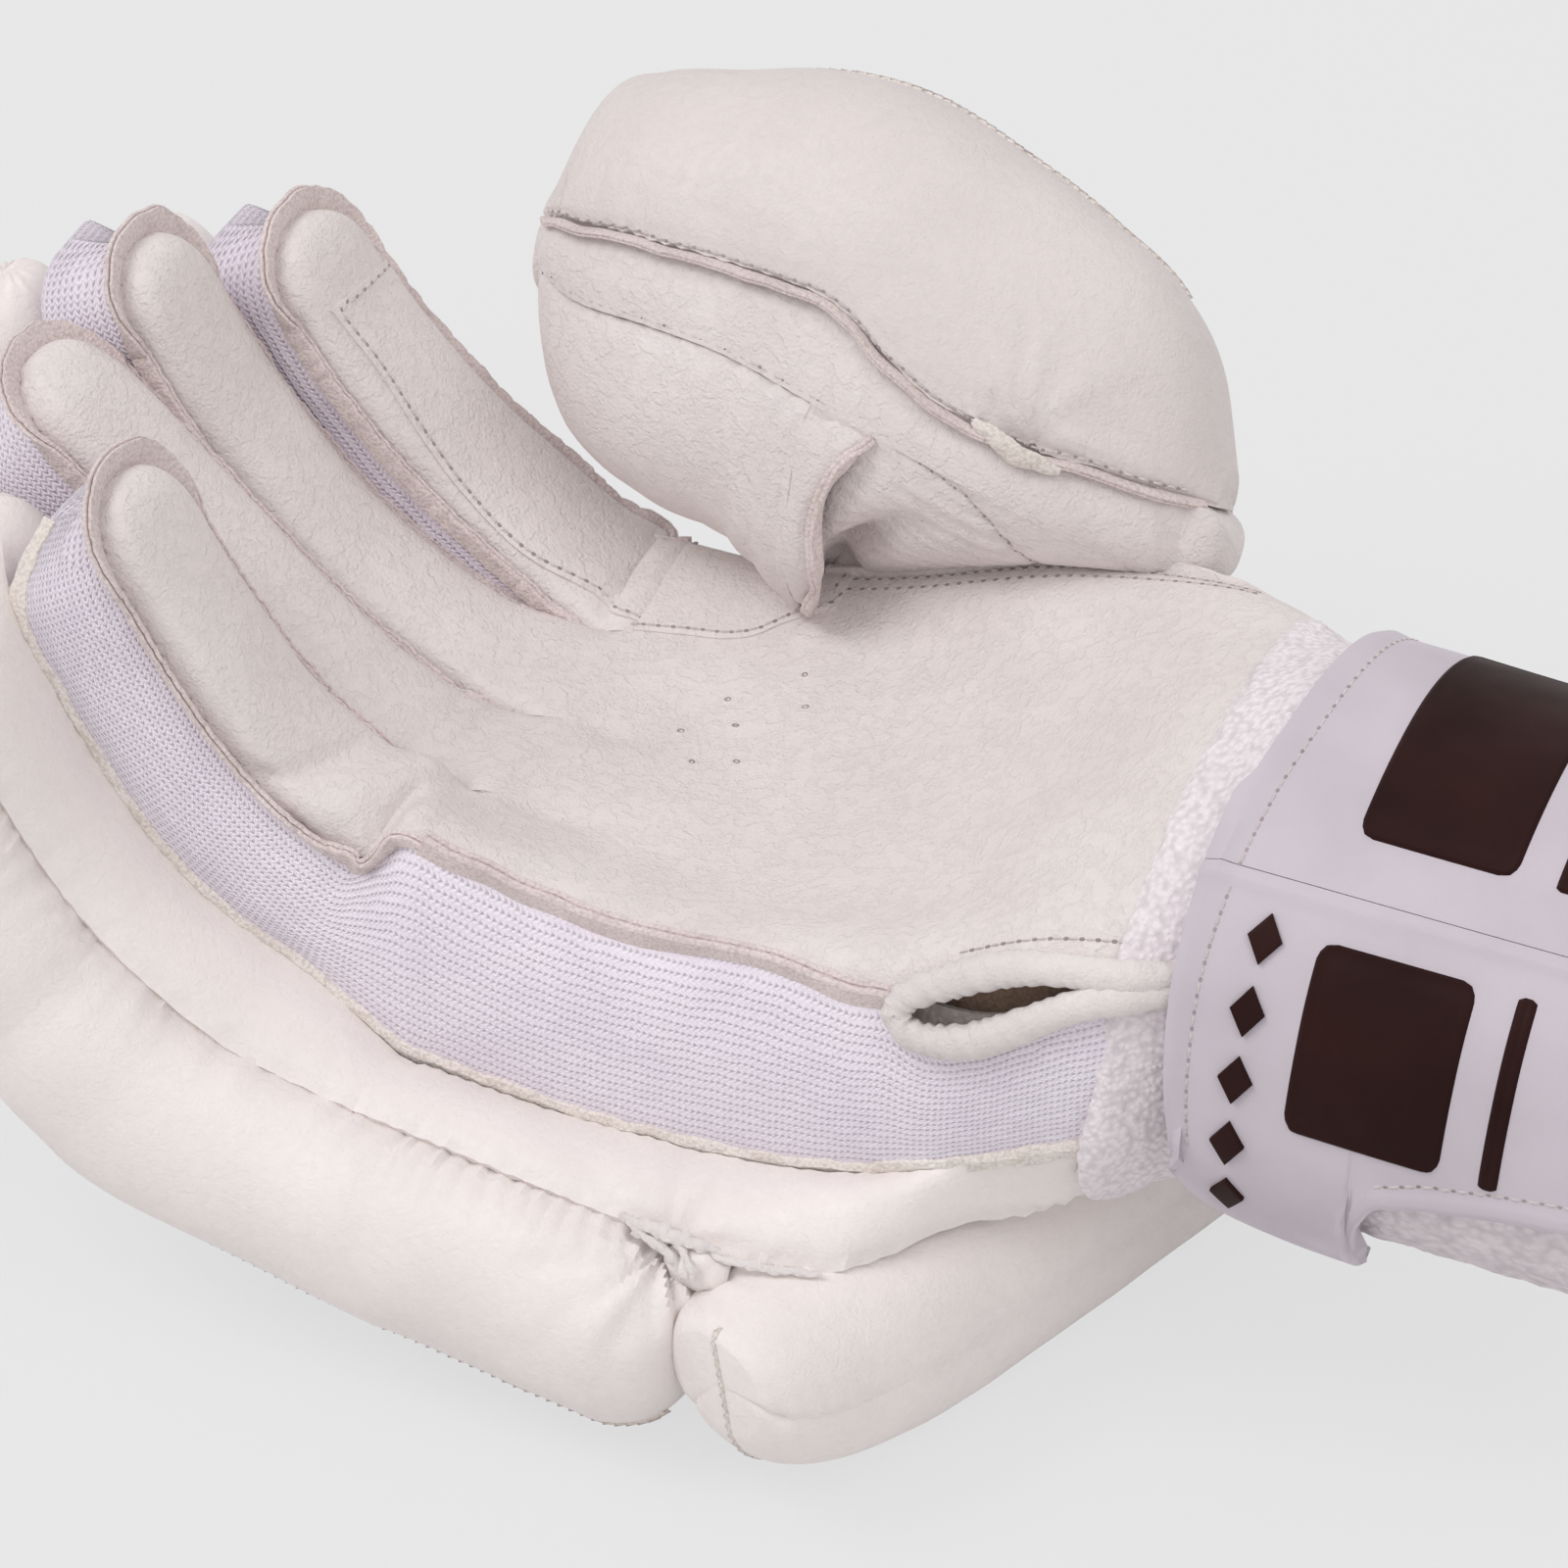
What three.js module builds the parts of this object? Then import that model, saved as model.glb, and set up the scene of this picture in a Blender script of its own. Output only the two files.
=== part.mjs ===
import * as THREE from "three";

// A padded right-hand batting glove that lies on its back, palm up, with its fingers curled.
// Millimetres. In the hand frame +X points to the wrist, +Y to the thumb and +Z out of the palm.

// Driving dimensions of the hand
const restHeight = 50; // from the surface under the glove up to the hand frame
const knuckleX = -44; // where the fingers leave the palm
const palmLength = 119; // finger roots to strap
const palmHalfWidth = 44;
const handDepth = 30;
const seamGap = 0.3; // between pieces that are sewn together
const leatherThickness = 1.3;
const knitThickness = 1.6;
const liningThickness = 0.9;

// Driving dimensions of the fingers
const fingerPitch = 22;
const indexLength = 82;
const middleLength = 97;
const ringLength = 88;
const littleLength = 70;
const indexRootX = -42;
const middleRootX = -45;
const littleRootX = -43;
const fingerRootZ = 2;
const littleRootZ = 8;
const indexWiden = 3; // the index stall is this much wider than the pitch
const littleSpread = 5; // the little finger's knit spreads this far towards the outer roll
const fingerSideClearance = 0.3; // between two fingers and the middle of their pitch
const stallFront = 10; // stall centre line to its palm side
const stallBack = 18; // stall centre line to its back
const stallTipLength = 13; // length of the rounded tip
const fingerCloseDegrees = 26;
const indexCloseDegrees = 14;
const fingerOpenDegrees = 10;
const jointGap = 0.3;
const wedgeClearanceDegrees = 4; // the cuts at a joint are wider than its travel by this

// Driving dimensions of the padding
const rollDepth = 30; // finger rolls, out from the stall
const rollTipDepth = 25;
const flatCut = 0.5; // how deep the rolls are cut flat where the glove stands on them
const outerRollHalfWidth = 15.4;
const outerRollGap = 2.1; // from the little finger's knit to the roll beside it
const outerRollDepth = 33;
const outerRollEndX = 16.5;
const outerRollEndZ = -16; // top of its end on the hand
const outerRollSeat = 1; // its top above the back of the little finger's stall
const knuckleRollEndX = 21;
const wristRollHalfWidth = 16.5;
const wristRollLength = 128;
const wristRollStartX = 24.5;
const wristRollStartY = -82;
const wristRollTopZ = -15;
const wristRollSkewDegrees = 69;

// Driving dimensions of the cuff and its strap
const cuffRadiusY = 39.5;
const cuffRadiusZ = 35.5;
const cuffCentreY = -2;
const cuffCentreZ = 15;
const handEndX = 66;
const cuffEndX = 139;
const terryThickness = 2.5;
const strapStartX = 75;
const strapWidth = 62;
const strapThickness = 2.1;
const patchThickness = 0.9;
const patchGap = 0.3;
const motifHeight = 0.8;
const slitStartX = 36;
const slitHalfWidth = 5.3;
const bindingRadius = 1.9;

// Driving dimensions of the thumb, in its own frame: local Y across, local Z to its back
const thumbCentreY = 50;
const thumbCentreZ = 38;
const thumbRollDegrees = 36.87;
const thumbTipX = -65;
const thumbLength = 111;
const thumbShellHeight = 36;
const thumbHalfWidth = 25;
const thumbSeamRise = 16;
const thumbStallDepth = 42;
const thumbHoleStartX = -10; // the hand is open to the thumb between these
const thumbHoleEndX = 45;
const webEndX = 32;
const thumbHingeX = 46;
const thumbHingeRise = -13;
const thumbCloseDegrees = 5;
const coverThickness = 1.2;
const guardThickness = 1.6;

const radians = THREE.MathUtils.degToRad;
const mix = THREE.MathUtils.lerp;

// Value at x on a smooth line through the pairs (xs, values)
function smoothAt(xs, values, x) {
  const last = xs.length - 1;
  if (x <= xs[0]) return values[0];
  if (x >= xs[last]) return values[last];
  const i = xs.findIndex((limit) => x < limit) - 1;
  const slope = (a, b) => (values[b] - values[a]) / (xs[b] - xs[a]);
  const middle = slope(i, i + 1);
  const before = i > 0 ? (slope(i - 1, i) + middle) / 2 : middle;
  const after = i + 2 <= last ? (slope(i + 1, i + 2) + middle) / 2 : middle;
  const span = xs[i + 1] - xs[i];
  const t = (x - xs[i]) / span;
  const square = t * t;
  const cube = square * t;
  const startPart = (2 * cube - 3 * square + 1) * values[i] + (cube - 2 * square + t) * span * before;
  const endPart = (3 * square - 2 * cube) * values[i + 1] + (cube - square) * span * after;
  return startPart + endPart;
}

// Point at t on a closed smooth curve through [a, b] pairs, one unit of t for each pair
function closedCurve(points, t) {
  const count = points.length;
  const wrapped = ((t % count) + count) % count;
  const i = Math.floor(wrapped);
  const f = wrapped - i;
  const [p, q, r, s] = [-1, 0, 1, 2].map((k) => points[(i + k + count) % count]);
  const blend = (k) => {
    const linear = r[k] - p[k];
    const second = 2 * p[k] - 5 * q[k] + 4 * r[k] - s[k];
    const third = 3 * (q[k] - r[k]) + s[k] - p[k];
    return q[k] + (f / 2) * (linear + f * (second + f * third));
  };
  return [blend(0), blend(1)];
}

// Geometry from points and faces, turned so that its faces point out
function closedBody(points, faces) {
  let volume = 0;
  for (const [a, b, c] of faces) {
    volume += points[a].dot(points[b].clone().cross(points[c]));
  }
  const out = volume < 0 ? faces.map(([a, b, c]) => [a, c, b]) : faces;
  const geometry = new THREE.BufferGeometry();
  geometry.setAttribute("position", new THREE.Float32BufferAttribute(points.flatMap((p) => p.toArray()), 3));
  geometry.setIndex(out.flat());
  return geometry;
}

// Outward normal of surface(u, v), where the surface's own frame makes v run round it
const probeShare = 1e-3;
function normalAt(surface, u, v, side) {
  const alongU = surface(u + probeShare, v).sub(surface(u - probeShare, v));
  const alongV = surface(u, v + probeShare).sub(surface(u, v - probeShare));
  return alongU.cross(alongV).normalize().multiplyScalar(side);
}

// v moved by a length along the surface
function stepAcross(surface, u, v, length) {
  const rate = surface(u, v + probeShare).distanceTo(surface(u, v - probeShare)) / (2 * probeShare);
  return v + length / rate;
}

// A sheet of even thickness on surface(u, v). ends gives [u0, u1] at v, edges gives [v0, v1] at a share of u.
// lift raises it off the surface at v. cells are two counts, or a count and the shares of v between cells.
function sheet(surface, ends, edges, cells, inset, thickness, side, lift = () => 0) {
  const [uCount, vCells] = cells;
  const vShares = Array.isArray(vCells) ? vCells : Array.from({ length: vCells + 1 }, (_, j) => j / vCells);
  const vCount = vShares.length - 1;
  const points = [];
  const index = (layer, i, j) => layer * (uCount + 1) * (vCount + 1) + i * (vCount + 1) + j;
  for (const depth of [inset, inset + thickness]) {
    for (let i = 0; i <= uCount; i += 1) {
      const [vStart, vEnd] = edges(i / uCount);
      for (let j = 0; j <= vCount; j += 1) {
        const v = mix(vStart, vEnd, vShares[j]);
        const [uStart, uEnd] = ends(v);
        const u = mix(uStart, uEnd, i / uCount);
        const normal = normalAt(surface, u, v, side);
        points.push(surface(u, v).addScaledVector(normal, lift(v) - depth));
      }
    }
  }
  const faces = [];
  const quad = (a, b, c, d) => faces.push([a, b, c], [a, c, d]);
  for (let i = 0; i < uCount; i += 1) {
    for (let j = 0; j < vCount; j += 1) {
      quad(index(0, i, j), index(0, i + 1, j), index(0, i + 1, j + 1), index(0, i, j + 1));
      quad(index(1, i, j), index(1, i, j + 1), index(1, i + 1, j + 1), index(1, i + 1, j));
    }
    quad(index(0, i, 0), index(1, i, 0), index(1, i + 1, 0), index(0, i + 1, 0));
    quad(index(0, i, vCount), index(0, i + 1, vCount), index(1, i + 1, vCount), index(1, i, vCount));
  }
  for (let j = 0; j < vCount; j += 1) {
    quad(index(0, 0, j), index(0, 0, j + 1), index(1, 0, j + 1), index(1, 0, j));
    quad(index(0, uCount, j), index(1, uCount, j), index(1, uCount, j + 1), index(0, uCount, j + 1));
  }
  return closedBody(points, faces);
}

// A closed body through rings of equal count, with a fan at each end
function loft(rings) {
  const sides = rings[0].length;
  const points = rings.flat();
  const faces = [];
  for (let i = 0; i + 1 < rings.length; i += 1) {
    for (let j = 0; j < sides; j += 1) {
      const next = (j + 1) % sides;
      const [a, b] = [i * sides + j, i * sides + next];
      faces.push([a, b, b + sides], [a, b + sides, a + sides]);
    }
  }
  for (const [ring, turned] of [[0, true], [rings.length - 1, false]]) {
    const centre = new THREE.Vector3();
    rings[ring].forEach((p) => centre.add(p));
    points.push(centre.divideScalar(sides));
    const hub = points.length - 1;
    for (let j = 0; j < sides; j += 1) {
      const [a, b] = [ring * sides + j, ring * sides + ((j + 1) % sides)];
      faces.push(turned ? [hub, b, a] : [hub, a, b]);
    }
  }
  return closedBody(points, faces);
}

// Factor that turns a circle's [c, s] into a rounded square's
function squareFactor(c, s, power) {
  return Math.pow(Math.pow(Math.abs(c), power) + Math.pow(Math.abs(s), power), -1 / power);
}

// A padded roll. place(u, y, h) puts a point, h runs from top(a) to bottom(a), and a is the share of its
// length.
const endDropShare = 0.55;
const rollSideCount = 14;
const rollSquareness = 2.7;
const crownPower = 2.6;
const restCrownPower = 4; // of the rolls that the glove rests on
const crownStartShare = 0.035;
function paddedRoll(roll) {
  const { place, start, end, centreY, halfWidth, top, bottom } = roll;
  const { rings = 9, round = [true, true], power = crownPower } = roll;
  const crown = (a) => {
    const edge = a < 0.5 ? round[0] : round[1];
    return edge ? Math.pow(1 - Math.pow(Math.abs(2 * a - 1), power), 1 / power) : 1;
  };
  const made = [];
  for (let i = 0; i < rings; i += 1) {
    const even = i / (rings - 1);
    const eased = (1 - Math.cos(Math.PI * even)) / 2;
    const a = mix(round[0] ? crownStartShare : 0, round[1] ? 1 - crownStartShare : 1, eased);
    const size = crown(a);
    const half = (top(a) - bottom(a)) / 2;
    const middle = top(a) - half * mix(endDropShare, 1, size);
    const ring = [];
    for (let j = 0; j < rollSideCount; j += 1) {
      const angle = (2 * Math.PI * j) / rollSideCount;
      const [c, s] = [Math.cos(angle), Math.sin(angle)];
      const bulge = squareFactor(c, s, rollSquareness);
      const y = centreY + halfWidth * size * bulge * c;
      const h = middle + half * size * bulge * s;
      const u = mix(start(h), end(h), a);
      ring.push(place(u, y, h));
    }
    made.push(ring);
  }
  return loft(made);
}

const colours = {
  palm: 0xded5d4,
  patch: 0xe0d7d5,
  shell: 0xe1d9d6,
  stall: 0xd6cccb,
  knit: 0xe0d5e0,
  roll: 0xf0e8e6,
  lining: 0xe6e0da,
  terry: 0xcec3c7,
  rubber: 0xcec4cc,
  motif: 0x3e2928,
  binding: 0xd8cfd3,
  hook: 0xd9d2d8,
  plate: 0xd2d0cc,
};
const finishes = {
  leather: { roughness: 0.55, metalness: 0 },
  fabric: { roughness: 0.95, metalness: 0 },
  rubber: { roughness: 0.6, metalness: 0 },
};

const glove = new THREE.Group();
const hand = new THREE.Group();
hand.position.set(0, -fingerPitch / 2, restHeight);
glove.add(hand);

function add(name, geometry, colour, finish, parent = hand) {
  const material = new THREE.MeshStandardMaterial({ color: colours[colour], ...finishes[finish] });
  const mesh = new THREE.Mesh(geometry, material);
  mesh.name = name;
  parent.add(mesh);
  return mesh;
}

// The hand's section at five stations, as shares of palmLength, palmHalfWidth and handDepth. Point 0 is the
// seam on the little-finger edge of the palm, 4 the seam on the thumb edge, 7 the middle of the back.
const stationShares = [0, 0.286, 0.622, 0.84, 1];
const outlineWidthShares = [
  [-1, -0.5, 0, 0.5, 0.98, 1.045, 0.91, 0, -0.955, -1.15],
  [-1, -0.5, 0, 0.5, 0.93, 1.045, 0.91, 0, -0.955, -1.15],
  [-1, -0.55, 0, 0.5, 0.9, 1.03, 0.86, 0, -0.91, -1.12],
  [-0.97, -0.55, -0.02, 0.46, 0.86, 0.97, 0.74, -0.02, -0.8, -1.05],
];
const outlineDepthShares = [
  [0.8, 0.5, 0.4, 0.37, 0.4, 0, -0.53, -0.6, -0.57, -0.33],
  [0.52, 0.4, 0.34, 0.4, 0.53, 0.07, -0.53, -0.63, -0.63, -0.43],
  [0.68, 0.67, 0.7, 0.86, 1.03, 0.4, -0.5, -0.67, -0.6, -0.33],
  [0.9, 1.18, 1.3, 1.3, 1.16, 0.48, -0.46, -0.72, -0.52, 0],
];
const cuffAngles = [155, 122, 90, 62, 32, 0, -45, -90, -135, -167].map(radians);
outlineWidthShares.push(cuffAngles.map((a) => (cuffCentreY + cuffRadiusY * Math.cos(a)) / palmHalfWidth));
outlineDepthShares.push(cuffAngles.map((a) => (cuffCentreZ + cuffRadiusZ * Math.sin(a)) / handDepth));

function handOutline(x) {
  const share = (x - knuckleX) / palmLength;
  const read = (table, k, size) => size * smoothAt(stationShares, table.map((row) => row[k]), share);
  return cuffAngles.map((_, k) => [
    read(outlineWidthShares, k, palmHalfWidth),
    read(outlineDepthShares, k, handDepth),
  ]);
}
function handSurface(x, t) {
  const [y, z] = closedCurve(handOutline(x), t);
  return new THREE.Vector3(x, y, z);
}
const handSide = 1;
const outlineCount = cuffAngles.length;

// Height of the hand's back at a place, read between points along the back of its outline
const backRangeShares = [5.6, 9.1];
const backSamples = 20;
function backHeight(x, y) {
  let last = handSurface(x, backRangeShares[0]);
  for (let i = 1; i <= backSamples; i += 1) {
    const point = handSurface(x, mix(...backRangeShares, i / backSamples));
    if ((last.y - y) * (point.y - y) <= 0) return mix(last.z, point.z, (last.y - y) / (last.y - point.y));
    last = point;
  }
  return last.z;
}

// Fingers from the thumb side: root place, bend angles at root, middle and tip, and length of the centre line
const fingers = [
  { name: "index", x: indexRootX, bends: [28, 44, 66], length: indexLength, widen: indexWiden },
  { name: "middle", x: middleRootX, bends: [12, 50, 68], length: middleLength, widen: 0 },
  { name: "ring", x: middleRootX, bends: [20, 46, 42], length: ringLength, widen: 0 },
  { name: "little", x: littleRootX, bends: [15, 55, 66], length: littleLength, widen: 0 },
];
fingers.forEach((finger, row) => {
  finger.z = finger.name === "little" ? littleRootZ : fingerRootZ;
  finger.spread = finger.name === "little" ? littleSpread : 0;
  finger.close = finger.name === "index" ? indexCloseDegrees : fingerCloseDegrees;
  finger.y = fingerPitch * (1.5 - row) + finger.widen / 2;
  finger.half = finger.length / 2;
  finger.halfWidth = (fingerPitch + finger.widen) / 2 - fingerSideClearance;
  finger.frontWedge = Math.tan(radians((finger.close + wedgeClearanceDegrees + finger.bends[0]) / 2));
  finger.backWedge = Math.tan(radians((finger.bends[0] - fingerOpenDegrees - wedgeClearanceDegrees) / 2));
});

// Centre line of a finger and its direction at length s: two arcs, and a straight run before the root
function fingerLine(finger, s) {
  const [root, middle, tip] = finger.bends.map(radians);
  const arc = (x, z, from, to, span, length) => {
    const rate = (to - from) / span;
    const angle = from + rate * length;
    const alongX = (Math.sin(angle) - Math.sin(from)) / rate;
    const alongZ = (Math.cos(from) - Math.cos(angle)) / rate;
    return { x: x - alongX, z: z + alongZ, angle };
  };
  if (s < 0) {
    return { x: finger.x - s * Math.cos(root), z: finger.z + s * Math.sin(root), angle: root };
  }
  if (s <= finger.half) return arc(finger.x, finger.z, root, middle, finger.half, s);
  const knee = arc(finger.x, finger.z, root, middle, finger.half, finger.half);
  return arc(knee.x, knee.z, middle, tip, finger.half, s - finger.half);
}
function fingerPlace(finger) {
  return (s, y, h) => {
    const line = fingerLine(finger, s);
    return new THREE.Vector3(line.x + h * Math.sin(line.angle), y, line.z + h * Math.cos(line.angle));
  };
}

// The stall's section, as shares of its half width and of its front and back depths. Points 0 and 3 are its
// seams.
const stallWidthShares = [-0.97, -0.6, 0.6, 0.97, 1, 0.74, 0, -0.74, -1];
const stallDepthShares = [0.45, 0.96, 0.96, 0.45, -0.5, -0.93, -1, -0.93, -0.5];
const stallSpreadShares = [0, 0, 0, 0, 0, 0, 0.3, 1, 0.8];
const stallPieces = stallWidthShares.length;
const tipBackShare = 0.7; // depth of the back at the tip
const tipWidthShare = 0.9;
const tipCloseShare = 0.3;
function stallSection(finger, s, t) {
  const share = THREE.MathUtils.clamp(s / finger.length, 0, 1);
  const intoTip = Math.max(0, s - (finger.length - stallTipLength)) / stallTipLength;
  const round = Math.max(tipCloseShare, Math.sqrt(Math.max(0, 1 - intoTip * intoTip)));
  const width = finger.halfWidth * mix(1, tipWidthShare, share) * round;
  const back = stallBack * mix(1, tipBackShare, share);
  const points = stallWidthShares.map((w, k) => {
    const d = stallDepthShares[k] * (stallDepthShares[k] > 0 ? stallFront : back);
    const middle = (stallFront - back) / 2;
    return [w * width - stallSpreadShares[k] * finger.spread * round, mix(middle, d, round)];
  });
  const [y, h] = closedCurve(points, t);
  return [finger.y + y, h];
}
function stallSurface(finger) {
  const place = fingerPlace(finger);
  return (s, t) => place(s, ...stallSection(finger, s, t));
}

// Where a finger's root end lies at height h, and the two sides of its middle joint
const rootEnd = (finger) => (h) => jointGap + h * (h > 0 ? finger.frontWedge : finger.backWedge);
function kneeCut(finger, h) {
  const travel = h > 0 ? finger.close : fingerOpenDegrees;
  return jointGap + Math.abs(h) * Math.tan(radians((travel + wedgeClearanceDegrees) / 2));
}
const kneeBefore = (finger) => (h) => finger.half - kneeCut(finger, h);
const kneeAfter = (finger) => (h) => finger.half + kneeCut(finger, h);
const tipEnd = (finger) => () => finger.length;

const stallSide = -1;
// Height h of the stall's section at t, which the cuts at its ends follow
function stallHeight(t) {
  const points = stallDepthShares.map((d) => [d * (d > 0 ? stallFront : stallBack), 0]);
  return closedCurve(points, t)[0];
}
function stallSheet(finger, from, to, start, end, cells, inset, thickness) {
  const surface = stallSurface(finger);
  const ends = (v) => [start(stallHeight(v)), end(stallHeight(v))];
  const edges = (a) => {
    const s = mix(start(0), end(0), a);
    return [stepAcross(surface, s, from, seamGap / 2), stepAcross(surface, s, to, -seamGap / 2)];
  };
  return sheet(surface, ends, edges, cells, inset, thickness, stallSide);
}

for (const finger of fingers) {
  const place = fingerPlace(finger);
  const phases = [
    { name: "lower", start: rootEnd(finger), end: kneeBefore(finger), from: 0, to: finger.half },
    { name: "upper", start: kneeAfter(finger), end: tipEnd(finger), from: finger.half, to: finger.length },
  ];
  const seams = { front: [0, 3], back: [3, stallPieces] };
  const gussetShares = [0, 0.058, 0.17, 0.28, 0.39, 0.5, 0.61, 0.72, 0.83, 0.942, 1];
  for (const { name, start, end, from, to } of phases) {
    const along = name === "upper" ? 6 : 4;
    const front = stallSheet(finger, ...seams.front, start, end, [along, 6], 0, leatherThickness);
    add(`${finger.name}_${name}_palm_leather`, front, "palm", "leather");
    const back = stallSheet(finger, ...seams.back, start, end, [along, gussetShares], 0, knitThickness);
    add(`${finger.name}_${name}_knit_gusset`, back, "knit", "fabric");
    const shareAt = (a) => mix(from, to, a) / finger.length;
    const top = (a) => -stallBack * mix(1, tipBackShare, shareAt(a)) - seamGap;
    const roll = paddedRoll({
      place,
      start,
      end,
      centreY: finger.y - finger.spread / 2,
      halfWidth: finger.halfWidth + finger.spread / 2,
      top,
      bottom: (a) => top(a) - mix(rollDepth, rollTipDepth, shareAt(a)),
      rings: 8,
    });
    add(`${finger.name}_${name}_roll`, roll, "roll", "leather");
  }
}

// Patch of leather on the index finger's palm side
const index = fingers[0];
const indexPatch = stallSheet(
  index,
  1.05,
  2.6,
  (h) => kneeAfter(index)(h),
  () => index.length - stallTipLength,
  [4, 4],
  -patchGap - patchThickness,
  patchThickness,
);
add("index_patch", indexPatch, "patch", "leather");

// The long roll on the little-finger edge, over the hand and both parts of the little finger
const little = fingers[3];
const littleEdgeY = little.y - little.halfWidth - little.spread;
const outerRollCentreY = littleEdgeY - outerRollGap - outerRollHalfWidth;
const handRollTop = (a) => mix(little.z - stallBack + outerRollSeat, outerRollEndZ, a);
const floorZ = -restHeight;
function onFloor(point) {
  point.z = Math.max(point.z, floorZ);
  return point;
}
const handPlace = (x, y, z) => onFloor(new THREE.Vector3(x, y, z));
const knuckleEnd = (finger) => (z) => {
  const h = z - finger.z;
  return finger.x + jointGap + h * (h > 0 ? finger.frontWedge : finger.backWedge);
};
add(
  "outer_roll_hand",
  paddedRoll({
    place: handPlace,
    start: knuckleEnd(little),
    end: () => outerRollEndX,
    centreY: outerRollCentreY,
    halfWidth: outerRollHalfWidth,
    top: handRollTop,
    bottom: (a) => handRollTop(a) - outerRollDepth,
    rings: 9,
    round: [false, true],
  }),
  "roll",
  "leather",
);
const littlePlace = fingerPlace(little);
const outerTop = (share) => outerRollSeat - stallBack * mix(1, tipBackShare, share);
const outerDepth = (share) => mix(outerRollDepth, rollTipDepth, share);
const outerPhases = [
  { name: "lower", start: rootEnd(little), end: kneeBefore(little), shares: [0, 0.5], round: [false, false] },
  { name: "upper", start: kneeAfter(little), end: tipEnd(little), shares: [0.5, 1], round: [false, true] },
];
for (const { name, start, end, shares, round } of outerPhases) {
  const shareAt = (a) => mix(...shares, a);
  const roll = paddedRoll({
    place: littlePlace,
    start,
    end,
    centreY: outerRollCentreY,
    halfWidth: outerRollHalfWidth,
    top: (a) => outerTop(shareAt(a)),
    bottom: (a) => outerTop(shareAt(a)) - outerDepth(shareAt(a)),
    rings: 7,
    round,
  });
  add(`outer_roll_${name}`, roll, "roll", "leather");
}

// Leather flank between the knit edge and the seam on top of the outer roll
const flankBulge = 1.5;
const flankDrop = 0.8;
const flankClearance = 0.5;
function flankSurface(place, inner, outerH) {
  return (u, b) => {
    const [innerY, innerH] = inner(u);
    const y = mix(innerY, outerRollCentreY, b);
    const h = mix(innerH, outerH(u), b) + flankBulge * Math.sin(Math.PI * b);
    return place(u, y, h);
  };
}
const flankSeamShare = 7.45; // where it meets the little finger's stall
const flankPhases = [
  { name: "lower", start: rootEnd(little), end: kneeBefore(little) },
  { name: "upper", start: kneeAfter(little), end: () => little.length - stallTipLength },
];
for (const { name, start, end } of flankPhases) {
  const outerH = (s) => outerTop(s / little.length) + leatherThickness + flankClearance;
  const inner = (s) => {
    const [y, h] = stallSection(little, s, flankSeamShare);
    return [y - seamGap, h];
  };
  const surface = flankSurface(littlePlace, inner, outerH);
  const ends = () => [start(-stallBack), end(-stallBack)];
  const flank = sheet(surface, ends, () => [0, 1], [4, 4], 0, leatherThickness, 1);
  add(`flank_${name}`, flank, "roll", "leather");
}
const palmEdgeShare = outlineCount - 1;
const handFlankEndX = 20;
const handFlankY = outlineWidthShares[0][palmEdgeShare] * palmHalfWidth - flankClearance - knitThickness / 4;
const handFlank = flankSurface(
  (x, y, z) => new THREE.Vector3(x, y, z),
  (x) => [handFlankY, handSurface(x, palmEdgeShare).z + flankDrop],
  (x) => handRollTop((x - little.x) / (outerRollEndX - little.x)) + leatherThickness + flankClearance,
);
const handFlankEnds = () => [knuckleEnd(little)(little.z - stallBack), handFlankEndX];
const handFlankSheet = sheet(handFlank, handFlankEnds, () => [0, 1], [6, 4], 0, leatherThickness, -1);
add("flank_hand", handFlankSheet, "roll", "leather");

// Rolls over the back of the hand, one behind each finger, cut flat where the glove stands on them
const knuckleRollBottom = floorZ - flatCut;
const backClearance = 0.9;
function underHand(point) {
  const limit = backHeight(point.x, point.y) - backClearance;
  point.z = Math.max(Math.min(point.z, limit), floorZ);
  return point;
}
const rollEndSlope = 1 / Math.tan(radians(wristRollSkewDegrees));
for (const finger of fingers) {
  const rollEnd = knuckleRollEndX + (fingerPitch * 1.5 + finger.y) * rollEndSlope;
  const roll = paddedRoll({
    place: (x, y, z) => underHand(new THREE.Vector3(x, y, z)),
    start: knuckleEnd(finger),
    end: () => rollEnd,
    centreY: finger.y - finger.spread / 2,
    halfWidth: finger.halfWidth + finger.spread / 2,
    top: () => -handDepth / 2,
    bottom: () => knuckleRollBottom,
    rings: 9,
    power: restCrownPower,
  });
  add(`knuckle_roll_${finger.name}`, roll, "roll", "leather");
}

// Wrist roll, askew across the back of the hand
const skew = radians(wristRollSkewDegrees);
const wristDirection = new THREE.Vector3(Math.cos(skew), Math.sin(skew), 0);
const wristAcross = new THREE.Vector3(Math.sin(skew), -Math.cos(skew), 0);
const wristPlace = (u, across, z) => {
  const point = new THREE.Vector3(wristRollStartX, wristRollStartY, z);
  return point.addScaledVector(wristDirection, u).addScaledVector(wristAcross, across);
};
add(
  "wrist_roll",
  paddedRoll({
    place: (u, across, z) => underHand(wristPlace(u, across, z)),
    start: () => 0,
    end: () => wristRollLength,
    centreY: 0,
    halfWidth: wristRollHalfWidth,
    top: () => wristRollTopZ,
    bottom: () => knuckleRollBottom,
    rings: 12,
    power: restCrownPower,
  }),
  "roll",
  "leather",
);

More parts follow.
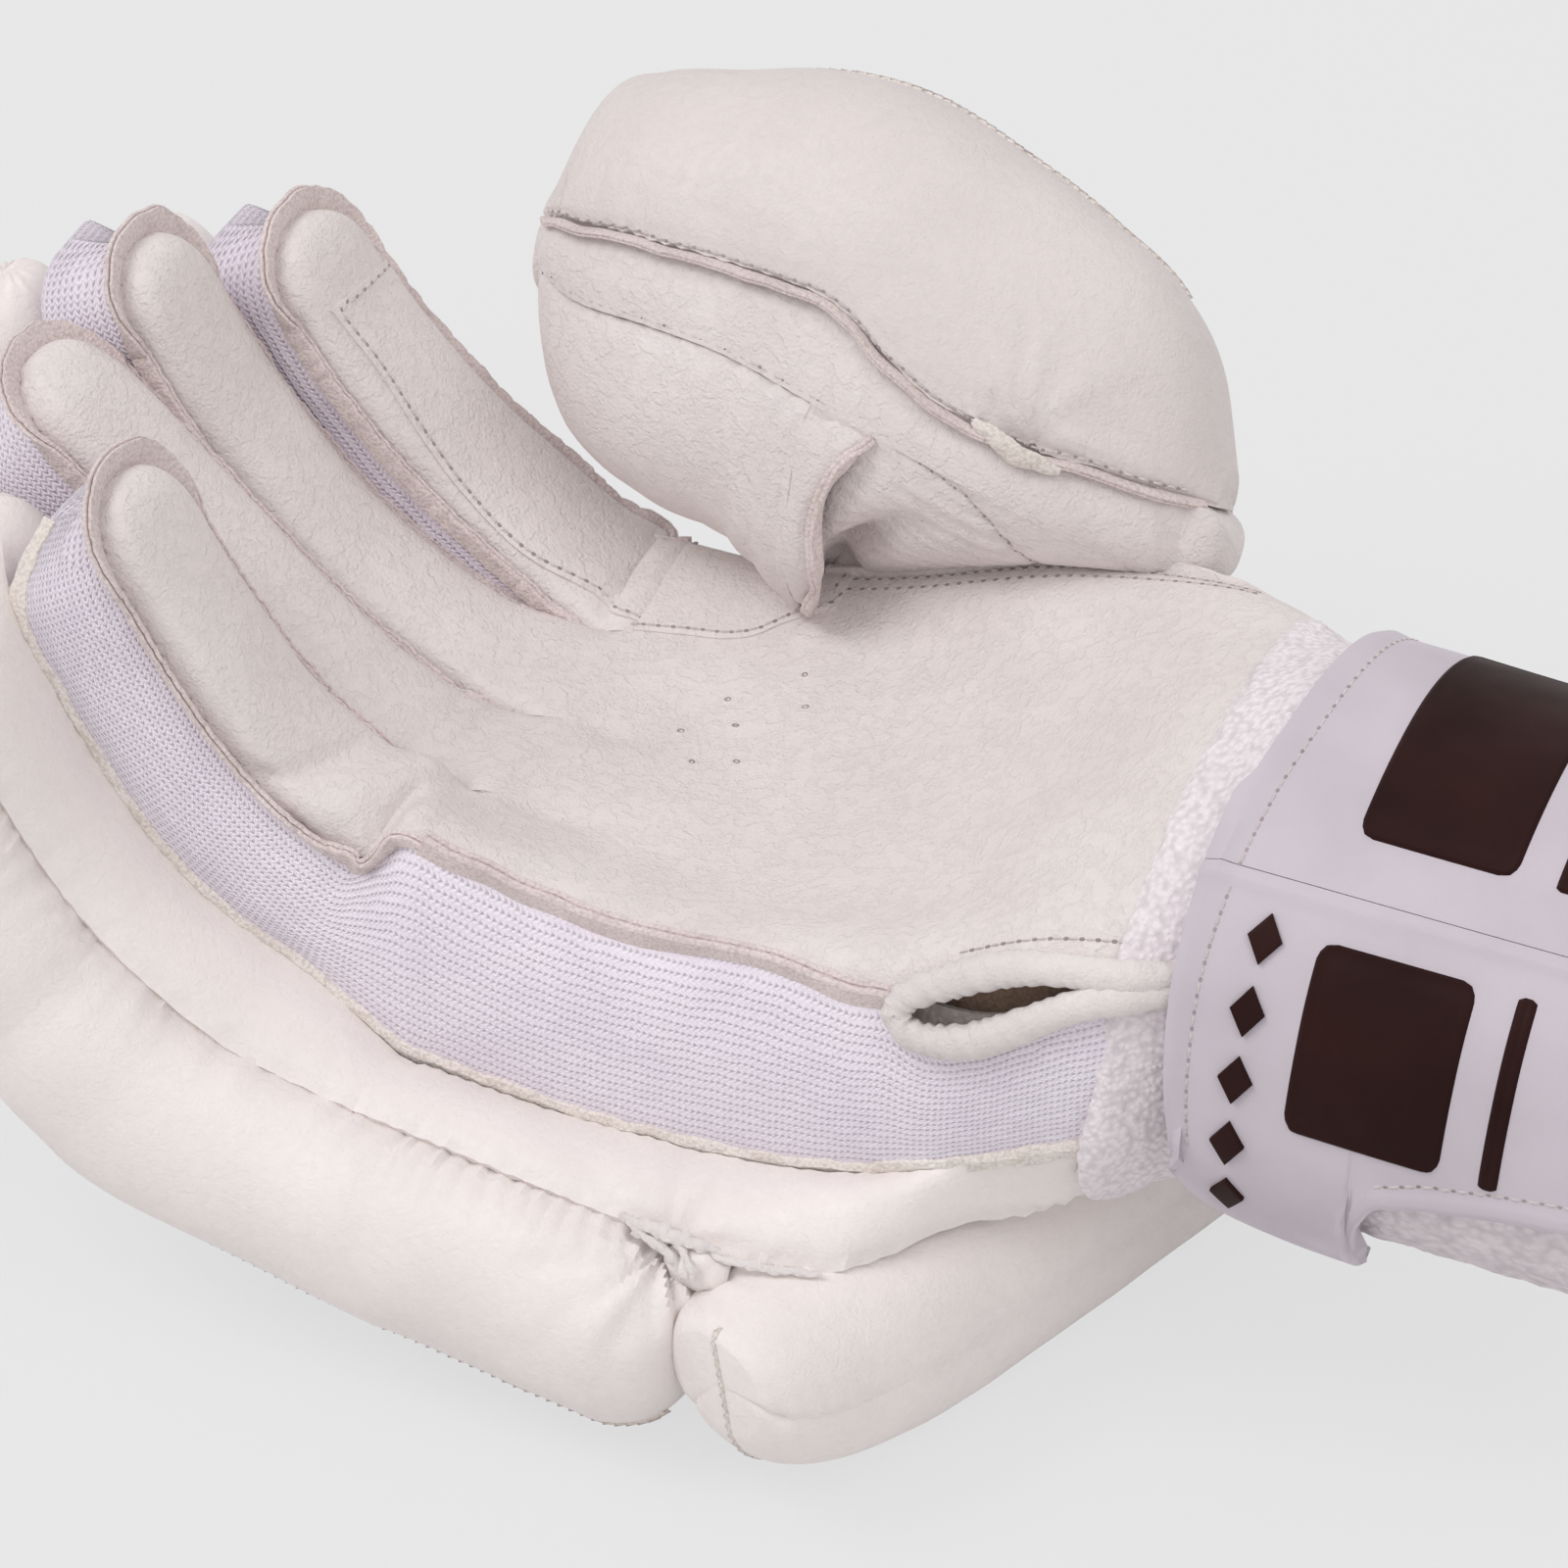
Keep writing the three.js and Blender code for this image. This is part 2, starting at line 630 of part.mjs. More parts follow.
// Sheets of the hand. The front end is cut open at the knuckles, finger by finger.
function fingerAt(y) {
  const row = THREE.MathUtils.clamp(Math.round(1.5 - y / fingerPitch), 0, fingers.length - 1);
  return fingers[row];
}
function handFront(t) {
  const point = handSurface(knuckleX, t);
  const blendTo = (read) => {
    const ys = fingers.map((finger) => finger.y).reverse();
    return smoothAt(ys, fingers.map(read).reverse(), point.y);
  };
  const x = blendTo((finger) => finger.x);
  const z = blendTo((finger) => finger.z);
  const h = point.z - z;
  const wedge = h > 0 ? blendTo((finger) => finger.frontWedge) : blendTo((finger) => finger.backWedge);
  return x + jointGap + h * wedge;
}
function slitHalfAt(x) {
  const into = Math.max(0, x - slitStartX) / (handEndX - slitStartX);
  return seamGap / 2 + slitHalfWidth * Math.sqrt(Math.min(1, into));
}
function handSheet(from, to, cells, inset, thickness, options = {}) {
  const { startX = null, endX = handEndX, slit = [0, 0], lift } = options;
  const ends = (v) => [startX === null ? handFront(v) : startX, endX];
  const edges = (a) => {
    const x = mix(startX === null ? knuckleX : startX, endX, a);
    const trim = (k) => (slit[k] ? slitHalfAt(x) : seamGap / 2);
    return [stepAcross(handSurface, x, from, trim(0)), stepAcross(handSurface, x, to, -trim(1))];
  };
  return sheet(handSurface, ends, edges, cells, inset, thickness, handSide, lift);
}
const seamPlace = { palm: 0, thumb: 4, corner: 6, edge: 9, round: 10 };
const { palm: palmSeam, thumb: thumbSeam, corner: cornerSeam, edge: edgeSeam, round: fullTurn } = seamPlace;
const slitAtStart = { slit: [1, 0] };
const slitAtEnd = { slit: [0, 1] };
const palmSheet = handSheet(palmSeam, thumbSeam, [12, 12], 0, leatherThickness, slitAtStart);
add("palm_leather", palmSheet, "palm", "leather");
const knitSheet = handSheet(edgeSeam, fullTurn, [12, 4], 0, knitThickness, slitAtEnd);
add("ulnar_knit", knitSheet, "knit", "fabric");
add("back_leather", handSheet(cornerSeam, edgeSeam, [10, 10], 0, leatherThickness), "roll", "leather");

const liningInset = knitThickness + 2 * seamGap;
const liningTrimShare = 0.04;
const palmLiningRange = [palmSeam + liningTrimShare, thumbSeam];
const palmLining = handSheet(...palmLiningRange, [12, 8], liningInset, liningThickness, slitAtStart);
add("palm_lining", palmLining, "lining", "fabric");
const backLiningRange = [cornerSeam, fullTurn - liningTrimShare];
const backLining = handSheet(...backLiningRange, [8, 10], liningInset, liningThickness, slitAtEnd);
add("back_lining", backLining, "lining", "fabric");

// Leather between the thumb seam and the back, in front of the thumb and behind it
const radialFrontEnds = { endX: thumbHoleStartX - seamGap };
const radialFront = handSheet(thumbSeam, cornerSeam, [4, 4], 0, leatherThickness, radialFrontEnds);
add("radial_front_leather", radialFront, "palm", "leather");
const radialRearEnds = { startX: thumbHoleEndX, endX: handEndX - seamGap };
const radialRear = handSheet(thumbSeam, cornerSeam, [3, 4], 0, leatherThickness, radialRearEnds);
add("radial_rear_leather", radialRear, "palm", "leather");

// Patch over the web between thumb and index finger
const palmPatchShares = [3.06, 3.82];
const palmPatchEndX = -10;
const onTop = -patchGap - patchThickness;
const palmPatch = handSheet(...palmPatchShares, [5, 3], onTop, patchThickness, { endX: palmPatchEndX });
add("palm_patch", palmPatch, "patch", "leather");

// Leather heel panel from the knit edge down to the wrist roll
const heelStartX = handFlankEndX + seamGap;
const heelEndX = 62;
const heelOuterEndY = -50;
const heelOuterZ = wristRollTopZ + leatherThickness + flankClearance;
const heelShare = (x) => (x - heelStartX) / (heelEndX - heelStartX);
const heelSurface = (x, b) => {
  const inner = handSurface(x, palmEdgeShare);
  const outer = new THREE.Vector3(x, mix(outerRollCentreY, heelOuterEndY, heelShare(x)), heelOuterZ);
  inner.addScaledVector(normalAt(handSurface, x, palmEdgeShare, handSide), leatherThickness + flankClearance);
  const point = inner.lerp(outer, b);
  point.z += flankBulge * Math.sin(Math.PI * b);
  return point;
};
const heel = sheet(heelSurface, () => [heelStartX, heelEndX], () => [0, 1], [6, 4], 0, leatherThickness, -1);
add("heel_panel", heel, "roll", "leather");

// Rolled leather binding round both lips of the slit
const bindingCount = 9;
const bindingPoints = [];
for (let i = -bindingCount; i <= bindingCount; i += 1) {
  const into = Math.abs(i) / bindingCount;
  const x = mix(slitStartX, handEndX - bindingRadius, into * into);
  const t = stepAcross(handSurface, x, 0, Math.sign(i) * slitHalfAt(x));
  const normal = normalAt(handSurface, x, t, handSide);
  bindingPoints.push(handSurface(x, t).addScaledVector(normal, bindingRadius + seamGap));
}
function tubeAlong(points, radius, sides, steps) {
  const section = new THREE.Shape();
  for (let j = 0; j < sides; j += 1) {
    const angle = (2 * Math.PI * j) / sides;
    section[j ? "lineTo" : "moveTo"](radius * Math.cos(angle), radius * Math.sin(angle));
  }
  const extrudePath = new THREE.CatmullRomCurve3(points);
  return new THREE.ExtrudeGeometry(section, { steps, extrudePath });
}
add("slit_binding", tubeAlong(bindingPoints, bindingRadius, 8, 30), "binding", "leather");

// Terry cuff, open along the slit
const cuffStartX = handEndX + seamGap;
const cuffEdges = (a) => {
  const x = mix(cuffStartX, cuffEndX, a);
  const start = stepAcross(handSurface, x, palmSeam, slitHalfWidth);
  return [start, stepAcross(handSurface, x, fullTurn, -slitHalfWidth)];
};
const cuffEnds = () => [cuffStartX, cuffEndX];
const terry = sheet(handSurface, cuffEnds, cuffEdges, [9, 26], 0, terryThickness, handSide);
add("terry_cuff", terry, "terry", "fabric");

// Strap: a part sewn to the cuff and a flap that peels off the loop patch. Places round the wrist are in
// points of the hand's outline.
const strapRootShare = 5.45;
const strapHingeShare = 0.76;
const strapFreeShare = -2.29;
const strapEndX = strapStartX + strapWidth;
const strapCorner = 16;
const strapLift = 2 * patchGap + strapThickness;
const flapRise = 2 * (patchGap + patchThickness);
const flapRiseShare = 1.1;
const flapLift = (v) => strapLift + flapRise * THREE.MathUtils.smoothstep(-v, 0, flapRiseShare);
const strapMiddleX = strapStartX + strapWidth / 2;
const strapEnds = (v) => {
  const fromEnd = handSurface(strapMiddleX, v).distanceTo(handSurface(strapMiddleX, strapFreeShare));
  const past = Math.max(0, strapCorner - fromEnd);
  const cut = strapCorner - Math.sqrt(strapCorner * strapCorner - past * past);
  return [strapStartX + cut, strapEndX - cut];
};
const hingeGap = seamGap / 2;
function bandEdges(from, to, trims = [0, 0]) {
  const start = stepAcross(handSurface, strapMiddleX, from, trims[0]);
  return () => [start, stepAcross(handSurface, strapMiddleX, to, -trims[1])];
}
const base = sheet(
  handSurface,
  () => [strapStartX, strapEndX],
  bandEdges(strapHingeShare, strapRootShare, [hingeGap, 0]),
  [3, 18],
  0,
  strapThickness,
  handSide,
  () => strapLift,
);
add("strap_base", base, "rubber", "rubber");
const flap = sheet(
  handSurface,
  strapEnds,
  bandEdges(strapFreeShare, strapHingeShare, [0, hingeGap]),
  [4, 14],
  0,
  strapThickness,
  handSide,
  flapLift,
);
add("strap_flap", flap, "rubber", "rubber");

// Hook patch under the flap's end and the loop patch on the cuff that it grips
const patchMargin = 4;
const loopShares = [-3, -1.25];
const hookShares = [-2.1, -1.3];
const patchX = [strapStartX + patchMargin, strapEndX - patchMargin];
const loopLift = () => patchGap + patchThickness;
const patchSheet = (xs, range, cells, lift) =>
  sheet(handSurface, () => xs, bandEdges(...range), cells, 0, patchThickness, handSide, lift);
const loop = patchSheet(patchX, loopShares, [2, 8], loopLift);
add("loop_patch", loop, "terry", "fabric");
const hookLift = (v) => flapLift(v) - strapThickness - patchGap;
const hookX = [patchX[0] + strapCorner, patchX[1] - strapCorner];
const hook = patchSheet(hookX, hookShares, [2, 5], hookLift);
add("hook_patch", hook, "hook", "fabric");

// Raised brown bands on the strap
const motifMargin = 17;
const motifWidth = 17;
const motifX = [strapStartX + motifMargin, strapStartX + motifMargin + motifWidth];
const motifRise = patchGap + motifHeight;
const baseBandShares = [1.1, 3.4];
const flapBandShares = [-1.7, 0.5];
const baseBandLift = () => strapLift + motifRise;
const flapBandLift = (v) => flapLift(v) + motifRise;
const motif = (range, cells, lift) =>
  sheet(handSurface, () => motifX, bandEdges(...range), cells, 0, motifHeight, handSide, lift);
add("strap_base_band", motif(baseBandShares, [1, 9], baseBandLift), "motif", "rubber");
add("strap_flap_band", motif(flapBandShares, [1, 10], flapBandLift), "motif", "rubber");

// Thumb: stations along its length, with seam height, shell height, half width and stall depth as shares
const thumb = new THREE.Group();
thumb.position.set(0, thumbCentreY, thumbCentreZ);
thumb.rotation.x = -radians(thumbRollDegrees);
hand.add(thumb);
thumb.updateMatrix();
const thumbShares = [0, 0.045, 0.135, 0.252, 0.36, 0.495, 0.63, 0.766, 0.865, 0.946, 1];
const seamShares = [1, 1, 1, 1, 0.975, 0.86, 0.34, 0.08, 0.05, 0, 0];
const shellShares = [0.14, 0.53, 0.7, 0.79, 0.875, 0.92, 1.01, 0.94, 0.78, 0.53, 0.16];
const widthShares = [0.32, 0.62, 0.85, 0.98, 1.02, 1.04, 1.02, 0.92, 0.74, 0.48, 0.18];
const depthShares = [0.19, 0.4, 0.64, 0.76, 0.79, 0.9, 0.64, 0.43, 0.33, 0.29, 0.26];
const stripShares = [0.64, 0.56, 0.38, 0.33, 0.26, 0.04, -0.2];
const thumbRead = (table, x, size) =>
  size * smoothAt(thumbShares.slice(0, table.length), table, (x - thumbTipX) / thumbLength);
const seamHeight = (x) => thumbRead(seamShares, x, thumbSeamRise);
const shellHalfWidth = (x) => thumbRead(widthShares, x, thumbHalfWidth);
const stallWidthShare = 0.92;
const thumbRound = 2.4;

// Stall of the thumb: t from 0 at the palm-side seam round the bottom to 1 at the far seam
function thumbSurface(x, t) {
  const [c, s] = [Math.cos(Math.PI * t), Math.sin(Math.PI * t)];
  const factor = squareFactor(c, s, thumbRound);
  const y = -shellHalfWidth(x) * stallWidthShare * factor * c;
  const z = seamHeight(x) - thumbRead(depthShares, x, thumbStallDepth) * factor * s;
  return new THREE.Vector3(x, y, z);
}
const thumbSide = -1;

// t on the palm side of the stall where it reaches a height
function thumbReach(x, height) {
  let [low, high] = [0, 0.5];
  for (let i = 0; i < 24; i += 1) {
    const middle = (low + high) / 2;
    if (thumbSurface(x, middle).z > height) low = middle;
    else high = middle;
  }
  return low;
}

// The thumb turns about an axis across its root. Its strips end on a plane through that axis, and the web on
// the hand ends on another, lower by the angle that the thumb closes.
const holeSlope = Math.atan2(
  thumbSeamRise * stripShares[5] - thumbHingeRise,
  thumbHingeX - thumbHoleStartX,
);
const rootPlane = (x, drop) => thumbHingeRise + (thumbHingeX - x) * Math.tan(holeSlope - drop);
const webDropShare = 1.1;
const webDrop = radians(thumbCloseDegrees) * webDropShare;
const stripEdge = (x) => (x < thumbHoleStartX ? thumbRead(stripShares, x, thumbSeamRise) : rootPlane(x, 0));
const thumbStartX = thumbTipX + 1.5 * leatherThickness;
const stripEndX = thumbHingeX - 2 * leatherThickness;
const stripEdges = (a) => {
  const x = mix(thumbStartX, stripEndX, a);
  return [stepAcross(thumbSurface, x, 0, seamGap / 2), thumbReach(x, stripEdge(x) + seamGap / 2)];
};
const stripEnds = () => [thumbStartX, stripEndX];
const stripSheet = (edges) => sheet(thumbSurface, stripEnds, edges, [14, 2], 0, leatherThickness, thumbSide);
const innerStrip = stripSheet(stripEdges);
add("thumb_strip_inner", innerStrip, "stall", "leather", thumb);
const mirrored = (edges) => (a) => edges(a).map((t) => 1 - t).reverse();
const outerStrip = stripSheet(mirrored(stripEdges));
add("thumb_strip_outer", outerStrip, "stall", "leather", thumb);
const thumbPalmEndX = thumbHoleStartX - 1.2 * leatherThickness;
const thumbPalmEdges = (a) => {
  const x = mix(thumbStartX, thumbPalmEndX, a);
  const t = thumbReach(x, stripEdge(x) - seamGap / 2);
  return [t, 1 - t];
};
const thumbPalmEnds = () => [thumbStartX, thumbPalmEndX];
const thumbPalm = sheet(thumbSurface, thumbPalmEnds, thumbPalmEdges, [9, 10], 0, leatherThickness, thumbSide);
add("thumb_palm_leather", thumbPalm, "stall", "leather", thumb);

// Guard plate across the top of the stall, and the padded shell over it
const plateClearance = 2.5 * leatherThickness;
const plateEnds = () => [thumbStartX + plateClearance, stripEndX - plateClearance];
const plateSurface = (x, t) => {
  const half = shellHalfWidth(x) * stallWidthShare - plateClearance;
  return new THREE.Vector3(x, mix(-half, half, t), seamHeight(x));
};
const plate = sheet(plateSurface, plateEnds, () => [0, 1], [12, 3], seamGap, guardThickness, 1);
add("thumb_guard_plate", plate, "plate", "rubber", thumb);
const shellRingCount = 15;
const shellArcCount = 10;
const shellFloorCount = 3;
const shellRings = [];
for (let i = 0; i < shellRingCount; i += 1) {
  const eased = (1 - Math.cos((Math.PI * i) / (shellRingCount - 1))) / 2;
  const x = thumbTipX + thumbLength * eased;
  const base = seamHeight(x) + seamGap;
  const ring = [];
  for (let j = 0; j <= shellArcCount; j += 1) {
    const angle = (Math.PI * j) / shellArcCount;
    const [c, s] = [Math.cos(angle), Math.sin(angle)];
    const factor = squareFactor(c, s, thumbRound);
    const height = thumbRead(shellShares, x, thumbShellHeight) * factor * s;
    ring.push(new THREE.Vector3(x, shellHalfWidth(x) * factor * c, base + height));
  }
  for (let j = 1; j <= shellFloorCount; j += 1) {
    const share = j / (shellFloorCount + 1);
    ring.push(new THREE.Vector3(x, mix(-1, 1, share) * shellHalfWidth(x), base));
  }
  shellRings.push(ring);
}
add("thumb_shell", loft(shellRings), "shell", "leather", thumb);

// Webs on the hand, from its thumb seam and from its back up to the thumb's root
const toHand = (point) => point.applyMatrix4(thumb.matrix);
const webSurface = (handT, far) => (x, b) => {
  const low = handSurface(x, handT);
  const t = thumbReach(x, rootPlane(x, webDrop) - seamGap);
  const high = toHand(thumbSurface(x, far ? 1 - t : t));
  return low.lerp(high, b);
};
const webLiftShare = 0.06;
const webCells = [8, 3];
const webRange = () => [thumbHoleStartX, webEndX];
const webSheet = (surface, side) =>
  sheet(surface, webRange, () => [webLiftShare, 1], webCells, 0, leatherThickness, side);
const innerWeb = webSheet(webSurface(thumbSeam, false), 1);
add("thumb_web", innerWeb, "stall", "leather");
const outerWeb = webSheet(webSurface(cornerSeam, true), -1);
add("thumb_back_web", outerWeb, "stall", "leather");

export default glove;
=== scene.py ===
import math

import bpy
import numpy as np
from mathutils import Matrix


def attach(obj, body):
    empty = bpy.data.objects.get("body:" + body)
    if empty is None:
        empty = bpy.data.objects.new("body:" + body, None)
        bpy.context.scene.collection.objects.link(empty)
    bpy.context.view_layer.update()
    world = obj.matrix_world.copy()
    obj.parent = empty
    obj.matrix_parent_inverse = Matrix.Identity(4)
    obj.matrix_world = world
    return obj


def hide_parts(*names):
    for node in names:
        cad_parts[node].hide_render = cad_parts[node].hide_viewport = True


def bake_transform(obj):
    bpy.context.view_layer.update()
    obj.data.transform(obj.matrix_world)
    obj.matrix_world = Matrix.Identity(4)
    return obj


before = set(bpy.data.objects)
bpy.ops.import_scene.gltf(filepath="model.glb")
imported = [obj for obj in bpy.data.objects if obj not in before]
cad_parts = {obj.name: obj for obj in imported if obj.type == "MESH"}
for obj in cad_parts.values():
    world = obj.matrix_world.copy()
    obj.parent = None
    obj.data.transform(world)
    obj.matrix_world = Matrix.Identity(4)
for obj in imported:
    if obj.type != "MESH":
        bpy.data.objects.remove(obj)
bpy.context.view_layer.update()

print("frame loaded")

# The glove is worked out in millimetres in the hand's own frame: +X to the wrist, +Y to the thumb,
# +Z out of the palm. toRow puts that in the row frame, in metres.
hand = {
    "origin": (0, -11, 50),
    "knuckleX": -44,
    "palmLength": 119,
    "halfWidth": 44,
    "depth": 30,
    "endX": 66,
    "cuffEndX": 139,
    "cuffCentre": (-2, 15),
    "cuffRadius": (39.5, 35.5),
    "stations": [0, 0.286, 0.622, 0.84, 1],
    "widths": [
        [-1, -0.5, 0, 0.5, 0.98, 1.045, 0.91, 0, -0.955, -1.15],
        [-1, -0.5, 0, 0.5, 0.93, 1.045, 0.91, 0, -0.955, -1.15],
        [-1, -0.55, 0, 0.5, 0.9, 1.03, 0.86, 0, -0.91, -1.12],
        [-0.97, -0.55, -0.02, 0.46, 0.86, 0.97, 0.74, -0.02, -0.8, -1.05],
    ],
    "depths": [
        [0.8, 0.5, 0.4, 0.37, 0.4, 0, -0.53, -0.6, -0.57, -0.33],
        [0.52, 0.4, 0.34, 0.4, 0.53, 0.07, -0.53, -0.63, -0.63, -0.43],
        [0.68, 0.67, 0.7, 0.86, 1.03, 0.4, -0.5, -0.67, -0.6, -0.33],
        [0.9, 1.18, 1.3, 1.3, 1.16, 0.48, -0.46, -0.72, -0.52, 0],
    ],
}
cuffAngles = np.radians([155, 122, 90, 62, 32, 0, -45, -90, -135, -167])
cuffAcross = hand["cuffCentre"][0] + hand["cuffRadius"][0] * np.cos(cuffAngles)
cuffUp = hand["cuffCentre"][1] + hand["cuffRadius"][1] * np.sin(cuffAngles)
widthTable = np.array([*hand["widths"], cuffAcross / hand["halfWidth"]]) * hand["halfWidth"]
depthTable = np.array([*hand["depths"], cuffUp / hand["depth"]]) * hand["depth"]


def toRow(points):
    return (np.asarray(points, float) + np.array(hand["origin"])) / 1000


def mix(a, b, t):
    return a + (b - a) * t


def ease(t):
    t = np.clip(t, 0, 1)
    return t * t * (3 - 2 * t)


def bell(distance, width):
    # 1 at no distance, fading away over the width
    return np.exp(-((distance / width) ** 2))


def matched(*values):
    # the values as arrays of one shape
    return np.broadcast_arrays(*(np.asarray(value, float) for value in values))


def asPoints(x, y, z):
    return np.stack(np.broadcast_arrays(x, y, z), -1)


def toUnit(vectors):
    return vectors / np.maximum(np.linalg.norm(vectors, axis=-1, keepdims=True), 1e-9)


def fromEnds(count):
    # steps from each of so many places to the nearer end
    return np.minimum(np.arange(count), np.arange(count)[::-1])


def roundAngles(count):
    return np.linspace(0, 2 * np.pi, count, endpoint=False)


def smoothAt(xs, values, x):
    # smooth line through the pairs (xs, values), read at x; values may have more axes after the first
    xs, values, x = np.asarray(xs, float), np.asarray(values, float), np.asarray(x, float)
    rate = np.diff(values, axis=0) / np.diff(xs).reshape(-1, *[1] * (values.ndim - 1))
    tangent = np.concatenate([rate[:1], (rate[1:] + rate[:-1]) / 2, rate[-1:]])
    x = np.clip(x, xs[0], xs[-1])
    i = np.clip(np.searchsorted(xs, x, side="right") - 1, 0, len(xs) - 2)
    span = xs[i + 1] - xs[i]
    t = (x - xs[i]) / span
    extra = [1] * (values.ndim - 1)
    t, span = (np.reshape(v, np.shape(v) + tuple(extra)) for v in (t, span))
    square, cube = t * t, t * t * t
    start = (2 * cube - 3 * square + 1) * values[i] + (cube - 2 * square + t) * span * tangent[i]
    end = (3 * square - 2 * cube) * values[i + 1] + (cube - square) * span * tangent[i + 1]
    return start + end


def closedAt(values, t):
    # Catmull-Rom round the last axis of values, one unit of t for each value
    count = values.shape[-1]
    t = np.mod(t, count)
    i = np.floor(t).astype(int)
    f = t - i
    p, q, r, s = (np.take_along_axis(values, ((i + k) % count)[..., None], -1)[..., 0] for k in (-1, 0, 1, 2))
    return q + f / 2 * ((r - p) + f * ((2 * p - 5 * q + 4 * r - s) + f * (3 * (q - r) + s - p)))


def handPoint(x, t):
    x, t = matched(x, t)
    share = (x - hand["knuckleX"]) / hand["palmLength"]
    widths = smoothAt(hand["stations"], widthTable, share)
    depths = smoothAt(hand["stations"], depthTable, share)
    return np.stack([x, closedAt(widths, t), closedAt(depths, t)], -1)


def handAtY(x, y, low=0.0, high=4.0):
    # the outline's t at a width y, for each x and y, on the run of the outline from low to high
    x, y = matched(x, y)
    ts = np.linspace(low, high, 81)
    rows = handPoint(x[..., None], ts)[..., 1]
    rising = rows[..., -1].mean() > rows[..., 0].mean()
    flat, wanted = rows.reshape(-1, len(ts)), y.reshape(-1)
    found = [np.interp(w, r, ts) if rising else np.interp(-w, -r, ts) for r, w in zip(flat, wanted)]
    return np.array(found).reshape(x.shape)


def normalsOf(grid):
    # unit normals of a grid of points (rows, columns, 3)
    du, dv = np.gradient(grid, axis=0), np.gradient(grid, axis=1)
    return toUnit(np.cross(du, dv))


def normalsFacing(grid, spot, way):
    # a grid's normals, turned so that they face a way at one spot
    normals = normalsOf(grid)
    return normals if np.dot(normals[spot], way) > 0 else -normals


def sideOf(grid, normals, spot):
    # 1 where the grid's own normals run with those given, or -1
    return 1 if np.dot(normalsOf(grid)[spot], normals[spot]) > 0 else -1


def handNormal(x, t, step=0.2):
    alongX = handPoint(x + step, t) - handPoint(x - step, t)
    alongT = handPoint(x, t + 0.01) - handPoint(x, t - 0.01)
    return toUnit(np.cross(alongX, alongT))


def refine(rows, count, axis=0):
    # Catmull-Rom through rows, read at count even places
    rows = np.moveaxis(np.asarray(rows, float), axis, 0)
    places = np.linspace(0, len(rows) - 1, count)
    return np.moveaxis(smoothAt(np.arange(len(rows)), rows, places), 0, axis)


def lattice(seed):
    return np.random.default_rng(seed).uniform(-1, 1, (32, 32, 32))


noiseTables = [lattice(seed) for seed in range(3)]


def lengthsOf(path):
    # how far along a polyline each of its points lies
    return np.concatenate([[0], np.cumsum(np.linalg.norm(np.diff(path, axis=0), axis=1))])


def readRows(at, base, rows):
    # rows of places or directions, given at base, read between them
    return np.stack([np.interp(at, base, rows[:, k]) for k in range(3)], -1)


def noise(points, size, seed=0):
    # smooth value noise in space, one swell for each size
    table = noiseTables[seed % 3]
    p = np.asarray(points, float) / size + 7.3 * seed
    i = np.floor(p).astype(int)
    f = p - i
    f = f * f * (3 - 2 * f)
    total = 0
    for dx in (0, 1):
        for dy in (0, 1):
            for dz in (0, 1):
                weight = abs(1 - dx - f[..., 0]) * abs(1 - dy - f[..., 1]) * abs(1 - dz - f[..., 2])
                value = table[(i[..., 0] + dx) % 32, (i[..., 1] + dy) % 32, (i[..., 2] + dz) % 32]
                total = total + weight * value
    return total


def nearPath(points, path):
    # distance from each point to a polyline, and the share of the line's length at the nearest place
    flat = points.reshape(-1, 3)
    a, b = path[:-1], path[1:]
    step = b - a
    lengths = np.linalg.norm(step, axis=1)
    starts = np.concatenate([[0], np.cumsum(lengths)])
    best, where = np.full(len(flat), 1e9), np.zeros(len(flat))
    for k in range(len(a)):
        t = np.clip(((flat - a[k]) @ step[k]) / max(lengths[k] ** 2, 1e-12), 0, 1)
        d = np.linalg.norm(flat - a[k] - t[:, None] * step[k], axis=1)
        closer = d < best
        best[closer] = d[closer]
        where[closer] = (starts[k] + t[closer] * lengths[k]) / starts[-1]
    return best.reshape(points.shape[:-1]), where.reshape(points.shape[:-1])


def buildMesh(name, points, faces, material, weave=None, sharp=40):
    mesh = bpy.data.meshes.new(name)
    mesh.from_pydata(toRow(points).tolist(), [], faces)
    mesh.validate()
    if weave is not None:
        attribute = mesh.attributes.new("weave", "FLOAT_VECTOR", "POINT")
        attribute.data.foreach_set("vector", np.asarray(weave, np.float32).ravel())
    mesh.shade_smooth()
    mesh.set_sharp_from_angle(angle=math.radians(sharp))
    mesh.materials.append(material)
    piece = bpy.data.objects.new(name, mesh)
    bpy.context.scene.collection.objects.link(piece)
    return piece


def gridFaces(rows, columns, offset=0, flip=False, wrap=False):
    across = columns if wrap else columns - 1
    i, j = np.meshgrid(np.arange(rows - 1), np.arange(across), indexing="ij")
    a = i * columns + j
    b = i * columns + (j + 1) % columns
    quads = np.stack([a, b, b + columns, a + columns], -1).reshape(-1, 4) + offset
    return quads[:, ::-1] if flip else quads


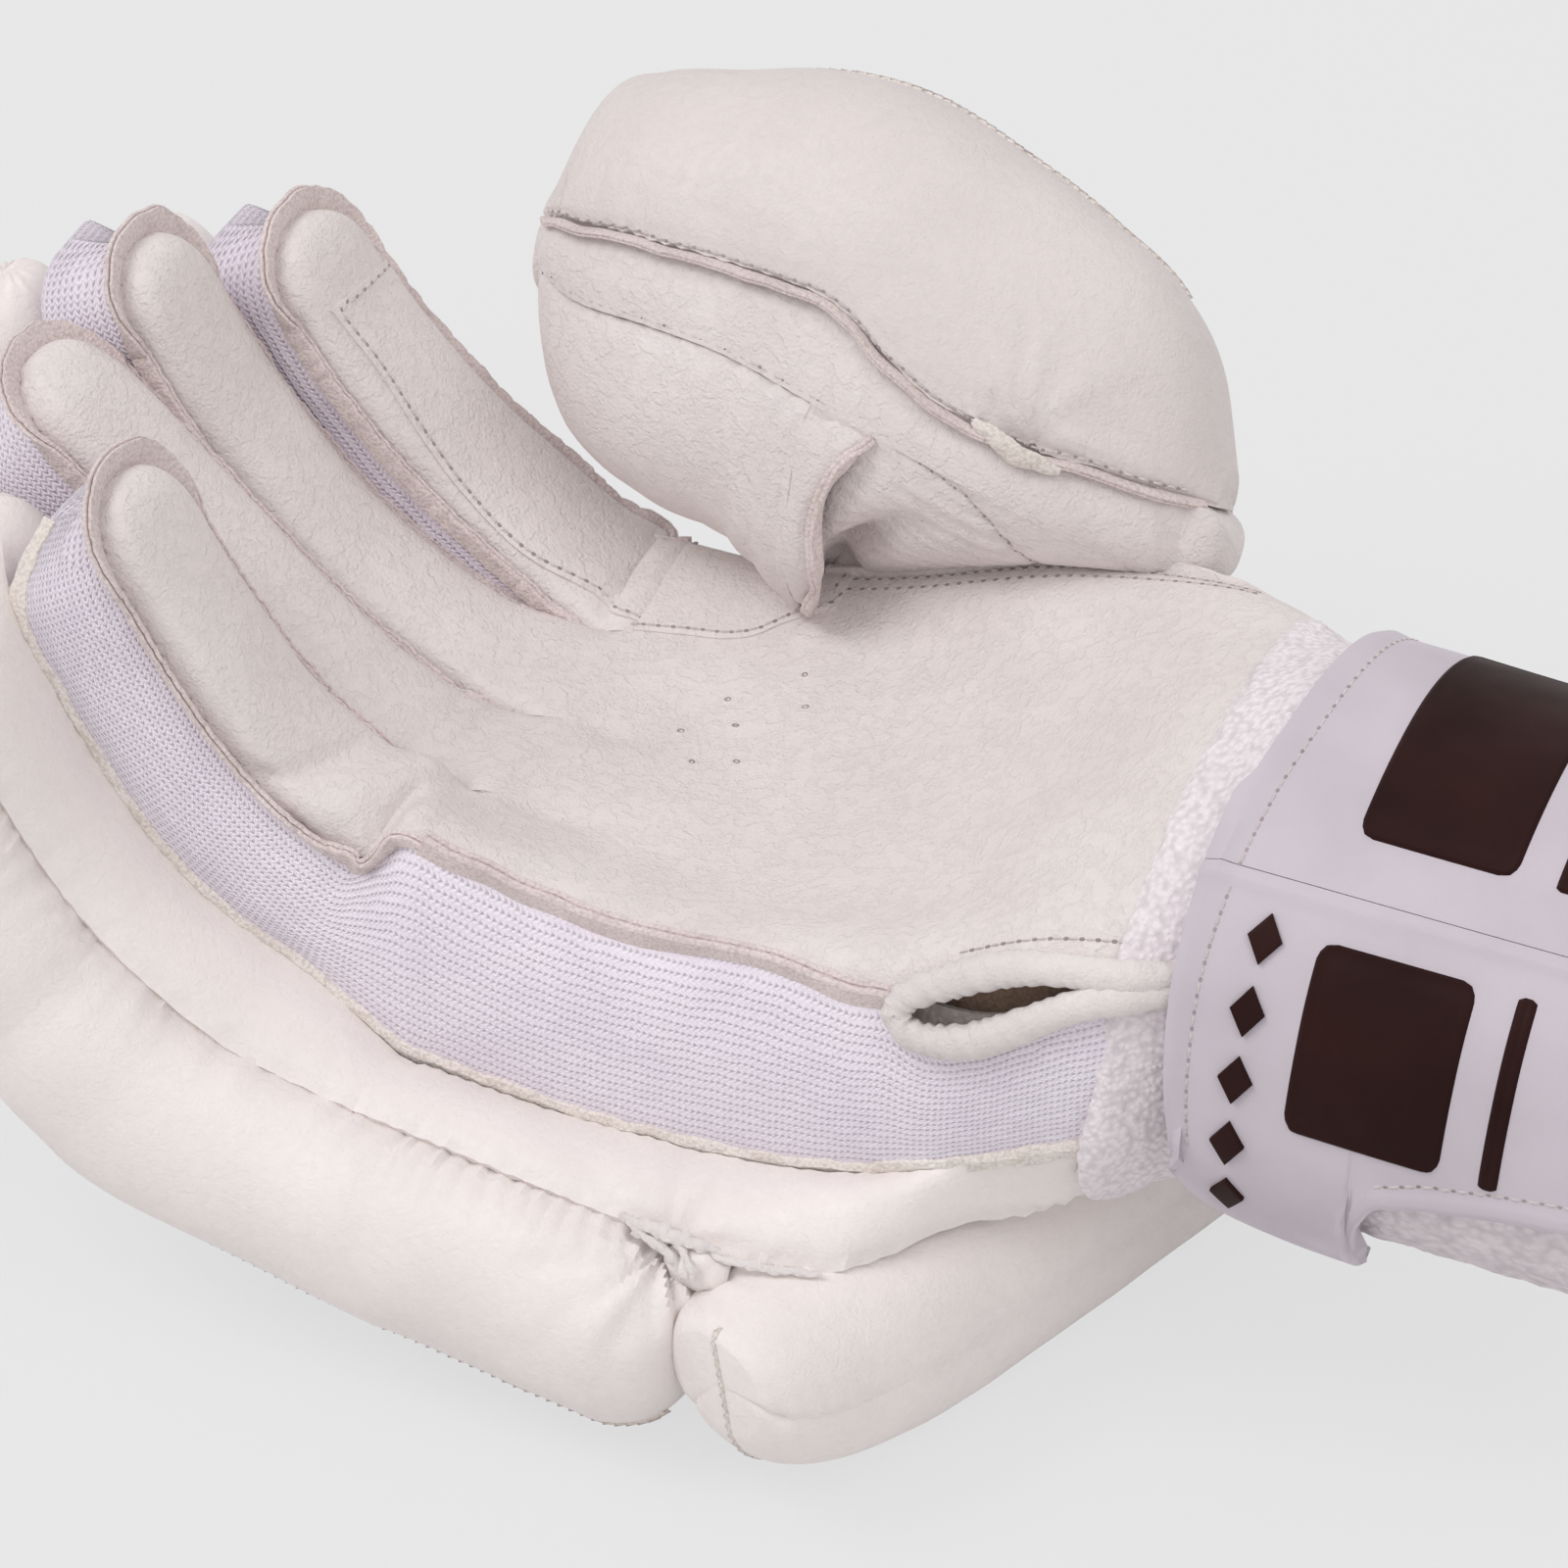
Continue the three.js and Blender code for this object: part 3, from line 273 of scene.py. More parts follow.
def sheetPiece(name, grid, thickness, material, weave=None, roundEdge=0.0, side=1):
    # closed body between a grid of points and the same grid moved in by thickness, with rounded edges
    rows, columns, _ = grid.shape
    normal = normalsOf(grid) * side
    if roundEdge:
        near = np.minimum(fromEnds(rows)[:, None], fromEnds(columns)[None])
        drop = np.where(near == 0, 1.0, np.where(near == 1, 0.35, 0.0)) * roundEdge
        grid = grid - normal * drop[..., None]
    under = grid - normal * thickness
    points = np.concatenate([grid.reshape(-1, 3), under.reshape(-1, 3)])
    count = rows * columns
    top, bottom = gridFaces(rows, columns), gridFaces(rows, columns, count, flip=True)
    loop = list(range(columns))
    loop += [k * columns + columns - 1 for k in range(1, rows)]
    loop += [(rows - 1) * columns + k for k in range(columns - 2, -1, -1)]
    loop += [k * columns for k in range(rows - 2, 0, -1)]
    wall = [[loop[k], loop[k - 1], loop[k - 1] + count, loop[k] + count] for k in range(len(loop))]
    faces = np.concatenate([top, bottom, np.array(wall)])
    if side < 0:
        faces = faces[:, ::-1]
    both = None if weave is None else np.concatenate([weave.reshape(-1, 3)] * 2)
    return buildMesh(name, points, faces.tolist(), material, both)


def loftPiece(name, rings, material, sharp=40):
    # closed body through rings of points (rings, around, 3), with a fan at each end
    count, around, _ = rings.shape
    ends = rings[[0, -1]].mean(1)
    points = np.concatenate([rings.reshape(-1, 3), ends])
    faces = gridFaces(count, around, wrap=True).tolist()
    first, last = count * around, count * around + 1
    faces += [[first, (j + 1) % around, j] for j in range(around)]
    base = (count - 1) * around
    faces += [[last, base + j, base + (j + 1) % around] for j in range(around)]
    centre = rings.reshape(-1, 3).mean(0)
    quads = np.array(faces[: (count - 1) * around])
    a, b, c = points[quads[:, 0]] - centre, points[quads[:, 1]] - centre, points[quads[:, 2]] - centre
    if np.einsum("ij,ij->i", a, np.cross(b, c)).sum() < 0:
        faces = [face[::-1] for face in faces]
    return buildMesh(name, points, faces, material, sharp=sharp)


def tangentsOf(path):
    return toUnit(np.gradient(path, axis=0))


def bandPiece(name, path, up, section, material):
    # sweeps a closed section of (across, up) pairs along path; up gives a direction for each point
    tangent = tangentsOf(path)
    across = toUnit(np.cross(tangent, up))
    up = np.cross(across, tangent)
    section = np.asarray(section, float)
    if section.ndim == 2:
        section = np.repeat(section[None], len(path), 0)
    rings = path[:, None] + across[:, None] * section[..., :1] + up[:, None] * section[..., 1:]
    return loftPiece(name, rings, material)


def evenly(path, step):
    # points along a polyline, one for each step
    along = lengthsOf(path)
    count = max(2, int(round(along[-1] / step)) + 1)
    places = np.linspace(0, along[-1], count)
    return readRows(places, along, path)


def joinPieces(name, parts):
    # one object from several meshes
    bpy.ops.object.select_all(action="DESELECT")
    for part in parts:
        part.select_set(True)
    bpy.context.view_layer.objects.active = parts[0]
    bpy.ops.object.join()
    parts[0].name = name
    parts[0].data.name = name
    return parts[0]


# camera, floor and light
view = {
    "azimuth": 24,
    "elevation": 40,
    "distance": 0.9,
    "lens": 145.8,
    "shiftY": 58 / 1600,
    "backdrop": (231, 231, 232),
    "floorGrey": (0.8, 0.8, 0.8, 1),
    "floorGlow": 0.84,
    "sky": (1, 0.995, 0.99, 1),
    "skyStrength": 0.6,
}


def colour(red, green, blue):
    def one(value):
        value /= 255
        return value / 12.92 if value <= 0.04045 else ((value + 0.055) / 1.055) ** 2.4

    return one(red), one(green), one(blue), 1


def addNode(tree, kind, **settings):
    made = tree.nodes.new("ShaderNode" + kind)
    for key, value in settings.items():
        if key in made.inputs:
            made.inputs[key].default_value = value
        else:
            setattr(made, key, value)
    return made


def setUpCamera():
    azimuth, elevation = math.radians(view["azimuth"]), math.radians(view["elevation"])
    back = np.array(
        [
            math.sin(azimuth) * math.cos(elevation),
            -math.cos(azimuth) * math.cos(elevation),
            math.sin(elevation),
        ]
    )
    camera = bpy.data.objects.new("camera", bpy.data.cameras.new("camera"))
    bpy.context.scene.collection.objects.link(camera)
    camera.location = toRow((0, 0, 0)) + back * view["distance"]
    camera.rotation_euler = (math.pi / 2 - elevation, 0, azimuth)
    camera.data.lens = view["lens"]
    camera.data.sensor_width = 36
    camera.data.shift_y = view["shiftY"]
    camera.data.clip_end = 50
    bpy.context.scene.camera = camera


def setUpFloor():
    mesh = bpy.data.meshes.new("floor")
    mesh.from_pydata([(-12, -12, 0), (12, -12, 0), (12, 12, 0), (-12, 12, 0)], [], [(0, 1, 2, 3)])
    floor = bpy.data.objects.new("floor", mesh)
    bpy.context.scene.collection.objects.link(floor)
    material = bpy.data.materials.new("paleFloor")
    material.use_nodes = True
    tree = material.node_tree
    tree.nodes.clear()
    diffuse = addNode(tree, "BsdfDiffuse", Color=view["floorGrey"])
    glow = addNode(tree, "Emission", Color=colour(*view["backdrop"]))
    rays = addNode(tree, "LightPath")
    seen = addNode(tree, "Math", operation="MAXIMUM")
    tree.links.new(rays.outputs["Is Camera Ray"], seen.inputs[0])
    tree.links.new(rays.outputs["Is Glossy Ray"], seen.inputs[1])
    part = addNode(tree, "Math", operation="MULTIPLY")
    part.inputs[1].default_value = view["floorGlow"]
    tree.links.new(seen.outputs[0], part.inputs[0])
    blend = addNode(tree, "MixShader")
    tree.links.new(part.outputs[0], blend.inputs[0])
    tree.links.new(diffuse.outputs[0], blend.inputs[1])
    tree.links.new(glow.outputs[0], blend.inputs[2])
    out = addNode(tree, "OutputMaterial")
    tree.links.new(blend.outputs[0], out.inputs[0])
    mesh.materials.append(material)


def setUpWorld():
    world = bpy.data.worlds.new("studio")
    bpy.context.scene.world = world
    world.use_nodes = True
    tree = world.node_tree
    tree.nodes.clear()
    soft = addNode(tree, "Background", Color=view["sky"], Strength=view["skyStrength"])
    seen = addNode(tree, "Background", Color=colour(*view["backdrop"]), Strength=1.0)
    rays = addNode(tree, "LightPath")
    blend = addNode(tree, "MixShader")
    tree.links.new(rays.outputs["Is Camera Ray"], blend.inputs[0])
    tree.links.new(soft.outputs[0], blend.inputs[1])
    tree.links.new(seen.outputs[0], blend.inputs[2])
    out = addNode(tree, "OutputWorld")
    tree.links.new(blend.outputs[0], out.inputs[0])


lamps = {
    "key": {"at": (-0.9, -0.6, 1.5), "size": 0.9, "power": 12},
    "fill": {"at": (1.1, -0.6, 1.6), "size": 1.4, "power": 8},
    "back": {"at": (0.3, 1.5, 1.2), "size": 1.0, "power": 3},
}


def setUpLamps():
    aim = np.array([0, 0, 0.05])
    for name, lamp in lamps.items():
        data = bpy.data.lights.new(name, "AREA")
        data.energy = lamp["power"]
        data.size = lamp["size"]
        made = bpy.data.objects.new(name, data)
        bpy.context.scene.collection.objects.link(made)
        made.location = lamp["at"]
        direction = aim - np.array(lamp["at"])
        flat = math.hypot(direction[0], direction[1])
        made.rotation_euler = (
            math.atan2(flat, -direction[2]), 0, math.atan2(direction[1], direction[0]) - math.pi / 2
        )


bpy.context.scene.view_settings.view_transform = "Standard"
setUpCamera()
setUpFloor()
setUpWorld()
setUpLamps()
print("camera and studio ready")


# materials
def blank(name, roughness, **settings):
    material = bpy.data.materials.new(name)
    material.use_nodes = True
    tree = material.node_tree
    shader = tree.nodes["Principled BSDF"]
    shader.inputs["Roughness"].default_value = roughness
    for key, value in settings.items():
        shader.inputs[key].default_value = value
    return material, tree, shader


def noiseNode(tree, source, scale, detail=2.0, rough=0.5):
    made = addNode(tree, "TexNoise", Scale=scale, Detail=detail, Roughness=rough)
    tree.links.new(source, made.inputs["Vector"])
    return made.outputs["Fac"]


def cellNode(tree, source, scale, smooth=0.3):
    made = addNode(tree, "TexVoronoi", feature="SMOOTH_F1", Scale=scale, Smoothness=smooth)
    tree.links.new(source, made.inputs["Vector"])
    return made.outputs["Distance"]


def mathNode(tree, operation, *values):
    made = addNode(tree, "Math", operation=operation)
    for k, value in enumerate(values):
        if isinstance(value, (int, float)):
            made.inputs[k].default_value = value
        else:
            tree.links.new(value, made.inputs[k])
    return made.outputs[0]


def rangeNode(tree, value, low, high, toLow=0.0, toHigh=1.0):
    made = addNode(tree, "MapRange")
    tree.links.new(value, made.inputs["Value"])
    for key, number in zip(("From Min", "From Max", "To Min", "To Max"), (low, high, toLow, toHigh)):
        made.inputs[key].default_value = number
    return made.outputs[0]


def mixColour(tree, share, a, b):
    made = addNode(tree, "Mix", data_type="RGBA")
    tree.links.new(share, made.inputs[0])
    for k, value in ((6, a), (7, b)):
        if isinstance(value, tuple):
            made.inputs[k].default_value = value
        else:
            tree.links.new(value, made.inputs[k])
    return made.outputs[2]


def bumpNode(tree, height, strength, distance, before=None):
    made = addNode(tree, "Bump", Strength=strength, Distance=distance)
    tree.links.new(height, made.inputs["Height"])
    if before is not None:
        tree.links.new(before, made.inputs["Normal"])
    return made.outputs[0]


def leatherMaterial(name, light, shade, roughness=0.5, grain=0.00055, creases=0.5, pores=0.65):
    material, tree, shader = blank(name, roughness)
    shader.inputs["Specular IOR Level"].default_value = 0.35
    place = addNode(tree, "TexCoord").outputs["Object"]
    clouds = noiseNode(tree, place, 45, 3)
    fine = noiseNode(tree, place, 700, 4, 0.65)
    cells = cellNode(tree, place, 1 / grain)
    lines = noiseNode(tree, place, 260, 5, 0.6)
    ridge = mathNode(tree, "ABSOLUTE", mathNode(tree, "SUBTRACT", lines, 0.5))
    crease = rangeNode(tree, ridge, 0.0, 0.06)
    tint = mixColour(tree, rangeNode(tree, clouds, 0.35, 0.68), colour(*light), colour(*shade))
    dust = rangeNode(tree, fine, 0.3, 0.75, 0.0, 0.22)
    tint = mixColour(tree, dust, tint, colour(*[value * 0.93 for value in shade]))
    tree.links.new(tint, shader.inputs["Base Color"])
    tree.links.new(
        rangeNode(tree, fine, 0.3, 0.7, roughness - 0.07, roughness + 0.12), shader.inputs["Roughness"]
    )
    bump = bumpNode(tree, crease, creases, 0.0002)
    bump = bumpNode(tree, cells, pores, 0.00016, bump)
    bump = bumpNode(tree, fine, 0.35, 0.00012, bump)
    tree.links.new(bump, shader.inputs["Normal"])
    return material


def knitMaterial(name, light, shade, rib=1.45, stitch=0.95):
    # weave holds the place in millimetres, along and across the ribs
    material, tree, shader = blank(name, 0.9)
    shader.inputs["Specular IOR Level"].default_value = 0.15
    shader.inputs["Sheen Weight"].default_value = 0.25
    shader.inputs["Sheen Roughness"].default_value = 0.6
    weave = addNode(tree, "Attribute", attribute_name="weave")
    wobble = addNode(tree, "TexNoise", Scale=0.25, Detail=2.0)
    tree.links.new(weave.outputs["Vector"], wobble.inputs["Vector"])
    shift = mathNode(tree, "MULTIPLY", mathNode(tree, "SUBTRACT", wobble.outputs["Fac"], 0.5), 1.2)
    parts = addNode(tree, "SeparateXYZ")
    tree.links.new(weave.outputs["Vector"], parts.inputs[0])
    across = mathNode(tree, "DIVIDE", mathNode(tree, "ADD", parts.outputs[1], shift), rib)
    cell = mathNode(tree, "FRACT", across)
    side = mathNode(tree, "ABSOLUTE", mathNode(tree, "SUBTRACT", cell, 0.5))
    valley = rangeNode(tree, side, 0.28, 0.5)
    lean = mathNode(tree, "MULTIPLY", side, 1.7)
    along = mathNode(tree, "ADD", mathNode(tree, "DIVIDE", parts.outputs[0], stitch), lean)
    wave = mathNode(tree, "SINE", mathNode(tree, "MULTIPLY", along, 6.2832))
    hump = rangeNode(tree, wave, -1, 1)
    height = mathNode(
        tree, "SUBTRACT", mathNode(tree, "MULTIPLY", hump, 0.55), mathNode(tree, "MULTIPLY", valley, 0.8)
    )
    # painted shade: the holes between stitches, down in the valleys between ribs, are darkened
    hole = mathNode(tree, "MULTIPLY", rangeNode(tree, wave, 0.35, -0.8), rangeNode(tree, side, 0.3, 0.47))
    place = addNode(tree, "TexCoord").outputs["Object"]
    clouds = noiseNode(tree, place, 70, 3)
    fuzz = noiseNode(tree, place, 2600, 3, 0.7)
    tint = mixColour(tree, rangeNode(tree, clouds, 0.35, 0.7), colour(*light), colour(*shade))
    # the holes take a darker tone of the knit as painted shade
    tint = mixColour(
        tree, mathNode(tree, "MULTIPLY", hole, 0.6), tint, colour(*[value * 0.74 for value in shade])
    )
    tree.links.new(tint, shader.inputs["Base Color"])
    bump = bumpNode(tree, height, 0.8, 0.00035)
    bump = bumpNode(tree, fuzz, 0.5, 0.00015, bump)
    tree.links.new(bump, shader.inputs["Normal"])
    return material


def fuzzMaterial(name, light, shade, loop=0.0011, depth=0.0004, roughness=0.95):
    material, tree, shader = blank(name, roughness)
    shader.inputs["Specular IOR Level"].default_value = 0.12
    shader.inputs["Sheen Weight"].default_value = 0.3
    place = addNode(tree, "TexCoord").outputs["Object"]
    clouds = noiseNode(tree, place, 90, 3)
    cells = cellNode(tree, place, 1 / loop, 0.6)
    fine = noiseNode(tree, place, 2500, 3, 0.7)
    tint = mixColour(tree, rangeNode(tree, clouds, 0.3, 0.7), colour(*light), colour(*shade))
    # painted shade: darker between the loops, where the bump sinks
    tint = mixColour(
        tree, rangeNode(tree, cells, 0.35, 0.75, 0, 0.5), tint, colour(*[value * 0.82 for value in shade])
    )
    tree.links.new(tint, shader.inputs["Base Color"])
    bump = bumpNode(tree, mathNode(tree, "SUBTRACT", 1.0, cells), 0.9, depth)
    bump = bumpNode(tree, fine, 0.6, 0.00015, bump)
    tree.links.new(bump, shader.inputs["Normal"])
    return material


def rubberMaterial(name, light, shade, roughness=0.5, gloss=0.25):
    material, tree, shader = blank(name, roughness)
    shader.inputs["Specular IOR Level"].default_value = gloss
    place = addNode(tree, "TexCoord").outputs["Object"]
    clouds = noiseNode(tree, place, 60, 3)
    fine = noiseNode(tree, place, 3000, 3, 0.6)
    tint = mixColour(tree, rangeNode(tree, clouds, 0.35, 0.65), colour(*light), colour(*shade))
    tree.links.new(tint, shader.inputs["Base Color"])
    tree.links.new(
        rangeNode(tree, clouds, 0.3, 0.7, roughness - 0.06, roughness + 0.08), shader.inputs["Roughness"]
    )
    tree.links.new(bumpNode(tree, fine, 0.3, 0.0001), shader.inputs["Normal"])
    return material


materials = {
    "palm": leatherMaterial("palmLeather", (230, 222, 220), (222, 213, 211), 0.5),
    "finger": leatherMaterial("fingerLeather", (230, 222, 220), (222, 213, 211), 0.5),
    "patch": leatherMaterial("patchLeather", (231, 223, 221), (223, 214, 212), 0.5),
    "shell": leatherMaterial("shellLeather", (225, 216, 214), (218, 209, 207), 0.47, creases=0.3, pores=0.35),
    "thumb": leatherMaterial("thumbLeather", (231, 223, 222), (223, 214, 213), 0.5),
    "roll": leatherMaterial("rollLeather", (242, 234, 231), (235, 227, 225), 0.48, creases=0.25, pores=0.3),
    "binding": leatherMaterial("bindingLeather", (229, 222, 220), (217, 209, 207), 0.5, creases=0.3),
    "rawEdge": fuzzMaterial("rawEdge", (232, 218, 216), (217, 202, 200), 0.0005, 0.0002),
    "creamEdge": fuzzMaterial("creamEdge", (240, 232, 227), (230, 219, 212), 0.0005, 0.0002),
    "knit": knitMaterial("ribKnit", (248, 239, 250), (241, 231, 244)),
    "gusset": knitMaterial("gussetKnit", (244, 234, 245), (235, 224, 237)),
    "lining": fuzzMaterial("cottonLining", (214, 206, 199), (190, 180, 172), 0.0009, 0.0003),
    "terry": fuzzMaterial("terryCloth", (244, 235, 239), (234, 224, 229), 0.001, 0.0005),
    "loop": fuzzMaterial("loopTape", (232, 222, 227), (219, 208, 214), 0.0016, 0.0007),
    "rubber": rubberMaterial("strapRubber", (203, 193, 202), (196, 186, 195)),
    "brown": rubberMaterial("brownRubber", (46, 22, 20), (38, 17, 15), 0.55, 0.12),
    "thread": leatherMaterial("thread", (218, 209, 208), (200, 190, 190), 0.7),
    # painted shade: dark colour for the needle holes and for the floors of the palm's holes
    "hole": rubberMaterial("needleHoleShade", (170, 157, 157), (150, 138, 139), 0.9),
    "suede": fuzzMaterial("suedeInside", (196, 168, 150), (165, 138, 121), 0.0006, 0.0002),
    "hook": fuzzMaterial("hookTape", (217, 210, 216), (196, 188, 194), 0.0012, 0.0005),
    "plate": rubberMaterial("fibrePlate", (210, 208, 204), (196, 193, 188), 0.6),
}
print("materials ready")

# the fingers: root, bends at root, middle and tip, length of the centre line, middle and half of the width
fingers = {
    "index": {
        "x": -42,
        "z": 2,
        "bends": (28, 44, 66),
        "length": 82,
        "y": 34.5,
        "half": 12.2,
        "spread": 0,
        "root": (22, 42.5),
    },
    "middle": {
        "x": -45,
        "z": 2,
        "bends": (12, 50, 68),
        "length": 97,
        "y": 11,
        "half": 10.7,
        "spread": 0,
        "root": (0, 22),
    },
    "ring": {
        "x": -45,
        "z": 2,
        "bends": (20, 46, 42),
        "length": 88,
        "y": -11,
        "half": 10.7,
        "spread": 0,
        "root": (-22, 0),
    },
    "little": {
        "x": -43,
        "z": 8,
        "bends": (15, 55, 66),
        "length": 70,
        "y": -33,
        "half": 10.7,
        "spread": 5,
        "root": (-44, -22),
    },
}
stall = {
    "front": 10,
    "back": 18,
    "tip": 13,
    "tipBack": 0.7,
    "tipWidth": 0.9,
    "widths": np.array([-0.97, -0.6, 0.6, 0.97, 1, 0.74, 0, -0.74, -1]),
    "depths": np.array([0.45, 0.96, 0.96, 0.45, -0.5, -0.93, -1, -0.93, -0.5]),
    "spreads": np.array([0, 0, 0, 0, 0, 0, 0.3, 1, 0.8]),
}
panel = {
    "shares": np.array([-1, -0.93, -0.78, -0.45, 0, 0.45, 0.78, 0.93, 1]),
    "crown": np.array([0, 0.5, 0.8, 0.95, 1, 0.95, 0.8, 0.5, 0]),
    "edge": (5.0, 3.8),
    "top": 9.7,
    "inset": 0.3,
    "tip": 12,
    "tipRows": 16,
    "short": {"index": 3.5, "middle": 4, "ring": 0, "little": -1.5},
    "thickness": 1.3,
    "columns": 35,
    "step": 1.2,
}


def fingerLine(finger, s):
    s = np.asarray(s, float)
    root, middle, tip = np.radians(finger["bends"])
    half = finger["length"] / 2

    def arc(x, z, start, end, length):
        rate = (end - start) / half
        angle = start + rate * length
        return x - (np.sin(angle) - np.sin(start)) / rate, z + (np.cos(start) - np.cos(angle)) / rate, angle

    first = arc(finger["x"], finger["z"], root, middle, np.clip(s, 0, half))
    knee = arc(finger["x"], finger["z"], root, middle, half)
    second = arc(knee[0], knee[1], middle, tip, np.maximum(s - half, 0))
    before = (finger["x"] - s * math.cos(root), finger["z"] + s * math.sin(root), root + 0 * s)
    return [np.where(s < 0, a, np.where(s <= half, b, c)) for a, b, c in zip(before, first, second)]


def fingerPlace(finger, s, y, h):
    s, y, h = matched(s, y, h)
    x, z, angle = fingerLine(finger, s)
    return np.stack([x + h * np.sin(angle), y, z + h * np.cos(angle)], -1)


def stallPoint(finger, s, t):
    s, t = matched(s, t)
    share = np.clip(s / finger["length"], 0, 1)
    into = np.clip((s - (finger["length"] - stall["tip"])) / stall["tip"], 0, 1)
    rounding = np.maximum(0.3, np.sqrt(1 - into * into))[..., None]
    width = (finger["half"] * mix(1, stall["tipWidth"], share))[..., None] * rounding
    back = (stall["back"] * mix(1, stall["tipBack"], share))[..., None]
    depth = stall["depths"] * np.where(stall["depths"] > 0, stall["front"], back)
    across = stall["widths"] * width - stall["spreads"] * finger["spread"] * rounding
    height = mix((stall["front"] - back) / 2, depth, rounding)
    return finger["y"] + closedAt(across, t), closedAt(height, t)


def stallSurface(finger, s, t):
    y, h = stallPoint(finger, s, t)
    return fingerPlace(finger, s, y, h)


def attachFinger(piece, name, part, nodes=()):
    # a piece on a finger's lower or upper part: its place is baked in and the frame parts it stands for are
    # hidden
    finger = fingers[name]
    half = finger["length"] / 2
    if part == "lower":
        start, end = toRow((-36.5, finger["y"], 4)), toRow(fingerPlace(finger, 13, finger["y"], 0))
    else:
        start, end = (toRow(fingerPlace(finger, half + k, finger["y"], 0)) for k in (-10, 10))
    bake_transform(piece)
    finishPiece(nodes)


def finishPiece(nodes=()):
    if nodes:
        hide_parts(*nodes)


def ridePiece(piece, body, nodes=()):
    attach(piece, body)
    finishPiece(nodes)


def palmHeight(x, y):
    return handPoint(x, handAtY(x, y))[..., 2]


def leatherDents(points, normals, strength=1.0):
    dent = noise(points, 13, 1) * 0.3 + noise(points, 5.5, 2) * 0.13 + noise(points, 2.4, 0) * 0.04
    return points + normals * (dent * strength)[..., None]


def panelRows(name):
    # rows of a finger's palm side, from inside the palm to the tip, each with its length s
    finger, shares = fingers[name], panel["shares"]
    rows, lengths = [], []
    low, high = finger["root"]
    for x, drop, dip in ((-28, 2.0, 0), (-31, 1.1, 0), (-34, 0.0, 0), (-38, 0.0, 1.2)):
        y = mix(low, high, (shares + 1) / 2)
        z = palmHeight(np.full_like(y, x), y) - drop - dip * np.abs(shares) ** 6
        rows.append(np.stack([np.full_like(y, x), y, z], -1))
        lengths.append(finger["x"] - x)
    length = finger["length"] - panel["short"][name]
    body = np.concatenate([[2.0, 5.0], np.linspace(9.5, length - panel["tip"], 9)])
    tip = length - panel["tip"] + panel["tip"] * np.sin(np.radians(np.linspace(8, 89, panel["tipRows"])))
    for s in np.concatenate([body, tip]):
        into = max(0, s - (length - panel["tip"])) / panel["tip"]
        rounding = max(0.0, 1 - into**2.3) ** (1 / 2.3)
        share = s / length
        half = (finger["half"] * mix(1, stall["tipWidth"], share) - panel["inset"]) * max(0.03, rounding)
        edge = mix(*panel["edge"], share)
        if s < 6:
            half += 0.8 if s < 3 else 0.3
            edge = mix(edge, panel["top"], 0.35)
        top = mix(edge, panel["top"], rounding**0.7)
        h = edge + (top - edge) * panel["crown"]
        rows.append(fingerPlace(finger, s, finger["y"] + shares * half, h))
        lengths.append(s)
    return np.array(rows), np.array(lengths)


def finePanel(name):
    rows, lengths = panelRows(name)
    body = len(rows) - panel["tipRows"]
    count = int((lengths[body - 1] - lengths[0]) / panel["step"])
    # even steps along the finger, then the rows of its tip
    places = np.interp(np.linspace(lengths[0], lengths[body - 1], count), lengths[:body], np.arange(body))
    places = np.concatenate([places, np.arange(body, len(rows))])
    grid = smoothAt(np.arange(len(rows)), rows, places)
    s = np.interp(places, np.arange(len(lengths)), lengths)
    return refine(grid, panel["columns"], 1), s


foldSpots = [(14.5, -0.6, 1.7, 4.5), (9, -0.25, 2.2, 5.0), (3.5, 0.25, 1.6, 5.0)]
panels = {}
for name, finger in fingers.items():
    grid, s = finePanel(name)
    normals = -normalsOf(grid)
    edge = fromEnds(panel["columns"])
    near = bell(edge, 3.0)[None, :] * ease((s - 2) / 6)[:, None]
    pucker = np.sin(s[:, None] * 2.9 + 3 * noise(grid, 4, 1)) * 0.22 * near
    dented = leatherDents(grid, normals, 0.8) + normals * pucker[..., None]
    if name == "little":
        # leather pushed up in a fold across the finger's root
        shares = np.linspace(-1, 1, panel["columns"])
        for along, share, rise, width in foldSpots:
            away = ((s[:, None] - along) / width) ** 2 + ((shares[None] - share) * 10 / width) ** 2
            dented = dented + normals * (rise * np.exp(-away) * (1 - shares[None] ** 6))[..., None]
        line = s[:, None] - (16.5 - 8 * shares[None])
        groove = 1.1 * bell(line, 2.3) * ease((0.8 - shares[None]) / 0.6)
        groove = groove * ease((shares[None] + 1) / 0.25)
        dented = dented - normals * groove[..., None]
    grid = mix(grid, dented, ease((-34.5 - grid[..., :1]) / 5))
    panels[name] = (grid, s, normals)
    cut = int(np.argmin(np.abs(s - (finger["length"] / 2 - 12))))
    for part, run in (("lower", slice(0, cut + 1)), ("upper", slice(cut, None))):
        piece = sheetPiece(
            f"{name}{part.title()}Palm", grid[run], panel["thickness"], materials["finger"], side=-1
        )
        attachFinger(piece, name, part, [f"{name}_{part}_palm_leather"])
print("finger leathers ready")

rim = {
    "side": 2.3,
    "tip": 3.4,
    "thick": 1.5,
    "sink": 0.9,
    "starts": {
        "index": (-43.5, -34.5),
        "middle": (-47.5, -43.5),
        "ring": (-46, -47.5),
        "little": (-34.5, -46),
    },
}


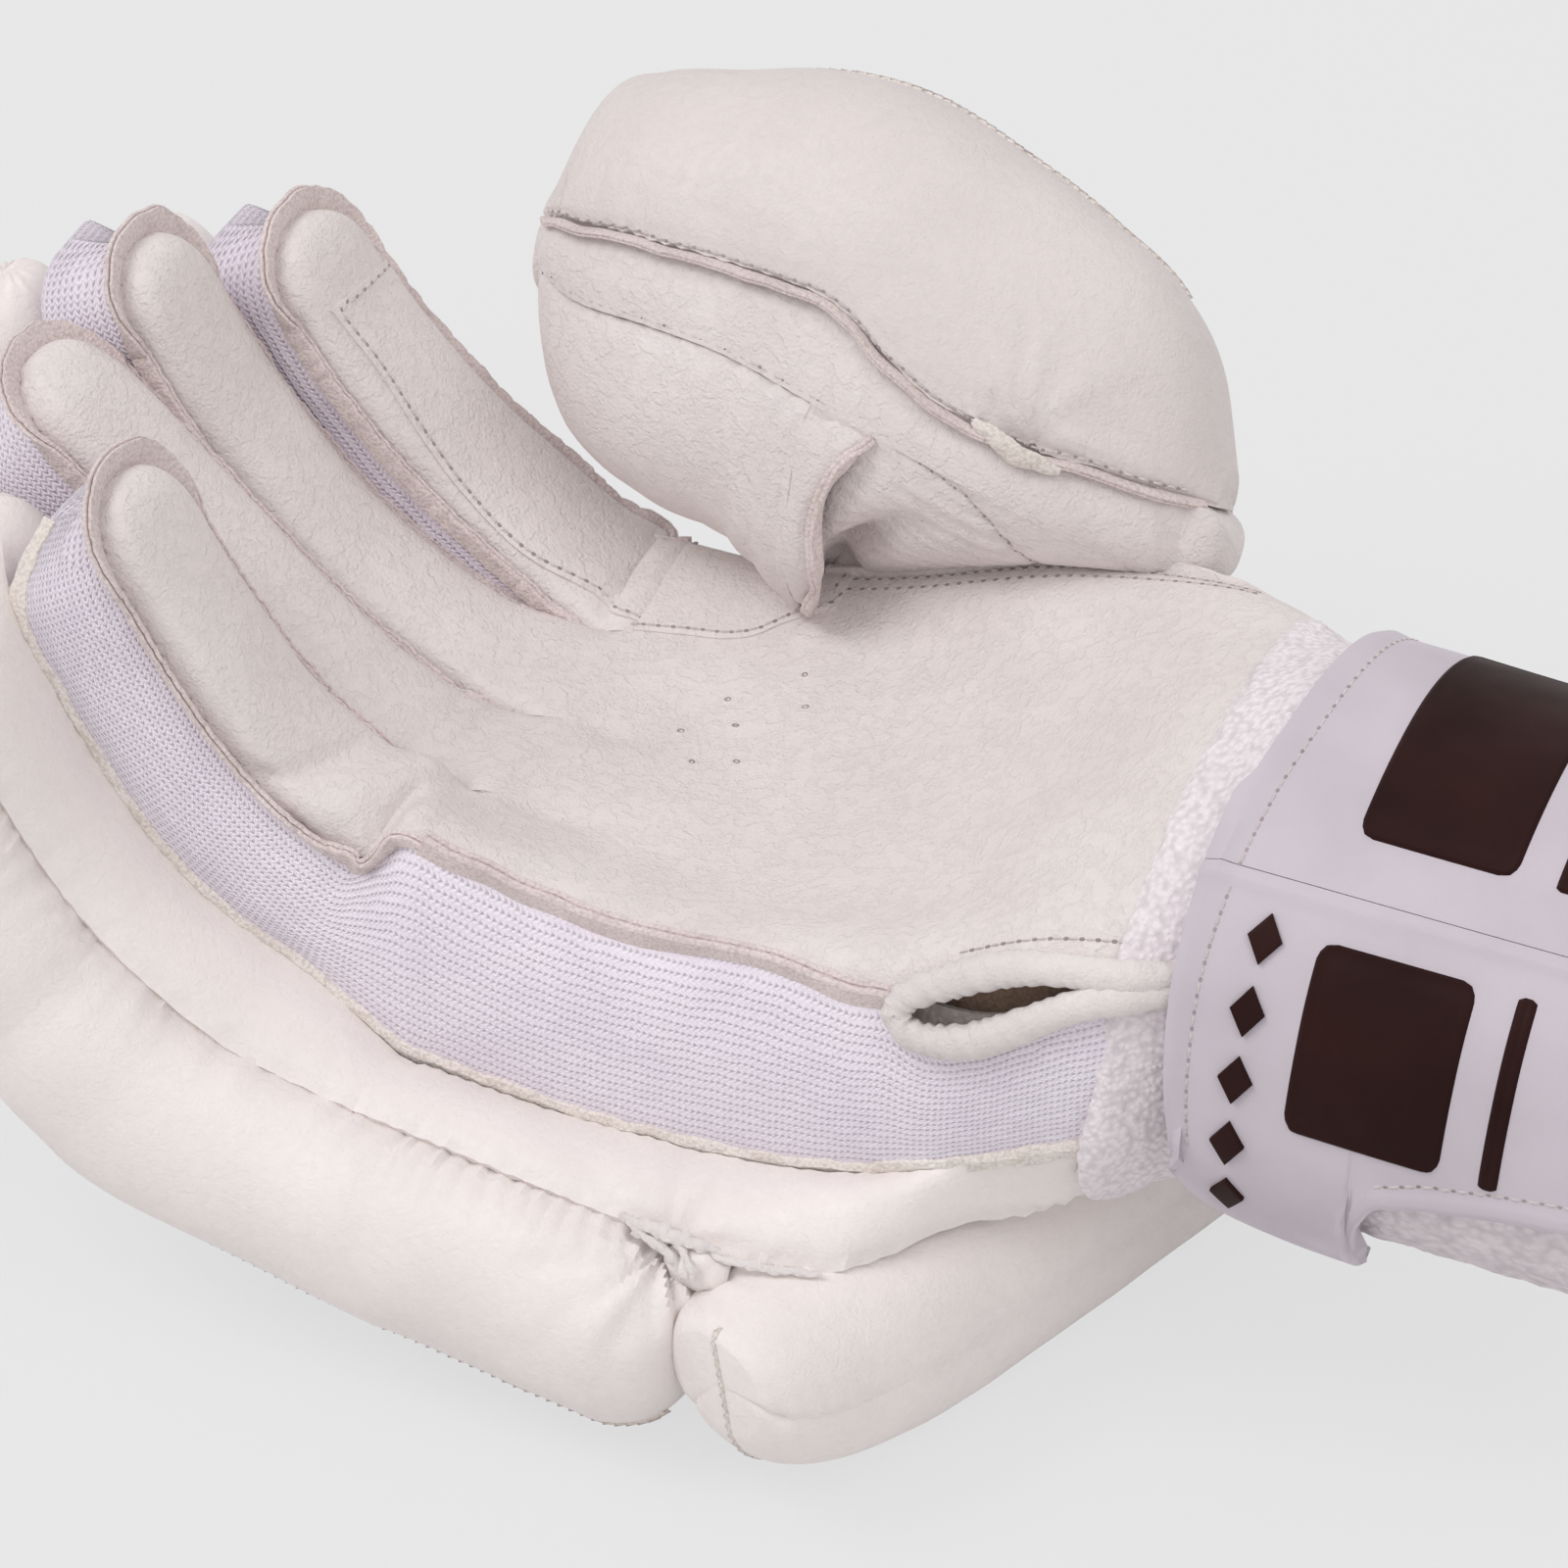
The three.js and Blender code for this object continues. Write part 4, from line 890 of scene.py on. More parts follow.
def stitchRun(name, path, normals, pitch=2.2, length=1.35, radius=0.24, lift=0.1, hole=0.3):
    # thread stitches along a path, each between two needle holes drawn as dark discs of painted shade
    spots = evenly(path, pitch)
    lengths = lengthsOf(path)
    places = np.linspace(0, lengths[-1], len(spots))
    normal = toUnit(readRows(places, lengths, normals))
    tangent = tangentsOf(spots)
    across = np.cross(normal, tangent)
    xs = np.array([-0.5, -0.36, 0, 0.36, 0.5]) * length
    sizes = np.array([0.25, 0.85, 1, 0.85, 0.25]) * radius
    angles = roundAngles(6)
    rise = lift - (2 * xs / length) ** 2 * radius * 0.9
    aside, upward = sizes[:, None] * np.cos(angles), rise[:, None] + sizes[:, None] * np.sin(angles)
    template = asPoints(xs[:, None], aside, upward).reshape(-1, 3)
    faces = gridFaces(5, 6, wrap=True).tolist() + [[5, 4, 3, 2, 1, 0], [24, 25, 26, 27, 28, 29]]
    # a disc of painted shade at each needle hole
    disc = np.stack([hole * 1.5 * np.cos(angles), hole * np.sin(angles), 0 * angles], -1)
    shift = np.array([pitch / 2, 0, -0.02])
    low, high = disc + shift, disc * 0.8 + shift + np.array([0, 0, 0.1])
    holes = np.concatenate([low, high])
    holeFaces = gridFaces(2, 6, 30, wrap=True).tolist() + [[35, 34, 33, 32, 31, 30], [36, 37, 38, 39, 40, 41]]
    template = np.concatenate([template, holes])
    unit = template.shape[0]
    points = (
        spots[:, None]
        + tangent[:, None] * template[None, :, :1]
        + across[:, None] * template[None, :, 1:2]
        + normal[:, None] * template[None, :, 2:]
    )
    allFaces, marks = [], []
    for k in range(len(spots)):
        allFaces += [[unit * k + v for v in face] for face in faces + holeFaces]
        marks += [0] * len(faces) + [1] * len(holeFaces)
    piece = buildMesh(name, points.reshape(-1, 3), allFaces, materials["thread"])
    piece.data.materials.append(materials["hole"])
    piece.data.polygons.foreach_set("material_index", marks)
    return piece


def rimSection(height, thick, seed, path, sink=rim["sink"]):
    # two raw edges side by side, a little uneven
    uneven = 1 + 0.1 * noise(path, 2.2, seed) + 0.08 * noise(path, 7, seed + 1)
    half, sink = thick / 2, sink + 0 * height
    profile = np.array(
        [
            (-1, None),
            (-1, 0.9),
            (-0.75, 1),
            (-0.2, 0.98),
            (0, 0.8),
            (0.2, 0.93),
            (0.75, 0.95),
            (1, 0.84),
            (1, None),
        ],
        object,
    )
    rows = []
    for k in range(len(path)):
        tall = height[k] * uneven[k]
        rows.append([(a * half, -sink[k] if b is None else b * tall) for a, b in profile])
    return np.array(rows, float)


def fingerRim(name):
    finger = fingers[name]
    grid, s, _ = panels[name]
    half = finger["length"] / 2
    first, second = (int(np.argmin(np.abs(s - (finger["x"] - x)))) for x in rim["starts"][name])
    path = np.concatenate([grid[first:, 0], grid[second:, -1][::-1]])
    reach = np.concatenate([s[first:], s[second:][::-1]])
    sides = np.concatenate([-np.ones(len(s) - first), np.ones(len(s) - second)])
    along = lengthsOf(path)
    dense = evenly(path, 0.9)
    places = np.linspace(0, along[-1], len(dense))
    side, reach = np.interp(places, along, sides), np.interp(places, along, reach)
    turning = int(np.argmax(reach))
    angle = fingerLine(finger, reach)[2]
    normal = np.stack([np.sin(angle), 0 * angle, np.cos(angle)], -1)
    outward = toUnit(np.cross(normal, tangentsOf(dense)))
    tipShare = ease((reach - (reach[turning] - 15)) / 12)
    free = np.where(side * {"index": 1, "little": -1}.get(name, 0) > 0, 1.0, 0.0)
    fromStart = np.minimum(places, places[-1] - places)
    ulnar = free * (name == "little")
    grow = np.where(ulnar > 0, 1, ease((fromStart + 1) / 14))
    out = mix(mix(0.12, mix(0.35, 0.75, ease((reach - 2) / 14)), free), 1.0, tipShare)
    rise = mix(mix(1.0, 0.8, free), 0.42, tipShare)
    height = mix(rim["side"] + 0.8 * free * ease((reach - 2) / 20), rim["tip"], tipShare) * mix(0.25, 1, grow)
    up = normal * rise[:, None] + outward * out[:, None]
    base = dense + outward * 0.55 - normal * 0.2
    section = rimSection(height, rim["thick"], 1, base, rim["sink"] + 3.2 * ulnar * ease((18 - reach) / 10))
    cut = half - 12
    a = int(np.argmin(np.abs(reach[:turning] - cut)))
    b = turning + int(np.argmin(np.abs(reach[turning:] - cut)))
    runs = [
        ("lower", "A", slice(0, a + 3)),
        ("upper", "", slice(a, b + 1)),
        ("lower", "B", slice(b - 2, None)),
    ]
    inner = base - outward * 0.9 + normal * 0.5
    tilt = normal * 0.8 - outward * 0.6
    for part, mark, run in runs:
        piece = bandPiece(
            f"{name}{part.title()}Rim{mark}", base[run], up[run], section[run], materials["rawEdge"]
        )
        attachFinger(piece, name, part, ())
        piece = stitchRun(
            f"{name}{part.title()}RimStitches{mark}", inner[run], tilt[run], pitch=1.9, radius=0.2
        )
        attachFinger(piece, name, part, ())


for name in fingers:
    fingerRim(name)


# knit round the back of each stall
gusset = {"step": 2.0, "columns": 44, "thickness": 1.6, "rootSink": 0.9}
for name, finger in fingers.items():
    half, length = finger["length"] / 2, finger["length"]
    leather, leatherAt, _ = panels[name]
    for part, start, end in (("lower", -7.0, half - 12), ("upper", half - 12, length - 0.6)):
        s = np.linspace(start, end, int((end - start) / gusset["step"]) + 2)
        tRange = np.linspace(3.02, 7.7 if (name, part) == ("little", "lower") else 8.98, gusset["columns"])
        grid = stallSurface(finger, s[:, None], tRange[None])
        grid = mix(grid, grid.mean(1, keepdims=True), 0.08 * ease(-s / 4)[:, None, None])
        normals = -normalsOf(grid)
        grid = grid + normals * (noise(grid, 6, 1) * 0.25)[..., None]
        if part == "upper":
            if name == "little":
                grid = grid + normals * (-0.7 * ease((tRange - 7.2) / 0.6))[None, :, None]
            closing, sink = ease((s - length + 18) / 6)[:, None], 0
        else:
            closing, sink = 0.9 * ease((6 - s) / 8)[:, None], gusset["rootSink"]
        for side, edge in (
            (np.arange(gusset["columns"]), leather[:, -1]),
            (np.arange(gusset["columns"])[::-1], leather[:, 0]),
        ):
            if (name, part) == ("little", "lower") and side[0] > 0:
                continue
            target = readRows(s, leatherAt, edge) - np.array([0, 0, sink])
            weight = closing * np.clip(1 - side / 12, 0, 1)[None] ** 1.5
            grid = grid + weight[..., None] * (target[:, None] - grid[:, side == 0])
        if part == "upper":
            tip = fingerPlace(finger, length - panel["short"][name] + 0.2, finger["y"], 3.4)
            grid = np.concatenate([grid, [mix(tip, grid[-1], k) for k in (0.8, 0.5, 0.25, 0.04)]])
            s = np.concatenate([s, length + np.array([1.0, 3.0, 5.0, 6.5])])
        across = lengthsOf(grid[len(s) // 2])
        weave = asPoints(s[:, None], across[None], 0 * s[:, None])
        piece = sheetPiece(
            f"{name}{part.title()}Gusset", grid, gusset["thickness"], materials["gusset"], weave, side=-1
        )
        attachFinger(piece, name, part, [f"{name}_{part}_knit_gusset"])
print("rims and gussets ready")

# the slit at the wrist
slit = {"start": 37.5, "half": 5.6, "closed": 0.8, "drop": 3.2}


def slitHalf(x):
    # a drop that narrows to the strap
    into = np.clip((np.asarray(x, float) - slit["start"]) / (hand["endX"] - slit["start"]), 0, 1)
    return 0.15 + slit["half"] * into**0.42 * (1 - slit["closed"] * ease((np.asarray(x, float) - 46) / 22))


def slitDrop(x):
    # how far the slit's tip lies below the palm's edge
    x = np.asarray(x, float)
    return slit["drop"] * ease((x - 12) / 24) * (1 - ease((x - 39) / 26))


def outlineStep(x, t, length):
    # t moved along the outline by a length
    rate = np.linalg.norm(handPoint(x, t + 1e-3) - handPoint(x, t - 1e-3), axis=-1) / 2e-3
    return t + length / rate


palmPart = {"startX": -34, "columns": 90, "step": 1.25, "thickness": 1.3}
xs = np.linspace(palmPart["startX"], hand["endX"], int(100 / palmPart["step"]))
tStart = outlineStep(xs, np.zeros_like(xs), slitHalf(xs) - slitDrop(xs))
share = np.linspace(0, 1, palmPart["columns"])
palmXs = xs
palmT = mix(tStart[:, None], outlineStep(xs, np.full_like(xs, 4.0), -0.2)[:, None], share[None])
palmGrid = handPoint(xs[:, None], palmT)
palmNormals = normalsOf(palmGrid)


def readGrid(grid, row, column):
    # place on a grid of points, also between its rows and columns
    row, column = matched(row, column)
    i = np.clip(row.astype(int), 0, grid.shape[0] - 2)
    j = np.clip(column.astype(int), 0, grid.shape[1] - 2)
    f, g = (row - i)[..., None], (column - j)[..., None]
    return mix(mix(grid[i, j], grid[i, j + 1], g), mix(grid[i + 1, j], grid[i + 1, j + 1], g), f)


def onLeather(x, t, lift=0.0):
    # points that lie on the palm's leather itself, with their normals
    x, t = matched(x, t)
    first, last = (np.interp(x, palmXs, palmT[:, k]) for k in (0, -1))
    row = (x - palmXs[0]) / (palmXs[-1] - palmXs[0]) * (len(palmXs) - 1)
    column = (t - first) / (last - first) * (palmPart["columns"] - 1)
    normal = toUnit(readGrid(palmNormals, row, column))
    return readGrid(palmGrid, row, column) + normal * lift, normal


def onPalm(pairs, step=1.0, lift=0.0):
    # points on the palm through (x, y) pairs, with their normals
    pairs = evenly(refine(np.array([(x, y, 0) for x, y in pairs], float), 60), step)
    t = handAtY(pairs[:, 0], pairs[:, 1])
    normal = handNormal(pairs[:, 0], t, 0.1)
    return handPoint(pairs[:, 0], t) + normal * lift, normal


# soft folds where the fingers bend into the palm and at the little finger's root
folds = {
    "lines": [
        ([(-34, -22), (-25, -21), (-15, -20)], 0.9, 2.6),
        ([(-34, 0), (-26, 1), (-18, 2)], 0.6, 2.6),
    ],
    "swells": [((-14, -10, 14), 0.7, 9)],
}
offset = noise(palmGrid, 22, 1) * 0.45
for pairs, depth, width in folds["lines"]:
    path, _ = onPalm(pairs)
    distance, along = nearPath(palmGrid, path)
    offset = offset - depth * bell(distance, width) * ease((1 - along) * 2.5) * ease(along * 4 + 0.3)
for centre, height, width in folds["swells"]:
    offset = offset + height * bell(np.linalg.norm(palmGrid - np.array(centre), axis=-1), width)
dented = leatherDents(palmGrid, palmNormals, 0.5) + palmNormals * offset[..., None]
palmGrid = mix(palmGrid, dented, ease((palmGrid[..., :1] - palmPart["startX"]) / 6))
palmLeather = sheetPiece("palmLeather", palmGrid, palmPart["thickness"], materials["palm"])
ridePiece(palmLeather, "palm", ["palm_leather"])

# small holes in the middle of the palm
holes = {
    "spots": [(-18.5, 5.5), (-15, 14), (-6, 21), (-14, -0.5), (-8, 1.6), (-11.5, 9), (-3, 14.5)],
    "size": 0.75,
    "depth": 0.5,
}
rings = []
parts = []
for k, (x, y) in enumerate(holes["spots"]):
    point, normal = onPalm([(x - 0.5, y), (x + 0.5, y)])
    point, normal = point.mean(0), normal.mean(0)
    gridPoint = palmGrid.reshape(-1, 3)[
        np.argmin(np.linalg.norm(palmGrid.reshape(-1, 3)[:, :2] - point[:2], axis=1))
    ]
    point = point + normal * np.dot(gridPoint - point, normal)
    sideways = np.cross(normal, (1, 0, 0))
    sideways /= np.linalg.norm(sideways)
    forward = np.cross(sideways, normal)
    angles = roundAngles(12)
    made = []
    for radius, rise in ((1.55, -0.05), (1.25, 0.13), (1.0, 0.1), (0.75, 0.04)):
        size = holes["size"] * radius * (1 + 0.12 * np.sin(angles * 2 + k))
        circle = sideways * np.cos(angles)[:, None] * 0.8 + forward * np.sin(angles)[:, None]
        made.append(point + circle * size[:, None] + normal * rise)
    made.append(np.repeat((point - normal * 0.02)[None], 12, 0) + 0.02 * (made[0] - point))
    lip = loftPiece(f"palmHole{k}", np.array(made), materials["palm"], sharp=70)
    # the hole's floor takes the dark needle-hole colour as painted shade
    lip.data.materials.append(materials["hole"])
    flat = [face.index for face in lip.data.polygons if face.index >= 36]
    for index in flat:
        lip.data.polygons[index].material_index = 1
    parts.append(lip)
ridePiece(joinPieces("palmHoles", parts), "palm", ())

# patch over the palm at the thumb's side, and the patch along the index finger
patch = {
    "lineX": [-34, -26.6, -20, -16.5, -13.6, -6.7],
    "lineY": [22.3, 24.4, 25.6, 27.2, 29.7, 33.2],
    "lift": 0.5,
    "thickness": 0.9,
    "columns": 26,
    "stitchIn": 1.1,
    "indexS": [-9, 5.7, 18, 30.3, 42.6, 54.9, 66],
    "indexShare": [-0.5, -0.44, -0.62, -0.58, -0.47, -0.36, -0.41],
    "indexTop": (66, 63.5),
    "indexEdge": 0.93,
}
xs = np.linspace(patch["lineX"][0] + 0.1, patch["lineX"][-1], 38)
lineT = handAtY(xs, smoothAt(patch["lineX"], patch["lineY"], xs))
edgeT = outlineStep(xs, np.full_like(xs, 4.0), -0.6)
grid, _ = onLeather(
    xs[:, None],
    mix(lineT[:, None], edgeT[:, None], np.linspace(0, 1, patch["columns"])[None]),
    patch["lift"],
)
piece = sheetPiece("palmPatch", grid, patch["thickness"], materials["patch"], roundEdge=0.22)
ridePiece(piece, "palm", ["palm_patch"])
inner = outlineStep(xs, lineT, patch["stitchIn"])
end = np.linspace(inner[-1], edgeT[-1], 8)[1:]
points, normal = onLeather(
    np.concatenate([xs, np.full(7, xs[-1] - patch["stitchIn"])]),
    np.concatenate([inner, end]),
    patch["lift"],
)
ridePiece(stitchRun("palmPatchStitches", points, normal, pitch=2.2, radius=0.2), "palm", ())

grid, s, normals = panels["index"]
rows = np.linspace(0, 1, 70)
shares = np.linspace(0, 1, 20)
topS = mix(*patch["indexTop"], shares)
length = mix(float(patch["indexS"][0]), topS[None], rows[:, None])
low = smoothAt(patch["indexS"], patch["indexShare"], length)
across = mix(low, patch["indexEdge"], shares[None])
rowAt, columnAt = np.interp(length, s, np.arange(len(s))), (across + 1) / 2 * (panel["columns"] - 1)
facing = toUnit(readGrid(normals, rowAt, columnAt))
patchGrid = readGrid(grid, rowAt, columnAt) + facing * (patch["lift"] * ease((length + 9) / 3))[..., None]
cut = int(np.argmin(np.abs(length[:, 8] - (fingers["index"]["length"] / 2 - 12))))
for part, run in (("lower", slice(0, cut + 1)), ("upper", slice(cut, None))):
    piece = sheetPiece(
        f"index{part.title()}Patch",
        patchGrid[run],
        patch["thickness"],
        materials["patch"],
        roundEdge=0.0,
        side=-1,
    )
    attachFinger(piece, "index", part, ["index_patch"] if part == "upper" else ())
    line = patchGrid[run, 1]
    lineNormal = facing[run, 1]
    if part == "upper":
        line = np.concatenate([line[:-1], patchGrid[-2, 1:-2]])
        lineNormal = np.concatenate([lineNormal[:-1], facing[-2, 1:-2]])
    piece = stitchRun(f"index{part.title()}PatchStitches", line, lineNormal, pitch=2.2, radius=0.22)
    attachFinger(piece, "index", part, ())
print("palm and patches ready")

# knit on the little-finger edge, one run over hand and finger, with rows that follow it
ulnar = {
    "handT": (10, 9.84, 9.6, 9.36, 9.12, 9.0),
    "fingerT": (9, 8.78, 8.42, 8.06, 7.7, 7.45),
    "thickness": 1.6,
    "columns": 22,
    "step": 1.6,
}
little = fingers["little"]
handStops = np.linspace(hand["endX"], -36, 18)
fingerStops = np.linspace(3.5, little["length"] - 1, 11)


def runRows(handRow, fingerRow):
    # control rows from the wrist to the tip of the little finger
    return np.array([handRow(x) for x in handStops] + [fingerRow(s) for s in fingerStops])


runLengths = np.concatenate([handStops, little["x"] - fingerStops])


def fineRows(rows, step):
    # even steps along a run; returns the grid and where each row lies, wrist end first
    count = int(abs(runLengths[0] - runLengths[-1]) / step)
    index = np.interp(
        -np.linspace(runLengths[0], runLengths[-1], count), -runLengths, np.arange(len(runLengths))
    )
    lengths = np.interp(index, np.arange(len(runLengths)), runLengths)
    return smoothAt(np.arange(len(rows)), rows, index), lengths


kneeStop = little["x"] - (little["length"] / 2 - 12)
rootStop = -35.0


def splitRun(where):
    # index runs of the hand, the finger's lower part and its upper part
    root = int(np.argmin(np.abs(where - rootStop)))
    knee = int(np.argmin(np.abs(where - kneeStop)))
    return {"hand": slice(0, root + 1), "lower": slice(root, knee + 1), "upper": slice(knee, None)}


def placeRun(piece, part, nodes=()):
    if part == "hand":
        ridePiece(piece, "palm", nodes)
    else:
        attachFinger(piece, "little", part, nodes)


def ulnarHand(x):
    top = float(outlineStep(np.array(x), np.array(10.0), -slitHalf(x) - slitDrop(x)))
    ts = np.array(ulnar["handT"])
    ts = 9 + (ts - 9) * (top - 9)
    return handPoint(np.full(len(ts), x), ts)


knitRows = runRows(ulnarHand, lambda s: stallSurface(little, s, np.array(ulnar["fingerT"])))
knitGrid, knitAt = fineRows(knitRows, ulnar["step"])
knitGrid = refine(knitGrid, ulnar["columns"], 1)
knitNormals = normalsFacing(knitGrid, (5, 10), (0, -1, 0))
shareAcross = np.linspace(0, 1, ulnar["columns"])
swell = np.sin(np.pi * shareAcross)[None] * 0.9 + noise(knitGrid, 20, 2) * 0.6 + noise(knitGrid, 8, 1) * 0.2
knitGrid = knitGrid + knitNormals * swell[..., None]
lengths = lengthsOf(knitGrid[len(knitGrid) // 2])
along = lengthsOf(knitGrid[:, 8])
knitWeave = asPoints(along[:, None], lengths[None], 0 * along[:, None])
knitRuns = splitRun(knitAt)
knitSide = sideOf(knitGrid, knitNormals, (5, 10))
for part, run in knitRuns.items():
    piece = sheetPiece(
        f"ulnarKnit{part.title()}",
        knitGrid[run],
        ulnar["thickness"],
        materials["knit"],
        knitWeave[run],
        side=knitSide,
    )
    placeRun(piece, part, ["ulnar_knit"] if part == "hand" else ())

# raised seam where the palm's leather meets that knit
ridge = {"height": 3.0, "thick": 2.2}
run = knitRuns["hand"]
kept = knitAt[run] < 37
path, outward = knitGrid[run, 0][kept], knitNormals[run, 0][kept]
up = outward * 0.35 + np.array([0, 0, 1.0])
nearRoot = ease((path[:, :1] + 35) / 12)
wave = noise(path, 6, 1)[:, None] * 0.5 * outward * nearRoot
base = path + wave + mix(np.array([[0, -0.5, -0.1]]), np.array([[0, 0.7, 0.2]]), nearRoot)
section = rimSection(
    np.full(len(path), ridge["height"]) * (1 + 0.15 * noise(path, 9, 2)), ridge["thick"], 2, base
)
ridePiece(bandPiece("ulnarRidge", base, up, section, materials["rawEdge"]), "palm", ())

# leather flank and heel between that knit and the rolls
outer = {
    "y": -66.2,
    "half": 15.4,
    "depth": 32,
    "rootDepth": 30.5,
    "tipDepth": 23.5,
    "seat": 1,
    "endX": 19,
    "endZ": -16,
}
flank = {
    "thickness": 1.3,
    "columns": 24,
    "bulge": 1.8,
    "step": 1.3,
    "edgeX": [-35, 12, 20, 30, 38, 43, 48, 53, 60, 66],
    "edgeY": [-66.2, -67, -66.8, -65, -62.5, -56, -49, -45.5, -43, -41],
    "heel": [
        (35, -44.5, -10),
        (38, -46.5, -13),
        (43, -47.6, -13),
        (53.3, -44.2, -13),
        (62.8, -42, -13),
        (66, -41, -13),
    ],
}


def outerTop(where):
    # height of the outer roll's top: in z over the hand, in h along the finger
    share = np.clip((where - little["x"]) / (outer["endX"] - little["x"]), 0, 1.35)
    return mix(little["z"] - stall["back"] + outer["seat"], outer["endZ"], share)


def outerTopFinger(s):
    return outer["seat"] - stall["back"] * mix(1, stall["tipBack"], s / little["length"])


def flankHand(x):
    low = handPoint(x, 9.0) + np.array([0, -1.4, 0.3])
    y = float(smoothAt(flank["edgeX"], flank["edgeY"], x))
    top = outerTop(np.array(min(x, 18.0))) + 1.1
    shares = np.linspace(0, 1, 6)
    edge = mix(
        np.array([x, y, top]), handPoint(x, 8.5) + np.array([0, -1.0, -0.6]), float(ease((x - 55) / 12))
    )
    points = mix(low, edge, shares[:, None])
    full = flank["bulge"] + 1.6 * math.exp(-(((x - 34) / 11) ** 2)) - 1.2 * float(ease((x - 50) / 12))
    points[:, 2] += full * np.sin(np.pi * shares)
    return points


def flankFinger(s):
    y, h = stallPoint(little, s, 7.45)
    shares = np.linspace(0, 1, 6)
    ys = mix(y - 0.6, outer["y"], shares)
    hs = mix(h, outerTopFinger(s) + 1.1, shares) + flank["bulge"] * np.sin(np.pi * shares)
    hs = hs - 11 * np.clip((s - little["length"] + 12) / 12, 0, 1) ** 2
    return fingerPlace(little, s, ys, hs)


flankGrid, flankAt = fineRows(runRows(flankHand, flankFinger), flank["step"])
flankGrid = refine(flankGrid, flank["columns"], 1)
flankNormals = normalsFacing(flankGrid, (20, 8), (0, 0, 1))
flankSide = sideOf(flankGrid, flankNormals, (20, 8))
column = np.arange(flank["columns"])
outerNear = bell(flank["columns"] - 1 - column, 4.5)[None]
innerNear = bell(column, 2.5)[None]
pleats = np.sin(flankAt[:, None] * 2.1 + 4 * noise(flankGrid, 7, 1)) * (0.32 * outerNear + 0.12 * innerNear)
roll = -0.9 * outerNear**3
knot = {"at": np.array([13.0, -68.0, -14.0]), "reach": 17}


def knotPuckers(points, centre, reach, count, depth, seed=0):
    # creases that run into a gathered spot
    offset = points - centre
    distance = np.linalg.norm(offset, axis=-1)
    angle = np.arctan2(offset[..., 0], offset[..., 1] + 0.4 * offset[..., 2])
    wave = np.sin(angle * count + 2.5 * noise(points, 9, seed)) * 0.7
    wave = wave + np.sin(angle * count * 1.7 + 1.3) * 0.3
    fade = bell(distance, reach)
    return wave * depth * fade * ease(distance / 3) - 1.6 * depth * bell(distance, 4.5)


heelLine, _ = nearPath(flankGrid, evenly(refine(np.array(flank["heel"], float), 40), 1.0))
offset = (
    pleats
    + roll
    + knotPuckers(flankGrid, knot["at"], knot["reach"], 8, 0.5)
    - 0.9 * bell(heelLine, 0.9)
)
flankGrid = leatherDents(flankGrid, flankNormals, 0.7) + flankNormals * offset[..., None]
for part, run in splitRun(flankAt).items():
    piece = sheetPiece(
        f"flank{part.title()}", flankGrid[run], flank["thickness"], materials["roll"], side=flankSide
    )
    placeRun(
        piece, part, ["flank_hand", "heel_panel"] if part == "hand" else [f"flank_{part}"]
    )

# fuzzy cream seam between the knit and the flank
seamRow = {"height": 0.8, "thick": 3.4}
knitLow = knitGrid[:, -1]
for part, run in splitRun(knitAt).items():
    path = evenly(knitLow[run], 1.2)
    places = np.linspace(0, 1, len(path))
    normal = readRows(places, np.linspace(0, 1, len(knitLow[run])), knitNormals[run, -1])
    path = path + noise(path, 4, 1)[:, None] * np.array([0, 0.15, 0.35]) + normal * 0.5
    uneven = 1 + 0.25 * noise(path, 2, 2) + 0.15 * noise(path, 6, 0)
    half = seamRow["thick"] / 2 * uneven
    tall = seamRow["height"] * (1 + 0.3 * noise(path, 1.7, 1))
    profile = [(-1, -0.6), (-0.95, 0.3), (-0.5, 0.9), (0, 0.75), (0.45, 1), (0.9, 0.5), (1, -0.6)]
    section = np.array([[(a * half[k], b * tall[k]) for a, b in profile] for k in range(len(path))])
    piece = bandPiece(f"knitSeam{part.title()}", path, normal, section, materials["creamEdge"])
    placeRun(piece, part, ())
print("edge of the hand ready")


# rolls
def squareRing(angles, power):
    c, s = np.cos(angles), np.sin(angles)
    factor = (np.abs(c) ** power + np.abs(s) ** power) ** (-1 / power)
    return c * factor, s * factor


def crownAt(a, ends, power):
    edge = np.where(a < 0.5, ends[0], ends[1])
    return np.where(edge, np.maximum(0, 1 - np.abs(2 * a - 1) ** power) ** (1 / power), 1.0)


def paddedRings(roll):
    # rings of a roll: a along it, angle round it with its top at a quarter turn
    ends = roll.get("ends", (True, True))
    power = roll.get("crown", 2.6)
    count, around = roll.get("rings", 60), roll.get("around", 56)
    even = np.linspace(0, 1, count)
    eased = (1 - np.cos(np.pi * even)) / 2
    a = mix(0.004 if ends[0] else 0, 0.996 if ends[1] else 1, eased if all(ends) else even)
    if ends[1] and not ends[0]:
        a = mix(0, 0.997, np.sin(np.pi / 2 * even))
    angles = roundAngles(around)
    c, s = squareRing(angles, roll.get("square", 2.6))
    size = crownAt(a, ends, power)[:, None]
    top, bottom = (np.broadcast_to(roll[key](a), a.shape)[:, None] for key in ("top", "bottom"))
    half = (top - bottom) / 2
    middle = top - half * mix(roll.get("pole", 0.55), 1, size)
    y = roll["y"] + roll["half"] * size * c
    h = middle + half * size * s
    u = mix(roll["start"](h), roll["end"](h), a[:, None] + 0 * h)
    return roll["place"](u, y, h), a, angles, u


def ringNormals(rings):
    du = np.gradient(rings, axis=0)
    dv = np.roll(rings, -1, 1) - np.roll(rings, 1, 1)
    normal = toUnit(np.cross(du, dv))
    centre = rings.mean(1, keepdims=True)
    if ((rings - centre) * normal).sum() < 0:
        normal = -normal
    return normal


